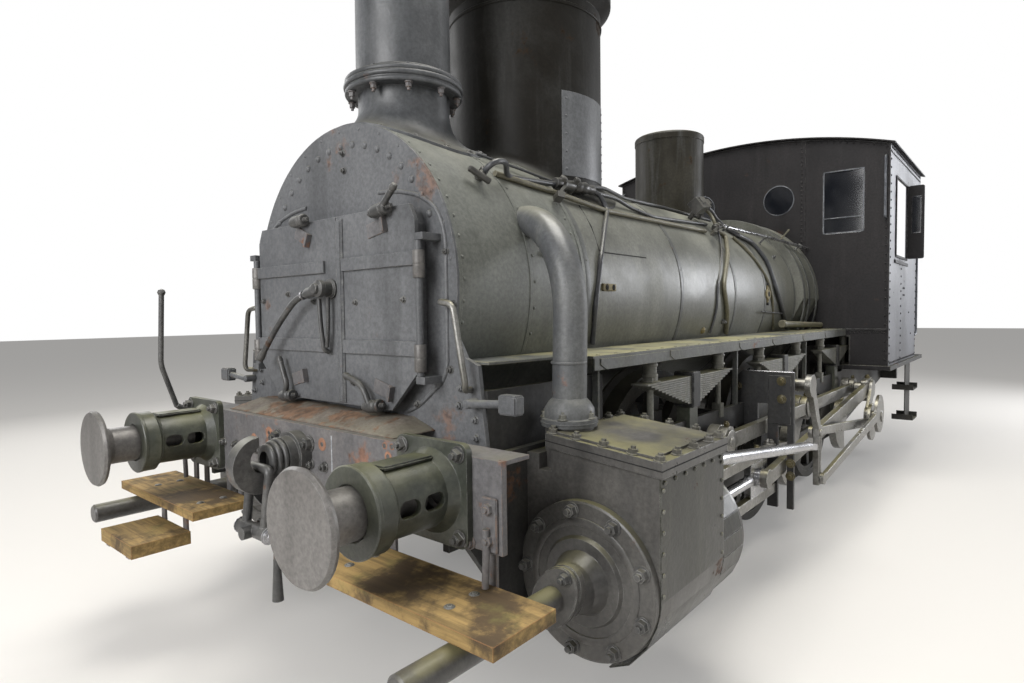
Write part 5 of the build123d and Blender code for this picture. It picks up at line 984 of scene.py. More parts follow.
@dataclass
class SmokeboxFront:
    """Rivets, bolts, door frame moulding, grab irons and the crusted ledge of the smokebox's front plate."""

    plate: float = -246.0
    arc_centre: float = 1708.0
    arc_radius: float = 655.0
    rim_radius: float = 722.0

    def rivets(self) -> None:
        """Large rivets in an arc over the doors, small ones round the rim, and the plate's bolts."""
        arc = around(self.arc_radius, [26.0 + 8.0 * step for step in range(17)])
        rim = around(self.rim_radius, [8.0 + 11.7 * step for step in range(15)])
        bolts = ((27, 2331), (34, 2252), (691, 1837), (727, 1631), (706, 1375), (-706, 1375), (-691, 1837))
        near = ((751, 1238), (762, 1306), (836, 1190), (840, 1120))
        corners = [(side * y, z) for y, z in near for side in SIDES]
        for name, kind, radius, height, finish, places in (
            (
                "front_plate_rivets", Head.RIVET, 0.0165, 0.012, "front_grey",
                [(10 + y, self.arc_centre + z) for y, z in arc],
            ),
            (
                "front_rim_rivets", Head.RIVET, 0.0075, 0.004, "front_grey",
                [(y, self.arc_centre + z) for y, z in rim],
            ),
            ("front_plate_bolts", Head.NUT, 0.013, 0.014, "dull_steel", bolts),
            ("front_corner_bolts", Head.NUT, 0.014, 0.014, "front_grey", corners),
        ):
            row = FastenerRow(kind, radius, height).spots([(self.plate, y, z) for y, z in places], AHEAD)
            row.place(name, finish)

    def moulding(self) -> None:
        """Raised edge round the door opening."""
        shell = Shell()
        path = (
            (440, 1186), (520, 1218), (690, 1348), (690, 1900), (646, 2010), (540, 2078), (400, 2112),
            (280, 2120),
        )
        for side in SIDES:
            shell.pipe([(self.plate, y, z) for y, z in path], 0.0095, 0.07, 10, side)
        shell.place("door_frame_moulding", "front_grey")

    def grab_irons(self) -> None:
        """Grab irons and lamp brackets beside the doors."""
        shell, bracket = Shell(), Shell()
        iron = (
            (-246, 690, 1640), (-192, 700, 1640), (-188, 780, 1632), (-190, 838, 1330), (-196, 832, 1306),
            (-246, 812, 1304),
        )
        for side in SIDES:
            shell.pipe(iron, 0.0125, 0.045, 12, side)
            bracket.rod(mm(-200, side * 840, 1256), mm(-200, side * 1012, 1269), 0.0155, 16, 0.003)
            bracket.rod(mm(-246, side * 842, 1256), mm(-186, side * 842, 1256), 0.019, 16, 0.004)
            bracket.slab((-226, 1010, 1235), (-174, 1094, 1305), 0.006, side)
        shell.place("front_grab_irons", "rod_steel")
        bracket.place("lamp_brackets", "front_grey")

    def ledge(self) -> None:
        """Sloping ledge below the doors, crusted with rust and ash."""
        shell = Shell()
        across, deep = 150, 14
        grid_top, grid_low = [], []
        for step in range(across + 1):
            y = -690 + 1300 * step / across
            inset = min(1.0, (step / across) / 0.03, (1 - step / across) / 0.1)
            top_row, low_row = [], []
            for place in range(deep + 1):
                share = place / deep
                x = self.plate + 2 + 214 * share
                crown = 1172 - 44 * share + 14 * sin(pi * share)
                rough = self.crust(y / 1000, share)
                z = 1126 + (crown - 1126 + rough) * inset
                top_row.append(shell.mesh.verts.new(mm(x, y, max(z, 1126.5))))
                low_row.append(shell.mesh.verts.new(mm(x, y, 1123.5)))
            grid_top.append(top_row)
            grid_low.append(low_row)
        for step in range(across):
            for place in range(deep):
                for grid in (grid_top, grid_low):
                    shell.mesh.faces.new(
                        (
                            grid[step][place], grid[step + 1][place], grid[step + 1][place + 1],
                            grid[step][place + 1],
                        )
                    )
            for place in (0, deep):
                shell.mesh.faces.new(
                    (
                        grid_top[step][place], grid_top[step + 1][place], grid_low[step + 1][place],
                        grid_low[step][place],
                    )
                )
        for step in (0, across):
            for place in range(deep):
                shell.mesh.faces.new(
                    (
                        grid_top[step][place], grid_top[step][place + 1], grid_low[step][place + 1],
                        grid_low[step][place],
                    )
                )
        shell.place("ash_ledge", "crusted_ledge", sharp=80.0)

    @staticmethod
    def crust(across: float, along: float) -> float:
        """Height of the crust in millimetres at a place on the ledge."""
        spot = Vector((across * 9.0, along * 3.0, 0.7))
        return 9.0 * noise.noise(spot) + 5.0 * noise.noise(spot * 3.1) + 2.5 * noise.noise(spot * 8.3)

    def build(self) -> None:
        """Makes all pieces of the front plate."""
        self.rivets()
        self.moulding()
        self.grab_irons()
        self.ledge()


@dataclass
class DoorFittings:
    """Clamps, wedges, latch, handles, seam strip and hinge knuckles of the two smokebox doors."""

    face: float = -165.5
    hinge_y: float = 624.0
    latch_hub: tuple[float, float] = (30.0, 1713.0)
    near: str = "smokebox_door_left"
    far: str = "smokebox_door_right"

    def seam_strip(self) -> None:
        """Cover strip beside the seam on the near door."""
        shell = Shell()
        shell.slab((self.face, 88, 1212), (self.face + 13, 121, 2012), 0.004)
        shell.slab((self.face, 84, 1206), (self.face + 6, 127, 2018), 0.002)
        shell.place("door_seam_strip", "front_grey", self.near)

    def knuckles(self) -> None:
        """Hinge knuckles on the straps, with the pins' rounded ends."""
        for body, side, label in ((self.near, 1, "near"), (self.far, -1, "far")):
            shell = Shell()
            for low, high in ((1735, 1843), (1368, 1476)):
                half, full = (high - low) / 2000, (high - low) / 1000
                profile = (
                    (0.0, 0.0165), (0.0, 0.0215), (0.003, 0.0235), (half - 0.002, 0.0235), (half, 0.0215),
                    (half + 0.002, 0.0235), (full - 0.003, 0.0235), (full, 0.0215), (full, 0.0165),
                )
                shell.lathe(profile, mm(self.face + 4, side * self.hinge_y, low), UP, 24)
            shell.place(f"hinge_knuckles_{label}", "buffer_steel", body)

    def clamp(self, shell: Shell, y: float, z: float, turn: float, lever: Profile) -> None:
        """Screw clamp with its nut, and the lever that tightens it.

        Args:
            shell: Shell to add to.
            y: Crosswise place of the clamp's middle, in millimetres.
            z: Its height.
            turn: Slope of the clamp, in degrees.
            lever: Path of the lever from the clamp, as y and z.
        """
        slope = Vector((0.0, cos(radians(turn)), sin(radians(turn))))
        middle = mm(self.face + 26, y, z)
        start = middle - slope * 0.062
        profile = (
            (0.0, 0.0), (0.0, 0.011), (0.016, 0.012), (0.016, 0.0205), (0.036, 0.0215), (0.036, 0.0265),
            (0.046, 0.0275), (0.088, 0.0275), (0.092, 0.0245), (0.098, 0.0245), (0.102, 0.0275),
            (0.116, 0.0275), (0.12, 0.024), (0.12, 0.011), (0.146, 0.009), (0.146, 0.0),
        )
        shell.lathe(profile, start, slope, 20)
        shell.rod(mm(self.face, y + 14, z), mm(self.face + 30, y + 14, z), 0.015, 14)
        if lever:
            path = [middle + Vector((0.012, 0.0, 0.0)), *(mm(self.face + 40, a, b) for a, b in lever)]
            shell.tube(path, 0.0135, 0.05, 12)
            tip = path[-1]
            shell.lathe(
                ((-0.004, 0.0), (0.0, 0.012), (0.014, 0.0165), (0.03, 0.012), (0.034, 0.0)), tip,
                tip - path[-2], 14,
            )

    def clamps(self) -> None:
        """Four clamps, two on each door."""
        near, far = Shell(), Shell()
        self.clamp(far, -190, 2034, 3.0, ())
        self.clamp(far, -330, 1208, 6.0, ((-300, 1262), (-352, 1368)))
        self.clamp(near, 410, 2016, 8.0, ((455, 2028), (512, 2082)))
        self.clamp(near, 342, 1212, 8.0, ((296, 1300), (200, 1328)))
        near.place("door_clamps_near", "dull_steel", self.near)
        far.place("door_clamps_far", "dull_steel", self.far)

    def wedges(self) -> None:
        """Folded wedge brackets that the clamps press on, and door bolts."""
        wedges = (
            (self.near, "near", ((368, 1952, 10.0), (392, 1284, -14.0))),
            (self.far, "far", ((-187, 1966, -24.0), (-243, 1300, 12.0))),
        )
        for body, label, places in wedges:
            shell = Shell()
            for y, z, turn in places:
                slope = Vector((0.0, cos(radians(turn)), sin(radians(turn))))
                middle = mm(self.face + 3, y, z)
                shell.bar(middle - slope * 0.062, middle + slope * 0.062, 0.005, 0.058, AHEAD)
                rise = Vector((0.011, 0.0, 0.0))
                shell.bar(middle + slope * 0.052 + rise, middle + slope * 0.066 + rise, 0.026, 0.062, AHEAD)
            shell.place(f"clamp_wedges_{label}", "beam_grey", body)
        for label, body, places in (
            ("near", self.near, ((211, 1649), (527, 1653), (185, 1300), (600, 1240))),
            ("far", self.far, ((-564, 1671), (-110, 1660), (-330, 1700))),
        ):
            bolts = FastenerRow(Head.NUT, 0.0115, 0.012).spots([(self.face, y, z) for y, z in places], AHEAD)
            bolts.place(f"door_bolts_{label}", "dull_steel", body)

    def latch(self) -> None:
        """Centre latch with its long bent handle and the short lever below it."""
        shell = Shell()
        hub = mm(self.face, *self.latch_hub)
        profile = (
            (0.0, 0.0), (0.0, 0.046), (0.01, 0.046), (0.014, 0.034), (0.05, 0.032), (0.054, 0.04),
            (0.074, 0.038),
        )
        shell.lathe((*profile, (0.08, 0.024), (0.094, 0.022), (0.098, 0.0)), hub, AHEAD, 20)
        arm = mm(self.face + 60, *self.latch_hub)
        end = mm(self.face + 60, -88, 1690)
        shell.lathe(
            (
                (0.0, 0.0), (0.0, 0.03), (0.03, 0.034), (0.06, 0.024), (0.09, 0.026), (0.12, 0.017),
                (0.12, 0.0),
            ),
            arm, end - arm, 18,
        )
        path = ((60, -84, 1692), (66, -170, 1664), (74, -300, 1560), (84, -452, 1400))
        shell.pipe([(self.face + x, y, z) for x, y, z in path], 0.0145, 0.09, 14)
        shell.lathe(
            ((-0.03, 0.0), (-0.03, 0.015), (0.0, 0.0195), (0.022, 0.019), (0.026, 0.0)),
            mm(self.face + 84, -452, 1400), (0.1, -0.68, -0.72), 16,
        )
        path = ((40, -8, 1668), (42, 2, 1560), (40, 20, 1440), (12, 24, 1428))
        shell.pipe([(self.face + x, y, z) for x, y, z in path], 0.0105, 0.05, 12)
        path = ((30, 46, 1676), (30, 44, 1560), (30, 30, 1452))
        shell.pipe([(self.face + x, y, z) for x, y, z in path], 0.009, 0.05, 10)
        shell.place("door_latch_handle", "dull_steel", self.far)
        collar = Shell()
        collar.lathe(
            ((0.0, 0.0), (0.0, 0.0205), (0.012, 0.0205), (0.012, 0.0)), mm(self.face + 61, -96, 1688),
            (0.05, -0.97, -0.24), 18,
        )
        collar.place("latch_collar", "bright_steel", self.far)

    def build(self) -> None:
        """Makes all fittings of the doors."""
        self.seam_strip()
        self.knuckles()
        self.clamps()
        self.wedges()
        self.latch()


# Buffer beam


@dataclass
class BufferBeam:
    """Bolts, old holes, end strips, buffer rings and base bolts on the front beam."""

    height: float = 990.0
    buffer_y: float = 875.0

    def bolts(self) -> None:
        """Row of nuts below the old holes, large nuts above the hook, and those at the beam's ends."""
        row = [
            (0, y, 973 if y == -297 else 962) for y in (-765, -694, -566, -469, -374, -297, 99, 200, 322, 415)
        ]
        ends = (
            (10, 1132, 968), (10, 1132, 866), (0, 1036, 836), (0, 712, 1063), (10, -1132, 968),
            (10, -1132, 866), (0, 640, 906),
        )
        for name, radius, height, finish, places in (
            ("beam_row_nuts", 0.0175, 0.02, "dull_steel", row),
            ("beam_large_nuts", 0.027, 0.028, "dull_steel", ((0, -171, 1046), (0, 89, 1047))),
            ("beam_end_nuts", 0.019, 0.018, "beam_grey", ends),
        ):
            FastenerRow(Head.NUT, radius, height).spots(places, AHEAD).place(name, finish)

    def old_holes(self) -> None:
        """Plugged holes, each in a ring of bare primer."""
        rings, plugs = Shell(), Shell()
        for y, z, radius in (
            (-250, 1054, 30), (-392, 1009, 28), (-39, 1052, 26), (182, 1055, 28), (616, 1063, 20),
            (597, 1102, 13), (640, 1103, 13),
        ):
            centre = mm(0, y, z)
            profile = (
                (-0.002, 0.01), (0.0012, 0.01), (0.0016, radius / 1000 - 0.004), (0.0004, radius / 1000),
                (-0.002, radius / 1000),
            )
            rings.lathe(profile, centre, AHEAD, 24)
            plugs.lathe(((-0.002, 0.0), (-0.002, 0.01), (0.0006, 0.01), (0.0006, 0.0)), centre, AHEAD, 14)
        rings.place("primer_rings", "primer_orange")
        plugs.place("hole_plugs", "dull_steel")

    def end_strips(self) -> None:
        """Strip with an eye rod at each end of the beam, and the white mark beside the middle."""
        shell = Shell()
        for side in SIDES:
            shell.slab((0, 1100, 826), (12, 1164, 1004), 0.003, side)
            shell.pipe(((22, 1128, 905), (22, 1128, 830), (22, 1122, 712)), 0.012, 0.03, 12, side)
        shell.place("beam_end_strips", "beam_grey")
        Shell().slab((-1, 247, 905), (0.8, 254, 1100)).place("chalk_line", "chalk_white")

    def buffers(self) -> None:
        """Collar rings, base bolts and the ribs on top of the housings."""
        rings, ribs = Shell(), Shell()
        for sign in SIDES:
            centre = mm(0, sign * self.buffer_y, self.height)
            profile = (
                (0.336, 0.124), (0.336, 0.142), (0.34, 0.146), (0.352, 0.147), (0.356, 0.143),
                (0.356, 0.0895), (0.336, 0.0895),
            )
            rings.lathe(profile, centre, AHEAD, 48)
            profile = ((0.262, 0.118), (0.262, 0.122), (0.268, 0.1255), (0.276, 0.122), (0.276, 0.117))
            rings.lathe(profile, centre, AHEAD, 48)
            top = centre + Vector((0.0, 0.0, 0.116))
            ribs.block(top + Vector((0.05, -0.048, 0.0)), top + Vector((0.262, 0.048, 0.014)), 0.006)
        rings.place("buffer_rings", "casting_green")
        ribs.place("housing_pads", "casting_green")
        bolts = FastenerRow(Head.SQUARE, 0.022, 0.026)
        bolts.spots(
            [(26, self.buffer_y + y, self.height + z) for y in (-140, 140) for z in (-140, 140)], AHEAD,
        )
        bolts.both_sides().place("buffer_base_bolts", "dull_steel")

    def hook_collar(self) -> None:
        """Rounded rings round the shank of the draw hook, and the heads of the shackle's pin."""
        profile = [(0.088, 0.04), (0.088, 0.06)]
        for start, radius in ((0.088, 0.074), (0.112, 0.066), (0.134, 0.056)):
            profile += bead(start, 0.012, radius, 0.014)
        profile += [(0.16, 0.052), (0.16, 0.04)]
        Shell().lathe(profile, mm(0, 0, self.height), AHEAD, 40).place("hook_collar_rings", "dull_steel")
        tips = FastenerRow(Head.BUTTON, 0.027, 0.014)
        x, z = 208, self.height - 31 - 250
        tips.at(mm(x, 112, z), LEFT).at(mm(x, -112, z), (0, -1, 0))
        tips.place("shackle_pin_heads", "bright_steel")

    def side_rods(self) -> None:
        """Upright lever at the far end of the beam, with its ball top, and its eye on the beam."""
        shell = Shell()
        top = mm(106, -1146, 1730)
        shell.tube([mm(48, -1146, 1108), mm(122, -1146, 1340), top], 0.0135, 0.04, 12)
        shell.lathe(((-0.02, 0.0), (-0.014, 0.015), (0.0, 0.021), (0.014, 0.015), (0.02, 0.0)), top, UP, 16)
        shell.tube([mm(x, -1146, z) for x, z in ((-30, 1098), (20, 1094), (48, 1112))], 0.015, 0.02, 12)
        shell.place("far_beam_lever", "dull_steel")

    def build(self) -> None:
        """Makes all pieces of the beam."""
        self.bolts()
        self.old_holes()
        self.end_strips()
        self.buffers()
        self.hook_collar()
        self.side_rods()


# Cylinders


@dataclass
class Cylinders:
    """Cover nuts, glands, chest lids with their studs, cladding sheets and edge screws, on both sides."""

    y: float = 1195.0
    z: float = 600.0
    front: float = -430.0
    rear: float = -1265.0
    chest_rear: float = -1010.0
    inner: float = 1014.0
    outer: float = 1506.0
    inner_top: float = 1128.0
    outer_top: float = 1080.0
    bolt_circle: float = 262.0
    pipe_foot: tuple[float, float] = (-600.0, 1022.0)
    pipe_bend: float = 0.395
    quarter_arc: float = 0.552

    def lid_height(self, y: float) -> float:
        """Height of the sloping lid at a crosswise place, in millimetres."""
        share = (y - self.inner) / (self.outer - self.inner)
        return self.inner_top + share * (self.outer_top - self.inner_top)

    def covers(self) -> None:
        """Nine nuts round each front cover, those of the rear covers, and the front covers' raised ring."""
        nuts = FastenerRow(Head.NUT, 0.0235, 0.03)
        places = around(self.bolt_circle, [-20 + 40 * step for step in range(9)])
        nuts.spots([(self.front - 2, self.y + y, self.z + z) for y, z in places], AHEAD)
        nuts.both_sides().place("front_cover_nuts", "dull_steel")
        rear = FastenerRow(Head.NUT, 0.0215, 0.026)
        for y, z in around(self.bolt_circle, [15 + 30 * step for step in range(12)]):
            if self.y + y > 930 and abs(y) > 60:
                rear.at(mm(self.rear + 2, self.y + y, self.z + z), BACK)
        rear.both_sides().place("rear_cover_nuts", "dull_steel")
        ring = Shell()
        profile = (
            (-0.002, 0.205), (0.003, 0.205), (0.004, 0.208), (0.004, 0.232), (0.002, 0.235), (-0.002, 0.235),
        )
        for side in SIDES:
            ring.lathe(profile, mm(self.front, side * self.y, self.z), AHEAD, 64)
        ring.place("cover_rings", "cylinder_black")

    def glands(self) -> None:
        """Oval gland flanges with two studs, on the tail rod guard and the piston rod."""
        shell, studs = Shell(), FastenerRow(Head.NUT, 0.02, 0.026)
        lean = -32.0
        for face, way in ((self.front + 130, 1), (self.rear - 54, -1)):
            start = mm(face, 0, 0).x
            level = [mm(face, self.y + y, self.z + z) for y, z in self.oval(132, 84, lean)]
            for side in SIDES:
                for near, far in ((0.0, 0.034), (0.038, 0.058)):
                    low, high = sorted((start + way * near, start + way * far))
                    shell.prism([(side * point.y, point.z) for point in level], 0, low, high, 0.004)
            for y, z in (*around(104, (90 + lean,)), *around(-104, (90 + lean,))):
                studs.at(mm(face + way * 58, self.y + y, self.z + z), (way, 0, 0))
        shell.place("gland_flanges", "cylinder_black")
        studs.both_sides().place("gland_nuts", "dull_steel")

    @staticmethod
    def oval(long: float, short: float, lean: float) -> list[tuple[float, float]]:
        """Two-bolt flange outline: two small ends joined to a round middle, leaning by some degrees."""
        found = []
        for step in range(48):
            turn = 2 * pi * step / 48
            reach = short / sqrt(max(1 - (1 - (short / long) ** 2) * cos(turn) ** 2, 1e-6))
            angle = turn + radians(90 + lean)
            found.append((reach * cos(angle), reach * sin(angle)))
        return found

    def lid(self) -> None:
        """Raised pad of the lid, the studs round its edge and its dark seam."""
        pad = Shell()
        for side in SIDES:
            verts = []
            for y in (1052, 1468):
                for x in (self.front + 2 - 40, self.chest_rear + 24):
                    for lift in (0, 10):
                        verts.append(pad.mesh.verts.new(mm(x, side * y, self.lid_height(y) + lift)))
            for face in ((0, 1, 3, 2), (4, 5, 7, 6), (0, 1, 5, 4), (2, 3, 7, 6), (0, 2, 6, 4), (1, 3, 7, 5)):
                pad.mesh.faces.new([verts[index] for index in face])
        pad.place("lid_pads", "cylinder_black")
        studs = FastenerRow(Head.NUT, 0.0185, 0.02)
        slope = Vector((0.0, self.inner_top - self.outer_top, self.outer - self.inner)).normalized()
        places = [(x, y) for x in (-470, -600, -740, -880, -980) for y in (self.inner + 20, self.outer - 20)]
        places += [(x, y) for y in (1140, 1260, 1380) for x in (self.front - 44, self.chest_rear + 6)]
        studs.spots([(x, y, self.lid_height(y)) for x, y in places], slope)
        studs.both_sides().place("lid_studs", "stud_steel")
        seam = Shell()
        ends = ((self.inner, -31), (self.outer, -31), (self.outer, -27), (self.inner, -27))
        face = mm(self.front - 18, 0, 0).x
        for side in SIDES:
            for y0, y1 in ((self.inner - 1.5, self.inner + 4), (self.outer - 4, self.outer + 1.5)):
                z0, z1 = self.lid_height(y0) - 31, self.lid_height(y0) - 27
                seam.slab((self.chest_rear - 17, y0, z0), (self.front - 17, y1, z1), 0.0, side)
            corners = [mm(0, side * y, self.lid_height(y) + drop) for y, drop in ends]
            seam.prism([(corner.y, corner.z) for corner in corners], 0, face - 0.004, face + 0.0016)
        seam.place("lid_seams", "shadow_gap")

    def cladding(self) -> None:
        """Black sheet down the chest side that folds under the cylinder, with its edge screws."""
        shell = Shell()
        front, rear = mm(self.front - 34, 0, 0).x, mm(self.chest_rear, 0, 0).x
        for sign in SIDES:
            sheet = [(1494, 1022), (1497, 600), (1480, 500), (1440, 410), (1370, 330), (1290, 292)]
            sheet += [(y - 5, z) if z > 590 else (y - 4, z + 4) for y, z in reversed(sheet)]
            shell.prism(
                [(sign * y / 1000, DATUM.up(z / 1000)) for y, z in sheet], 0, rear - 0.004, front + 0.004,
            )
            for angle in range(-60, 80, 14):
                outer, inner = around(302.5, (angle, angle + 13)), around(298, (angle + 13, angle))
                corners = [mm(0, sign * (self.y + y), self.z + z) for y, z in outer + inner]
                outline = [(corner.y, corner.z) for corner in corners]
                shell.prism(outline, 0, mm(self.rear + 34, 0, 0).x, rear - 0.006)
        shell.place("cladding_sheets", "cylinder_sheet")
        screws = FastenerRow(Head.RIVET, 0.0085, 0.006)
        screws.spots([(self.front - 60 - step * 82, 1496.5, 1004) for step in range(7)], LEFT)
        for x in (self.chest_rear + 16, self.front - 46):
            screws.spots([(x, 1497, 980 - step * 74) for step in range(6)], LEFT)
        screws.both_sides().place("cladding_screws", "spring_steel")

    def flange_bolts(self) -> None:
        """Bolts of the cylinder's flange on the frame, and of the steam pipe's foot."""
        bolts = FastenerRow(Head.NUT, 0.019, 0.022)
        bolts.spots([(x, 970.5, z) for x in (-560, -1130) for z in (800, 920, 1040)], LEFT)
        bolts.both_sides().place("frame_flange_bolts", "frame_black")
        ahead, across = self.pipe_foot
        foot = FastenerRow(Head.NUT, 0.017, 0.022)
        foot.spots([(ahead + x, across + y, 1173) for x, y in around(96, (20, 92, 164, 236, 308))], UP)
        foot.both_sides().place("steam_foot_nuts", "spring_steel")
        ring = Shell()
        for side in SIDES:
            middle = mm(ahead, side * across, 1140)
            ring.lathe(((0.012, 0.112), (0.012, 0.1165), (0.018, 0.1165), (0.018, 0.112)), middle, UP, 40)
            profile = ((0.248, 0.069), (0.248, 0.0725), (0.252, 0.0735), (0.258, 0.0725), (0.258, 0.069))
            ring.lathe(profile, middle, UP, 40)
        ring.place("steam_pipe_rings", "pipe_grey")

    def steam_pipes(self) -> None:
        """Bent pipes that lean back into the smokebox's sides, with their belled feet on the chests."""
        shell = Shell()
        bell = (
            (0.0, 0.0), (0.0, 0.113), (0.03, 0.113), (0.034, 0.103), (0.07, 0.101), (0.096, 0.084),
            (0.11, 0.07), (0.11, 0.0),
        )
        ahead, across = self.pipe_foot
        legs = ((-806, 600, 2019), (-624, across, 1980), (ahead, across, 1200))
        for sign in SIDES:
            inside, corner, foot = (mm(x, sign * y, z) for x, y, z in legs)
            first = corner + (inside - corner).normalized() * self.pipe_bend
            last = corner + (foot - corner).normalized() * self.pipe_bend
            pulls = [end.lerp(corner, self.quarter_arc) for end in (first, last)]
            shell.tube([inside, *interpolate_bezier(first, *pulls, last, 18), foot], 0.07, 0.0, 48)
            shell.lathe(bell, mm(ahead, sign * across, 1140), UP, 48)
        shell.place("steam_pipe_bends", "pipe_grey", replaces=("steam_pipes",))

    def build(self) -> None:
        """Makes all pieces of the cylinders."""
        self.steam_pipes()
        self.covers()
        self.glands()
        self.lid()
        self.cladding()
        self.flange_bolts()


# Springs


@dataclass
class LeafSprings:
    """Separate leaves with their buckles, in place of the plain spring stacks, and the hangers' rings."""

    axles: tuple[float, ...] = (-1760.0, -3340.0, -4920.0)
    leaves: int = 13
    half: float = 540.0
    short: float = 90.0
    top: float = 1245.0
    depth: float = 150.0
    y: float = 1000.0
    width: float = 92.0
    hanger_out: float = 430.0

    def stacks(self) -> None:
        """Leaves of every spring, each a separate strip, and the buckles round them."""
        shell, buckle = Shell(), Shell()
        thick, inner, outer = self.depth / self.leaves, self.y - self.width / 2, self.y + self.width / 2
        foot = self.top - self.depth
        for x in self.axles:
            for leaf in range(self.leaves):
                half = self.half - leaf * (self.half - self.short) / (self.leaves - 1)
                high = self.top - leaf * thick
                shell.slab((x - half, inner, high - thick + 1.4), (x + half, outer, high), 0.0012)
            shell.slab((x - self.short, inner + 2, foot + 2), (x + self.short, outer - 2, self.top - 2))
            buckle.slab((x - 46, inner - 12, foot - 22), (x + 46, outer + 12, self.top + 22), 0.005)
        buckle.mirrored().place("spring_buckles", "frame_black")
        shell.mirrored().place("spring_leaves", "spring_steel", replaces=("leaf_springs",), sharp=30.0)

    def hangers(self) -> None:
        """Rings, caps and nuts on the hanger pots, and the nut above each."""
        shell = Shell()
        nuts = FastenerRow(Head.SQUARE, 0.04, 0.022)
        for x in self.axles:
            for side in SIDES:
                place = x + side * self.hanger_out
                if place < -5250:
                    continue
                for sign in SIDES:
                    foot = mm(place, sign * self.y, self.top + 26)
                    for level, radius in ((0.0, 0.0375), (0.052, 0.0365), (0.104, 0.0375)):
                        crown = radius + 0.002
                        profile = (
                            (level, 0.031), (level, radius), (level + 0.003, crown), (level + 0.012, crown),
                            (level + 0.015, radius), (level + 0.015, 0.031),
                        )
                        shell.lathe(profile, foot, UP, 24)
                nuts.at(mm(place, self.y, self.top + 2), UP)
        shell.place("hanger_rings", "spring_steel")
        nuts.both_sides().place("hanger_nuts", "spring_steel")

    def build(self) -> None:
        """Makes the springs and the hangers' small parts."""
        self.stacks()
        self.hangers()


# Boiler


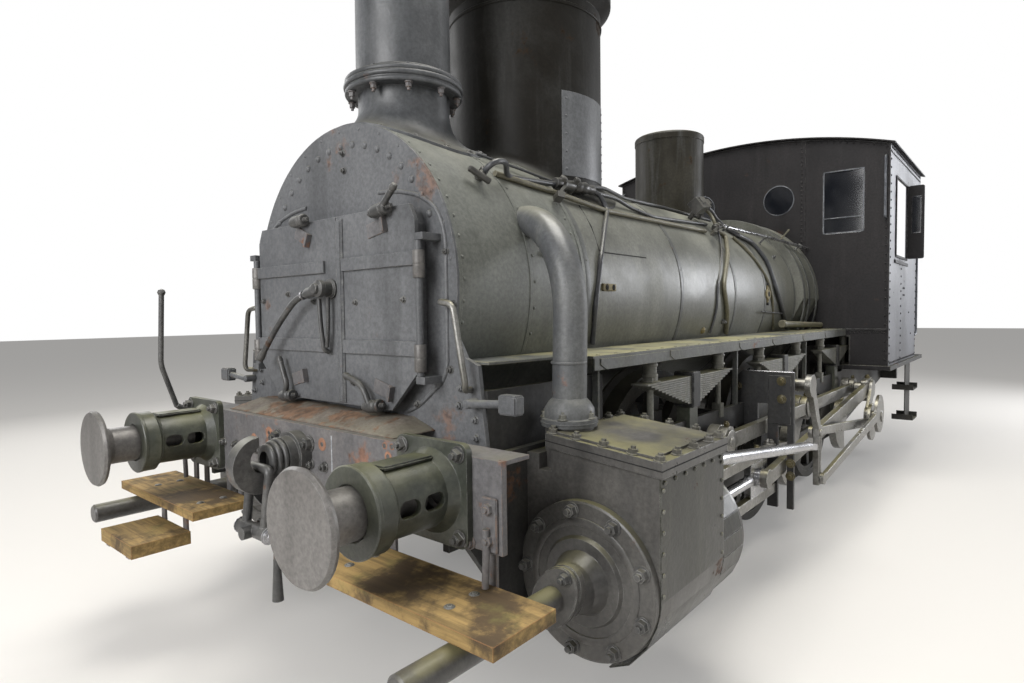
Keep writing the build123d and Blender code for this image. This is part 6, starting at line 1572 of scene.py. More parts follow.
@dataclass
class BoilerFittings:
    """Bands, seams, pipes, valves and handrails along the boiler."""

    smokebox_radius: float = 0.748
    barrel_radius: float = 0.728
    firebox_radius: float = 0.8

    def bands(self) -> None:
        """Lagging bands, the rings of the firebox, the smokebox seams and their rivets."""
        shell = Shell()
        barrel, firebox = self.barrel_radius, self.firebox_radius
        for distance, radius, wide in (
            (1177, barrel, 46), (2268, barrel, 44), (3196, barrel, 40), (3866, barrel, 40),
            (4690, barrel, 40), (4742, firebox, 44), (4894, firebox, 52), (5149, firebox, 44),
        ):
            start = DATUM.on_boiler((distance + wide) / 1000, 0, 0)
            profile = (
                (0.0, radius - 0.004), (0.0, radius + 0.0026), (0.003, radius + 0.0036),
                (wide / 1000 - 0.003, radius + 0.0036), (wide / 1000, radius + 0.0026),
                (wide / 1000, radius - 0.004),
            )
            shell.lathe(profile, start, AHEAD, 96)
        shell.place("boiler_bands", "band_grey")
        rim = Shell()
        for distance, radius in ((258, 0.7485), (700, 0.748), (1120, 0.748)):
            start = DATUM.on_boiler(distance / 1000, 0, 0)
            profile = (
                (0.0, radius - 0.004), (0.0, radius + 0.003), (0.018, radius + 0.003),
                (0.018, radius - 0.004),
            )
            rim.lathe(profile, start, BACK, 96)
        rim.place("smokebox_seams", "smokebox_grey")
        rivets = FastenerRow(Head.RIVET, 0.008, 0.0045)
        for distance in (0.286, 1.095):
            rivets.girth(distance, self.smokebox_radius, [-18 + 6.6 * step for step in range(33)])
        sides = [*range(-16, 60, 9), *range(124, 200, 9)]
        rivets.girth(0.735, self.smokebox_radius, sides)
        rivets.place("smokebox_rivets", "smokebox_grey")
        screws = FastenerRow(Head.RIVET, 0.0055, 0.003)
        for distance in (1.2, 2.29, 3.216, 3.886):
            screws.girth(distance, self.barrel_radius + 0.003, [-15, 12, 168, 195])
        screws.place("band_screws", "boiler_grey")

    def pipe_run(
        self, shell: Shell, points: Sequence[Point], radius: float, bend: float = 0.06, side: int = 1,
    ) -> None:
        """Pipe through points given as distance behind the beam, angle and radius."""
        shell.tube(self.wrapped(points, side), radius, bend)

    def wrapped(self, points: Sequence[Point], side: int) -> list[Vector]:
        """Places along a run, with more where it goes round the boiler, so that it hugs the shell.

        Args:
            points: Stops as distance behind the beam, angle and radius, in millimetres and degrees.
            side: 1 for the locomotive's left, -1 for its right.

        Returns:
            The places in the row frame.
        """
        found: list[Vector] = []
        for before, after in zip(points, points[1:]):
            steps = max(1, int(abs(after[1] - before[1]) / 12))
            for step in range(steps):
                share = step / steps
                distance, angle, reach = (one + (other - one) * share for one, other in zip(before, after))
                found.append(self.spot(distance, angle, reach, side))
        found.append(self.spot(*points[-1], side))
        return found

    @staticmethod
    def spot(distance: float, angle: float, reach: float, side: int = 1) -> Vector:
        """Place on either side of the boiler, from millimetres and degrees."""
        return DATUM.on_boiler(distance / 1000, angle if side > 0 else 180 - angle, reach / 1000)

    def pipes(self) -> None:
        """Dark and pale pipes along the boiler's shoulder and down its side."""
        dark, pale = Shell(), Shell()
        for radius, stops in (
            (0.0135, (
                (558, 39.9, 745), (549, 38.5, 860), (658, 40.7, 860), (780, 43.6, 762), (1189, 46.3, 768),
            )),
            (0.0135, (
                (1556, 48.0, 778), (1610, 46.0, 776), (1640, 39.9, 744), (1510, 30.8, 742), (1322, 12.5, 742),
                (1247, -6.3, 742), (1296, -22.0, 742),
            )),
            (
                0.012,
                (
                    (1560, 47.2, 772), (1820, 48.0, 770), (2010, 45.8, 744), (2257, 42.8, 740),
                    (3250, 49.5, 740),
                ),
            ),
            (
                0.011,
                (
                    (1560, 49.0, 790), (1760, 53.0, 786), (2110, 57.0, 744), (2787, 62.3, 739),
                    (3631, 61.2, 739),
                ),
            ),
            (
                0.008,
                (
                    (3290, 43.6, 760), (3250, 37.0, 742), (3097, 26.0, 740), (2850, 4.8, 740),
                    (2828, -21.5, 740),
                ),
            ),
            (0.0145, ((3330, 58.0, 846), (3460, 57.5, 822), (3545, 56.0, 784), (3640, 50.0, 750))),
            (0.0185, (
                (3558, 55.0, 760), (3737, 45.2, 748), (4000, 39.5, 748), (4071, 24.9, 748), (4114, 5.5, 748),
                (4310, -9.0, 748), (4568, -21.5, 748),
            )),
            (0.0065, ((3739, -9.1, 756), (4268, -10.6, 756))),
        ):
            self.pipe_run(dark, stops, radius)
        for radius, stops in (
            (0.014, (
                (700, 44.0, 762), (978, 41.8, 762), (1140, 41.4, 757), (1600, 38.6, 742), (3034, 40.6, 742),
            )),
            (
                0.0165,
                (
                    (3290, 44.2, 752), (3418, 40.0, 746), (3184, 24.5, 746), (2938, 5.0, 746),
                    (3117, -22.0, 746),
                ),
            ),
            (0.013, ((3290, 57.5, 830), (3328, 52.7, 806), (3300, 48.5, 790), (3290, 44.8, 766))),
            (
                0.012,
                (
                    (3600, 41.0, 742), (3700, 33.0, 741), (3821, 23.7, 740), (3952, 11.4, 740),
                    (4029, -0.8, 740), (4218, -22.0, 740),
                ),
            ),
            (0.026, ((4120, -16.0, 828), (5252, -17.6, 858))),
        ):
            self.pipe_run(pale, stops, radius)
        self.pipe_run(pale, ((2240, 40.0, 742), (4690, 40.0, 742)), 0.014, side=-1)
        start, along = self.spot(4130, -16.0, 828), Vector((-1.0, 0.0, 0.0))
        pale.lathe(
            ((-0.03, 0.0), (-0.03, 0.03), (-0.02, 0.034), (0.03, 0.034), (0.04, 0.03), (0.04, 0.0)), start,
            along, 20,
        )
        stick = mm(-4600, 627, 2252)
        pale.rod(stick, mm(-4600, 705, 2338), 0.0075, 10, 0.002)
        dark.place("boiler_pipes_dark", "pipe_black", replaces=("boiler_pipes",))
        pale.place("boiler_pipes_pale", "pipe_olive", replaces=("boiler_pipes",))

    def handrails(self) -> None:
        """Bright handrail to the cab with its posts, and the thin rod from the chimney to the first valve."""
        rail, posts = Shell(), Shell()
        for side in SIDES:
            self.pipe_run(rail, ((3392, 44.5, 790), (4339, 42.6, 810), (5252, 36.0, 861)), 0.014, 0.0, side)
            end = self.spot(3392, 44.5, 790, side)
            rail.lathe(
                ((0.0, 0.0), (0.002, 0.013), (0.012, 0.019), (0.024, 0.019), (0.032, 0.013)), end, BACK, 16,
            )
            for distance, angle, reach, foot in (
                (3440, 44.4, 791, 728), (4300, 42.7, 809, 728), (5040, 37.4, 850, 800),
            ):
                start, end = self.spot(distance, angle, foot, side), self.spot(distance, angle, reach, side)
                along = end - start
                length = along.length
                profile = (
                    (0.0, 0.0), (0.0, 0.02), (0.005, 0.02), (0.007, 0.01), (length - 0.02, 0.008),
                    (length - 0.016, 0.017), (length, 0.0205), (length + 0.016, 0.017), (length + 0.02, 0.0),
                )
                posts.lathe(profile, start, along, 16)
        rail.place("handrail_tubes", "bright_rail", replaces=("handrails",))
        posts.place("handrail_posts", "pipe_grey", replaces=("handrails",))
        thin = Shell()
        self.pipe_run(thin, ((705, 56.1, 770), (960, 51.5, 772), (1195, 47.5, 772)), 0.0065, 0.05)
        thin.place("draw_rods", "pipe_black")

    def valves(self) -> None:
        """Valve bodies on the pipes: the bar handle in front, the first and the second group."""
        shell = Shell()
        middle = self.spot(469, 39.9, 790).lerp(self.spot(555, 34.9, 792), 0.5)
        shell.rod(middle, self.spot(560, 39.9, 790), 0.0125, 12)
        for first, last, radius, steps, ease in (
            ((469, 39.9, 790), (555, 34.9, 792), 0.0145, 14, 0.004),
            ((560, 39.9, 744), (560, 39.9, 806), 0.02, 16, 0.004),
            ((1350, 46.7, 735), (1350, 46.7, 832), 0.018, 14, 0.004),
            ((1230, 46.4, 735), (1230, 46.4, 822), 0.021, 14, 0.004),
            ((3200, 56.5, 850), (3420, 60.6, 862), 0.018, 12, 0.003),
            ((3060, 54.0, 730), (3060, 54.0, 850), 0.019, 14, 0.003),
            ((3340, 59.4, 730), (3340, 59.4, 850), 0.019, 14, 0.003),
            ((3290, 44.2, 732), (3290, 44.2, 812), 0.017, 14, 0.004),
        ):
            shell.rod(self.spot(*first), self.spot(*last), radius, steps, ease)
        leaning = (0, 0.6, -0.8)
        for first, last, width, thick, side in (
            ((1262, 45.6, 780), (1085, 37.0, 786), 0.03, 0.022, AHEAD),
            ((1100, 37.8, 785), (1062, 34.4, 788), 0.058, 0.04, AHEAD),
            ((2960, 52.0, 845), (3250, 57.2, 850), 0.105, 0.08, leaning),
            ((3010, 53.0, 880), (3120, 55.0, 882), 0.06, 0.04, leaning),
            ((3270, 57.4, 868), (3420, 60.8, 868), 0.05, 0.044, leaning),
            ((3230, 42.6, 778), (3060, 37.6, 782), 0.03, 0.026, AHEAD),
            ((3075, 38.2, 781), (3020, 35.6, 784), 0.062, 0.042, AHEAD),
        ):
            shell.bar(self.spot(*first), self.spot(*last), width, thick, side)
        self.turned(shell, self.spot(1180, 46.3, 776), self.spot(1575, 48.1, 780), (
            (0.0, 0.0), (0.0, 0.026), (0.04, 0.03), (0.1, 0.03), (0.12, 0.02), (0.15, 0.02), (0.16, 0.035),
            (0.2, 0.035), (0.22, 0.025), (0.3, 0.026), (0.42, 0.03), (0.46, 0.024), (0.5, 0.034),
            (0.58, 0.035), (0.6, 0.025), (0.66, 0.03), (0.74, 0.035), (0.8, 0.028), (0.86, 0.023),
            (0.93, 0.027), (1.0, 0.018), (1.0, 0.0),
        ))
        self.turned(shell, self.spot(3180, 42.0, 774), self.spot(3372, 46.4, 776), (
            (0.0, 0.0), (0.0, 0.02), (0.18, 0.022), (0.2, 0.03), (0.44, 0.03), (0.48, 0.022), (0.62, 0.022),
            (0.66, 0.027), (0.9, 0.027), (1.0, 0.018), (1.0, 0.0),
        ))
        shell.place("boiler_valves", "valve_black", replaces=("boiler_pipes",))

    @staticmethod
    def turned(shell: Shell, start: Vector, end: Vector, profile: Profile) -> None:
        """Turned body between two places, its profile given as share of the length and radius."""
        along = end - start
        shell.lathe([(share * along.length, radius) for share, radius in profile], start, along, 20)

    def small_plates(self) -> None:
        """Brackets, cladding seams, the hole with its bracket and plugs on the boiler's side."""
        plate, holes = Shell(), FastenerRow(Head.BUTTON, 0.0125, 0.003)
        for side in SIDES:
            start, end = DATUM.on_boiler(1.322, 1.4, 0.722), DATUM.on_boiler(1.452, 1.4, 0.722)
            y0, y1 = sorted((side * start.y, side * (start.y + 0.018)))
            plate.block((end.x, y0, start.z - 0.019), (start.x, y1, start.z + 0.019), 0.003)
            for step in (0.038, 0.104):
                holes.at((start.x - step, side * (start.y + 0.0178), start.z), (0, side, 0))
        eye = Shell()
        facing = DATUM.on_boiler(3.925, 2.0, 1.0) - DATUM.on_boiler(3.925, 2.0, 0.0)
        centre = DATUM.on_boiler(3.925, 2.0, 0.7285)
        hexagon = ((0, 1), (1, 0.35), (1, -0.35), (0, -1), (-1, -0.35), (-1, 0.35))
        for high, wide, lift in ((0.094, 0.02, 0.01), (0.058, 0.046, 0.016)):
            outline = [(centre.x + wide * x, centre.z + high * z) for x, z in hexagon]
            plate.prism(outline, 1, centre.y - 0.004, centre.y + lift, 0.003)
        eye.lathe(((0.0, 0.0), (0.0, 0.021), (0.019, 0.021), (0.019, 0.0)), centre, facing, 20)
        for rise in (0.082, -0.082):
            spot = centre + Vector((0.0, 0.0, rise))
            eye.lathe(((0.0, 0.0), (0.0, 0.012), (0.013, 0.012), (0.013, 0.0)), spot, facing, 12)
        plate.place("side_brackets", "bracket_ochre")
        eye.place("bracket_eyes", "shadow_gap")
        holes.place("bracket_holes", "shadow_gap")
        plugs = FastenerRow(Head.SQUARE, 0.016, 0.02)
        for distance, angle in ((3.02, -15), (4.38, 30), (4.96, 24), (0.79, 19), (0.83, 12)):
            radius = self.barrel_radius if distance > 1.2 else self.smokebox_radius
            plugs.girth(distance, radius, (angle, 180 - angle))
        plugs.place("washout_plugs", "pipe_grey")
        pair = FastenerRow(Head.RIVET, 0.026, 0.018).girth(2.702, self.barrel_radius, (-19.7, 199.7))
        pair.place("board_plugs", "bracket_ochre")
        seam = Shell()
        for side in SIDES:
            self.pipe_run(seam, ((1401, 16.3, 728.6), (1857, 16.3, 728.6)), 0.003, 0.0, side)
            self.pipe_run(
                seam, ((1366, 39.5, 728.6), (1358, 28.0, 728.6), (1350, 16.6, 728.6)), 0.0034, 0.0, side,
            )
        seam.place("cladding_seams", "shadow_gap")

    def build(self) -> None:
        """Makes all pieces along the boiler."""
        self.bands()
        self.pipes()
        self.handrails()
        self.valves()
        self.small_plates()


@dataclass
class ChimneyAndDome:
    """Rings and bolts of the chimney, rim and patch of the dome, lid handle of the sandbox."""

    chimney_x: float = -638.0
    dome_x: float = -1612.0
    dome_radius: float = 0.467
    rim_radius: float = 0.527
    sandbox_x: float = -3600.0

    def chimney(self) -> None:
        """Ring mouldings, ring bolts and the bolts round the skirt."""
        shell = Shell()
        base = mm(self.chimney_x, 0, 2707)
        for start, radius in ((-0.034, 0.283), (-0.006, 0.289), (0.018, 0.283)):
            ring = bead(start, 0.012, radius, 0.008)
            shell.lathe([(start, radius - 0.02), *ring, (start + 0.024, radius - 0.02)], base, UP, 64)
        shell.lathe(
            ((0.028, 0.226), (0.028, 0.262), (0.036, 0.266), (0.054, 0.262), (0.066, 0.24), (0.07, 0.226)),
            base, UP, 64,
        )
        top = mm(self.chimney_x, 0, 4380)
        shell.lathe(
            (
                (-0.036, 0.29), (-0.036, 0.2995), (-0.03, 0.303), (-0.01, 0.303), (-0.004, 0.2995),
                (-0.004, 0.29),
            ),
            top, UP, 64,
        )
        shell.place("chimney_rings", "chimney_black")
        nuts = FastenerRow(Head.NUT, 0.015, 0.026)
        over = FastenerRow(Head.NUT, 0.015, 0.016)
        for x, y in around(268, [18 + 36 * step for step in range(10)]):
            nuts.at(mm(self.chimney_x + x, y, 2672), (0, 0, -1))
            over.at(mm(self.chimney_x + x, y, 2736), UP)
        nuts.place("chimney_ring_nuts", "beam_grey")
        over.place("chimney_ring_bolts", "chimney_black")
        skirt = FastenerRow(Head.BUTTON, 0.0165, 0.007)
        for step in range(16):
            turn = radians(11.25 + 22.5 * step)
            x, y = self.chimney_x + 388 * cos(turn), 388 * sin(turn)
            if x > -300:
                continue
            radius = 0.7565
            height = sqrt(radius**2 - (y / 1000) ** 2)
            skirt.at(
                (mm(x, y, 0).x, y / 1000, DATUM.up(1.707) + height),
                (0.35 * cos(turn), y / 1000 + 0.2 * sin(turn), height),
            )
        skirt.place("chimney_skirt_bolts", "dull_steel")

    def dome(self) -> None:
        """Rim bead, rim nuts, the ring below it and the patch plate of the dome."""
        shell = Shell()
        rim, edge = mm(self.dome_x, 0, 3460), self.rim_radius
        shell.lathe((
            (-0.028, edge - 0.02), (-0.0275, edge - 0.001), (-0.022, edge + 0.003), (-0.006, edge + 0.003),
            (0.0, edge - 0.001), (0.006, edge + 0.003), (0.022, edge + 0.003), (0.0295, edge - 0.001),
            (0.03, edge - 0.02),
        ), rim, UP, 80)
        ring, inner = bead(-0.16, 0.01, self.dome_radius, 0.0075), self.dome_radius - 0.006
        shell.lathe([(-0.16, inner), *ring, (-0.14, inner)], rim, UP, 80)
        shell.place("dome_rings", "dome_black")
        nuts = FastenerRow(Head.NUT, 0.017, 0.022)
        rim = around(500, [10 + 18 * step for step in range(20)])
        nuts.spots([(self.dome_x + x, y, 3489) for x, y in rim], UP)
        nuts.place("dome_rim_nuts", "dome_black")
        self.patch(64.5, 118.5, 2362, 2830)

    def patch(self, first: float, last: float, low: float, high: float) -> None:
        """Riveted patch plate on both sides of the dome.

        Args:
            first: Turn of its front edge, in degrees from straight ahead.
            last: Turn of its rear edge.
            low: Height of its lower edge above the rail, in millimetres.
            high: Height of its upper edge.
        """
        plate, rivets = Shell(), FastenerRow(Head.RIVET, 0.008, 0.005)
        outer, inner, steps = self.dome_radius + 0.003, self.dome_radius - 0.006, 16
        for side in SIDES:
            rim, back = [], []
            for step in range(steps + 1):
                turn = radians(first + (last - first) * step / steps)
                x, y = cos(turn), side * sin(turn)
                rim.append((self.dome_x / 1000 + DATUM.beam + outer * x, outer * y))
                back.append((self.dome_x / 1000 + DATUM.beam + inner * x, inner * y))
            plate.prism([*rim, *reversed(back)], 2, DATUM.up(low / 1000), DATUM.up(high / 1000))
            edge = [(last - 3.4, low + 40 + 48 * step) for step in range(9)]
            edge += [(first + 3.4, low + 40 + 97 * step) for step in range(5)]
            for turn, rise in edge:
                facing = Vector((cos(radians(turn)), side * sin(radians(turn)), 0.0))
                rivets.at(mm(self.dome_x, 0, rise) + facing * outer, facing)
        plate.place("dome_patches", "dome_patch")
        rivets.place("dome_patch_rivets", "dome_patch")

    def sandbox(self) -> None:
        """Lid handle, hinge and seam of the sandbox."""
        shell = Shell()
        top = mm(self.sandbox_x, 0, 3100)
        handle = ((-0.075, -0.004), (-0.075, 0.042), (0.075, 0.042), (0.075, -0.004))
        shell.tube([top + Vector((0.0, y, z)) for y, z in handle], 0.0085, 0.03, 10)
        shell.block(top + Vector((-0.19, -0.05, -0.02)), top + Vector((-0.12, 0.05, 0.006)), 0.006)
        shell.lathe(((-0.072, 0.285), (-0.072, 0.2885), (-0.064, 0.2885), (-0.064, 0.285)), top, UP, 56)
        shell.place("sandbox_trim", "sandbox_brown")

    def build(self) -> None:
        """Makes the small pieces on the boiler's mountings."""
        self.chimney()
        self.dome()
        self.sandbox()


# Boards, cab and motion


@dataclass
class RunningBoards:
    """Valance angles, edge screws and planks' coach bolts."""

    top: float = 1409.0
    edge: float = 1045.0

    def build(self) -> None:
        """Makes the valance pieces and the bolts on the boards."""
        shell = Shell()
        for start, end in ((800, 1430), (1460, 2190), (2420, 3020), (3060, 3760), (3800, 4440), (4480, 5220)):
            outline = (
                (-end, -14), (-start, -14), (-start, -40), (-start - 46, -62), (-end + 46, -62), (-end, -40),
            )
            corners = [tuple(mm(x, 0, self.top + drop).xz) for x, drop in outline]
            for side in SIDES:
                low, high = sorted((side * (self.edge - 1) / 1000, side * (self.edge + 4) / 1000))
                shell.prism(corners, 1, low, high)
        shell.place("valance_strips", "board_dusty")
        bolts = FastenerRow(Head.RIVET, 0.01, 0.005)
        bolts.line(mm(-820, self.edge - 26, self.top), mm(-5200, self.edge - 26, self.top), 30, UP)
        bolts.both_sides().place("board_rivets", "board_dusty")
        planks = FastenerRow(Head.BUTTON, 0.014, 0.004)
        planks.spots([(x, y, 702) for y in (600, 1110) for x in (60, 170)], UP)
        planks.both_sides().place("plank_bolts", "dull_steel")


@dataclass
class Cab:
    """Window frames and panes, seams, angle trim, rivet rows, gutter and grab rails of the cab."""

    front: float = -5250.0
    half: float = 1406.0
    floor: float = 1062.0
    eaves: float = 3133.0
    crown: float = 3352.0

    def roof_height(self, y: float) -> float:
        """Height of the roof's underside at a crosswise place, in millimetres."""
        rise = self.crown - self.eaves - 12
        radius = (self.half**2 + rise**2) / (2 * rise)
        return self.crown - 12 - radius + sqrt(radius**2 - y**2)

    def front_windows(self) -> None:
        """Round and square front windows with their frames and panes."""
        frames, panes = Shell(), Shell()
        x = self.front
        bars = [((x - 3, y, 2341), (x + 3, y + 10, 2941)) for y in (834, 1183)]
        bars += [((x - 3, 844, z), (x + 2, 1183, z + 9)) for z in (2339, 2933, 2483)]
        for side in SIDES:
            centre = mm(x, side * 412, 2722)
            profile = ((-0.004, 0.145), (-0.004, 0.153), (0.002, 0.153), (0.004, 0.15), (0.004, 0.145))
            frames.lathe(profile, centre, AHEAD, 40)
            panes.lathe(((-0.008, 0.0), (-0.008, 0.149), (-0.003, 0.149), (-0.003, 0.0)), centre, AHEAD, 40)
            panes.slab((x - 9, 832, 2339), (x - 4, 1193, 2943), 0.0, side)
            for low, high in bars:
                frames.slab(low, high, 0.001, side)
        frames.place("front_window_frames", "frame_trim")
        panes.place("front_window_panes", "pane")

    def side_windows(self) -> None:
        """Side window frames with a sill strip, and the draught screens' panes."""
        frames, panes = Shell(), Shell()
        y = self.half
        for side in SIDES:
            for x0, x1, z0, z1 in (
                (-6206, -5554, 2098, 2122), (-6206, -5554, 2858, 2878), (-6220, -6198, 2098, 2878),
                (-5562, -5540, 2098, 2878), (-6260, -5500, 2040, 2072),
            ):
                frames.slab((x0, y, z0), (x1, y + 12, z1), 0.002, side)
            panes.slab((-6269, 1446, 2392), (-6266, 1536, 2768), 0.0, side)
            for across in (1440, 1529):
                frames.slab((-6278, across, 2384), (-6256, across + 8, 2776), 0.001, side)
        frames.place("side_window_frames", "cab_black")
        panes.place("screen_panes", "pane")

    def sheets(self) -> None:
        """Seams and cover strips of the front sheet, angle trims and the lower apron."""
        shell = Shell()
        x, half, floor = self.front, self.half, self.floor
        for side in SIDES:
            shell.slab((x, 628, 2160), (x + 5, 670, 3284), 0.001, side)
            shell.slab((x, half - 16, floor), (x + 14, half, self.eaves), 0.001, side)
            shell.slab((x, 1046, 1392), (x + 7, half - 1, 1412), 0.002, side)
            shell.slab((x + 40, 1046, floor - 40), (x + 62, half + 28, floor + 2), 0.002, side)
        path = [(x + 6, y, self.roof_height(abs(y)) - 12) for y in range(-1380, 1381, 60)]
        shell.pipe(path, 0.009, 0.0, 8)
        shell.place("cab_trims", "cab_black")

    def rivets(self) -> None:
        """Rivet rows on the side sheets and the front sheet."""
        rows = FastenerRow(Head.RIVET, 0.0115, 0.007)
        x, y, low = self.front, self.half, self.floor
        for first, last, count in (
            ((x - 32, low + 40), (x - 32, self.eaves - 70), 27),
            ((-5900, low + 40), (-5900, 2000), 13),
            ((-6866, low + 40), (-6866, 2560), 20),
            ((x - 60, self.eaves - 34), (-7120, self.eaves - 34), 30),
            ((x - 60, self.eaves - 78), (-7120, self.eaves - 78), 30),
            ((x - 60, low + 26), (-6840, low + 26), 22),
        ):
            rows.line(mm(first[0], y, first[1]), mm(last[0], y, last[1]), count, LEFT)
        single = ((-6040, 1810), (-6110, 1810), (-6040, 1740), (-6110, 1740), (-6420, 1560), (-6560, 1330))
        rows.spots([(back, y, z) for back, z in single], LEFT)
        rows.both_sides().place("cab_side_rivets", "cab_black")
        front = FastenerRow(Head.RIVET, 0.01, 0.005)
        front.line(mm(x, y - 30, low + 60), mm(x, y - 30, self.eaves - 40), 25, AHEAD)
        front.line(mm(x + 5, 636, 2200), mm(x + 5, 636, 3250), 26, AHEAD)
        front.spots([(x, 1080 + 34 * place, 1374) for place in range(9)], AHEAD)
        front.both_sides().place("cab_front_rivets", "cab_black")
        arch = FastenerRow(Head.RIVET, 0.009, 0.005)
        across = [-1330 + 57.8 * step for step in range(47)]
        arch.spots([(x, place, self.roof_height(place) - 34) for place in across], AHEAD)
        arch.place("cab_arch_rivets", "cab_black")

    def rails(self) -> None:
        """Upright grab rails behind the cab's side sheets and on the front corner."""
        shell = Shell()
        x, inner, outer = self.front, self.half - 5, self.half + 4
        rear = ((-6880, inner, 1300), (-6930, outer, 1320), (-6930, outer, 2420), (-6880, inner, 2440))
        ahead = ((x, 1372, 2440), (x + 40, 1372, 2450), (x + 40, 1372, 3010), (x, 1372, 3020))
        for side in SIDES:
            shell.pipe(rear, 0.0145, 0.03, 14, side)
            shell.pipe(ahead, 0.0115, 0.03, 12, side)
        shell.place("cab_grab_rails", "frame_trim")

    def build(self) -> None:
        """Makes all pieces of the cab."""
        self.front_windows()
        self.side_windows()
        self.sheets()
        self.rivets()
        self.rails()


@dataclass
class Motion:
    """Nuts, oil cups, caps and edge trims on rods, crossheads, bars and motion plates."""

    throw: float = 316.0
    axle_height: float = 632.0
    axles: tuple[float, ...] = (-1760.0, -3340.0, -4920.0)
    main_outer: float = 1277.0
    plate_face: float = -2588.0
    bar_y: float = 1195.0
    bar_top: float = 756.0
    spindle: tuple[float, float] = (1365.0, 915.0)
    leads: tuple[tuple[str, int, float], ...] = (("left", 1, 135.0), ("right", -1, 45.0))

    def pin(self, axle: float, lead: float) -> tuple[float, float]:
        """Place of a crank pin as millimetres forward of the beam and above the rail."""
        turn = radians(lead)
        return axle + self.throw * cos(turn), self.axle_height + self.throw * sin(turn)

    def plates(self) -> None:
        """Bright top edges, bolts and the raised panel of the motion plates."""
        edge, panel = Shell(), Shell()
        face = mm(self.plate_face, 0, 0).x
        for side in SIDES:
            edge.slab((-2606, 1004, 1203), (-2582, 1322, 1212), 0.003, side)
            corners = [mm(0, side * y, z) for y, z in ((1168, 880), (1306, 880), (1306, 1186), (1168, 1186))]
            panel.prism([(corner.y, corner.z) for corner in corners], 0, face, face + 0.004, 0.0015)
        edge.place("motion_plate_edges", "bright_steel")
        panel.place("motion_plate_panels", "frame_black")
        bolts = FastenerRow(Head.BUTTON, 0.022, 0.016)
        bolts.spots(((-2584, 1251, 1038), (self.plate_face, 974, 1105), (-2584, 1249, 1151)), AHEAD)
        bolts.spots([(self.plate_face, 1305, z) for z in (560, 640, 720)], AHEAD)
        bolts.both_sides().place("motion_plate_bolts", "oily_steel")

    def bars(self) -> None:
        """Nuts of the slide bars and their oil cups."""
        bolts = FastenerRow(Head.NUT, 0.019, 0.022)
        bolts.spots([(x, y, self.bar_top) for x in (-1340, -2530) for y in (1184, 1206)], UP)
        bolts.both_sides().place("slide_bar_nuts", "rod_steel")
        shell = Shell()
        cup = ((0.0, 0.0), (0.0, 0.016), (0.024, 0.018), (0.026, 0.014), (0.034, 0.014), (0.036, 0.0))
        for side in SIDES:
            for x in (-1560, -2300):
                shell.lathe(cup, mm(x, side * self.bar_y, self.bar_top), UP, 18)
        shell.place("slide_bar_oilers", "oily_steel")

    def rods(self) -> None:
        """Caps, washers and oil cups at the rods' ends, each on its own body."""
        oil_cup = ((0.0, 0.0), (0.0, 0.015), (0.02, 0.017), (0.022, 0.012), (0.03, 0.012), (0.032, 0.0))
        pin_cap = (
            (-0.004, 0.0), (-0.004, 0.05), (0.0, 0.068), (0.008, 0.07), (0.01, 0.066), (0.01, 0.03),
            (0.018, 0.028), (0.02, 0.0),
        )
        main_cup = (
            (-0.012, 0.0), (-0.012, 0.02), (0.022, 0.022), (0.024, 0.015), (0.036, 0.015), (0.038, 0.0),
        )
        for label, side, lead in self.leads:
            cups = Shell()
            for axle, place in zip(self.axles, ("front", "middle", "rear")):
                x, z = self.pin(axle, lead)
                cups.lathe(oil_cup, mm(x, side * 1133, z + 86), UP, 16)
                if place != "rear":
                    cap = Shell().lathe(pin_cap, mm(x, side * 1156, z), (0, side, 0), 32)
                    cap.place(f"pin_cap_{place}_{label}", "rod_steel", f"{place}_wheelset")
            cups.place(f"coupling_oil_cups_{label}", "oily_steel", f"coupling_rod_{label}")
            strap = FastenerRow(Head.NUT, 0.018, 0.014)
            outer = side * (self.main_outer - 6)
            strap.spots(
                [(x + back, outer, z + rise) for back in (-70, 130) for rise in (-70, 70)], (0, side, 0),
            )
            strap.place(f"main_rod_nuts_{label}", "rod_steel", f"main_rod_{label}")
            cup = Shell().lathe(main_cup, mm(x, side * 1255, z + 92), UP, 18)
            cup.place(f"main_rod_oil_cup_{label}", "oily_steel", f"main_rod_{label}")

    def shafts(self) -> None:
        """Collars and bolts on the reversing shaft and link pins, and the glands of the valve spindles."""
        collar = ((0.0, 0.04), (0.0, 0.062), (0.006, 0.064), (0.018, 0.064), (0.022, 0.06), (0.022, 0.04))
        pin = ((-0.002, 0.0), (-0.002, 0.024), (0.006, 0.026), (0.012, 0.02), (0.012, 0.0))
        gland = (
            (0.0, 0.031), (0.0, 0.06), (-0.012, 0.064), (-0.03, 0.064), (-0.034, 0.05), (-0.07, 0.046),
            (-0.074, 0.031),
        )
        ring = ((0.0, 0.0302), (0.0, 0.038), (-0.016, 0.038), (-0.016, 0.0302))
        collars, glands, rings = Shell(), Shell(), Shell()
        across, height = self.spindle
        for side in SIDES:
            collars.lathe(collar, mm(-2790, side * 1018, 1110), (0, side, 0), 32)
            for z in (482, 782):
                collars.lathe(pin, mm(-2960, side * 1383, z), (0, side, 0), 20)
            glands.lathe(gland, mm(-1022, side * across, height), AHEAD, 32)
            rings.lathe(ring, mm(-1190, side * across, height), AHEAD, 28)
        collars.place("reversing_collars", "rod_steel")
        glands.place("spindle_glands", "bright_steel")
        rings.place("spindle_rings", "oily_steel")

    def build(self) -> None:
        """Makes all pieces of the motion."""
        self.plates()
        self.bars()
        self.rods()
        self.shafts()


# Stage


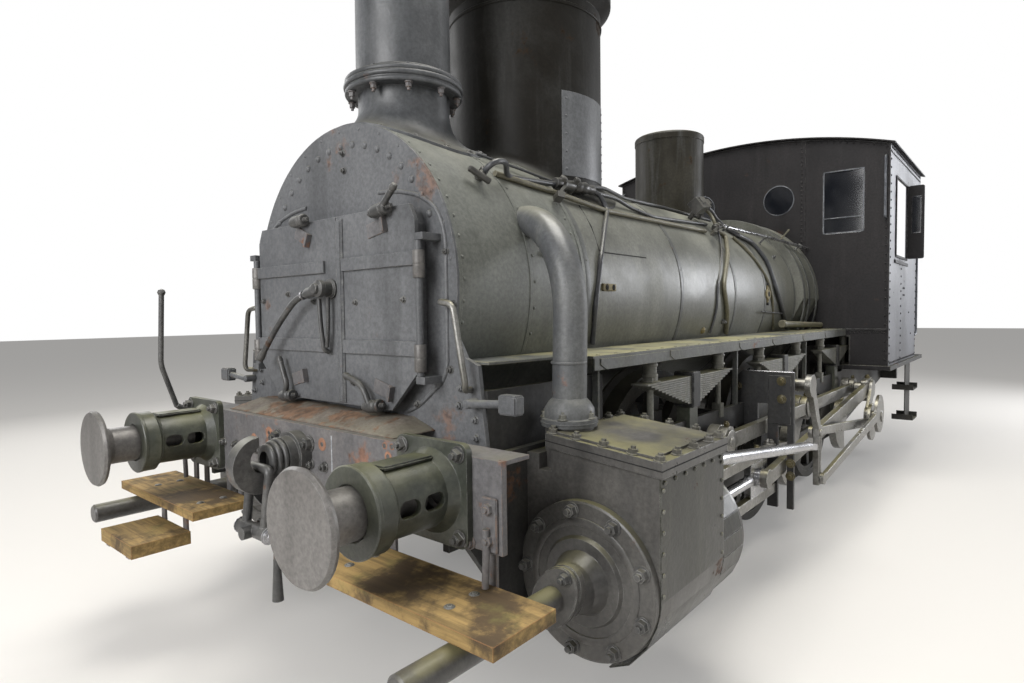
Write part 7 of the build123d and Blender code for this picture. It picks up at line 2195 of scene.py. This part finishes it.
@dataclass
class Studio:
    """Floor, world, lamps and the camera at the photograph's place."""

    camera_place: Point = (4.853, 2.459, 1.616)
    yaw: float = 220.12
    pitch: float = -2.48
    roll: float = -0.71
    lens: float = 21.87
    floor_colour: Colour = (0.62, 0.6, 0.57)
    floor_glow: float = 0.16
    shine_share: float = 0.5

    def floor(self) -> None:
        """Plain pale floor."""
        shell = bmesh.new()
        size = 60.0
        corners = ((-size, -size, 0.0), (size, -size, 0.0), (size, size, 0.0), (-size, size, 0.0))
        shell.faces.new([shell.verts.new(corner) for corner in corners])
        data = bpy.data.meshes.new("floor")
        shell.to_mesh(data)
        shell.free()
        ground = linked("floor", data)
        graph = Graph("pale_floor")
        path = graph.add("ShaderNodeLightPath").outputs
        seen = graph.math("MAXIMUM", path["Is Camera Ray"], path["Is Glossy Ray"])
        seen = graph.math("MAXIMUM", seen, path["Is Transmission Ray"])
        diffuse = graph.add("ShaderNodeBsdfDiffuse", {"Color": self.floor_colour})
        strength = graph.math("MULTIPLY", seen, self.floor_glow)
        glow = graph.add("ShaderNodeEmission", {"Color": WHITE, "Strength": strength})
        total = graph.add("ShaderNodeAddShader", {0: diffuse.outputs[0], 1: glow.outputs[0]})
        data.materials.append(graph.close(total.outputs[0]))
        ground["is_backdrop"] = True

    def world(self, level: float = 0.3) -> None:
        """White background to the camera and in glass, and a soft even light on the object."""
        world = bpy.data.worlds.new("studio_world")
        world.use_nodes = True
        nodes = Nodes(world.node_tree)
        path = nodes.add("ShaderNodeLightPath").outputs
        clear = nodes.math("MAXIMUM", path["Is Camera Ray"], path["Is Transmission Ray"])
        shine = nodes.math("MULTIPLY", path["Is Glossy Ray"], self.shine_share)
        strength = nodes.math("MAXIMUM", nodes.math("MAXIMUM", clear, shine), level)
        background = nodes.add("ShaderNodeBackground", {"Color": WHITE, "Strength": strength})
        nodes.add("ShaderNodeOutputWorld", {"Surface": background.outputs[0]})
        bpy.context.scene.world = world

    def lamp(
        self, name: str, place: Point, target: Point, size: float, power: float, colour: Colour = WHITE,
    ) -> None:
        """Square soft lamp that looks at a target."""
        data = bpy.data.lights.new(name, "AREA")
        data.shape = "SQUARE"
        data.size = size
        data.energy = power
        data.color = colour
        lamp = linked(name, data)
        lamp.location = place
        lamp.rotation_euler = (Vector(target) - Vector(place)).to_track_quat("-Z", "Y").to_euler()

    def lamps(self) -> None:
        """Lamps above, ahead and to the locomotive's left, with a rim lamp behind."""
        self.lamp("roof_lamp", (1.5, 0.8, 9.0), (0.5, 0.0, 1.5), 5.0, 700.0, (1.0, 0.98, 0.93))
        self.lamp("front_lamp", (10.0, 0.6, 4.4), (3.0, 0.0, 1.4), 4.5, 580.0)
        self.lamp("side_lamp", (0.5, 9.5, 4.6), (0.0, 0.8, 1.6), 4.0, 60.0)
        self.lamp("rear_lamp", (-9.0, 6.0, 3.6), (-3.0, 1.2, 1.8), 3.2, 420.0, (0.94, 0.96, 1.0))
        self.lamp("far_lamp", (2.5, -8.5, 5.0), (1.5, -0.8, 1.8), 4.0, 160.0)

    def camera(self) -> None:
        """Camera at the photograph's place, with its small roll."""
        yaw, pitch, roll = (radians(value) for value in (self.yaw, self.pitch, self.roll))
        ahead = Vector((cos(yaw) * cos(pitch), sin(yaw) * cos(pitch), sin(pitch)))
        right = ahead.cross(Vector((0.0, 0.0, 1.0))).normalized()
        above = right.cross(ahead)
        right, above = right * cos(roll) + above * sin(roll), above * cos(roll) - right * sin(roll)
        data = bpy.data.cameras.new("photo_camera")
        data.lens = self.lens
        data.sensor_width = 36.0
        data.sensor_fit = "HORIZONTAL"
        data.clip_end = 200.0
        camera = linked("photo_camera", data)
        turn = Matrix((right, above, -ahead)).transposed()
        camera.matrix_world = Matrix.Translation(self.camera_place) @ turn.to_4x4()
        bpy.context.scene.camera = camera

    def build(self) -> None:
        """Sets up everything that isn't the locomotive."""
        self.camera()
        self.floor()
        self.world()
        self.lamps()
        bpy.context.scene.view_settings.view_transform = "Standard"


def main() -> None:
    """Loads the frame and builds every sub-assembly in order."""
    logging.basicConfig(level=logging.INFO, format="%(name)s %(message)s")
    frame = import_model()
    sizes = {"cad": [list(corner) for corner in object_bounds()]}
    Studio().build()
    SHOP.coat_frame(frame["nodes"])
    assemblies: tuple[Callable[[], None], ...] = (
        SmokeboxFront().build,
        DoorFittings().build,
        BufferBeam().build,
        Cylinders().build,
        LeafSprings().build,
        BoilerFittings().build,
        ChimneyAndDome().build,
        RunningBoards().build,
        Cab().build,
        Motion().build,
    )
    for build in assemblies:
        build()
    bpy.context.view_layer.update()
    sizes["visual"] = [list(corner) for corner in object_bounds()]
    for key, corners in sizes.items():
        LOG.info("%s box: %s", key, corners)


if __name__ == "__main__":
    main()
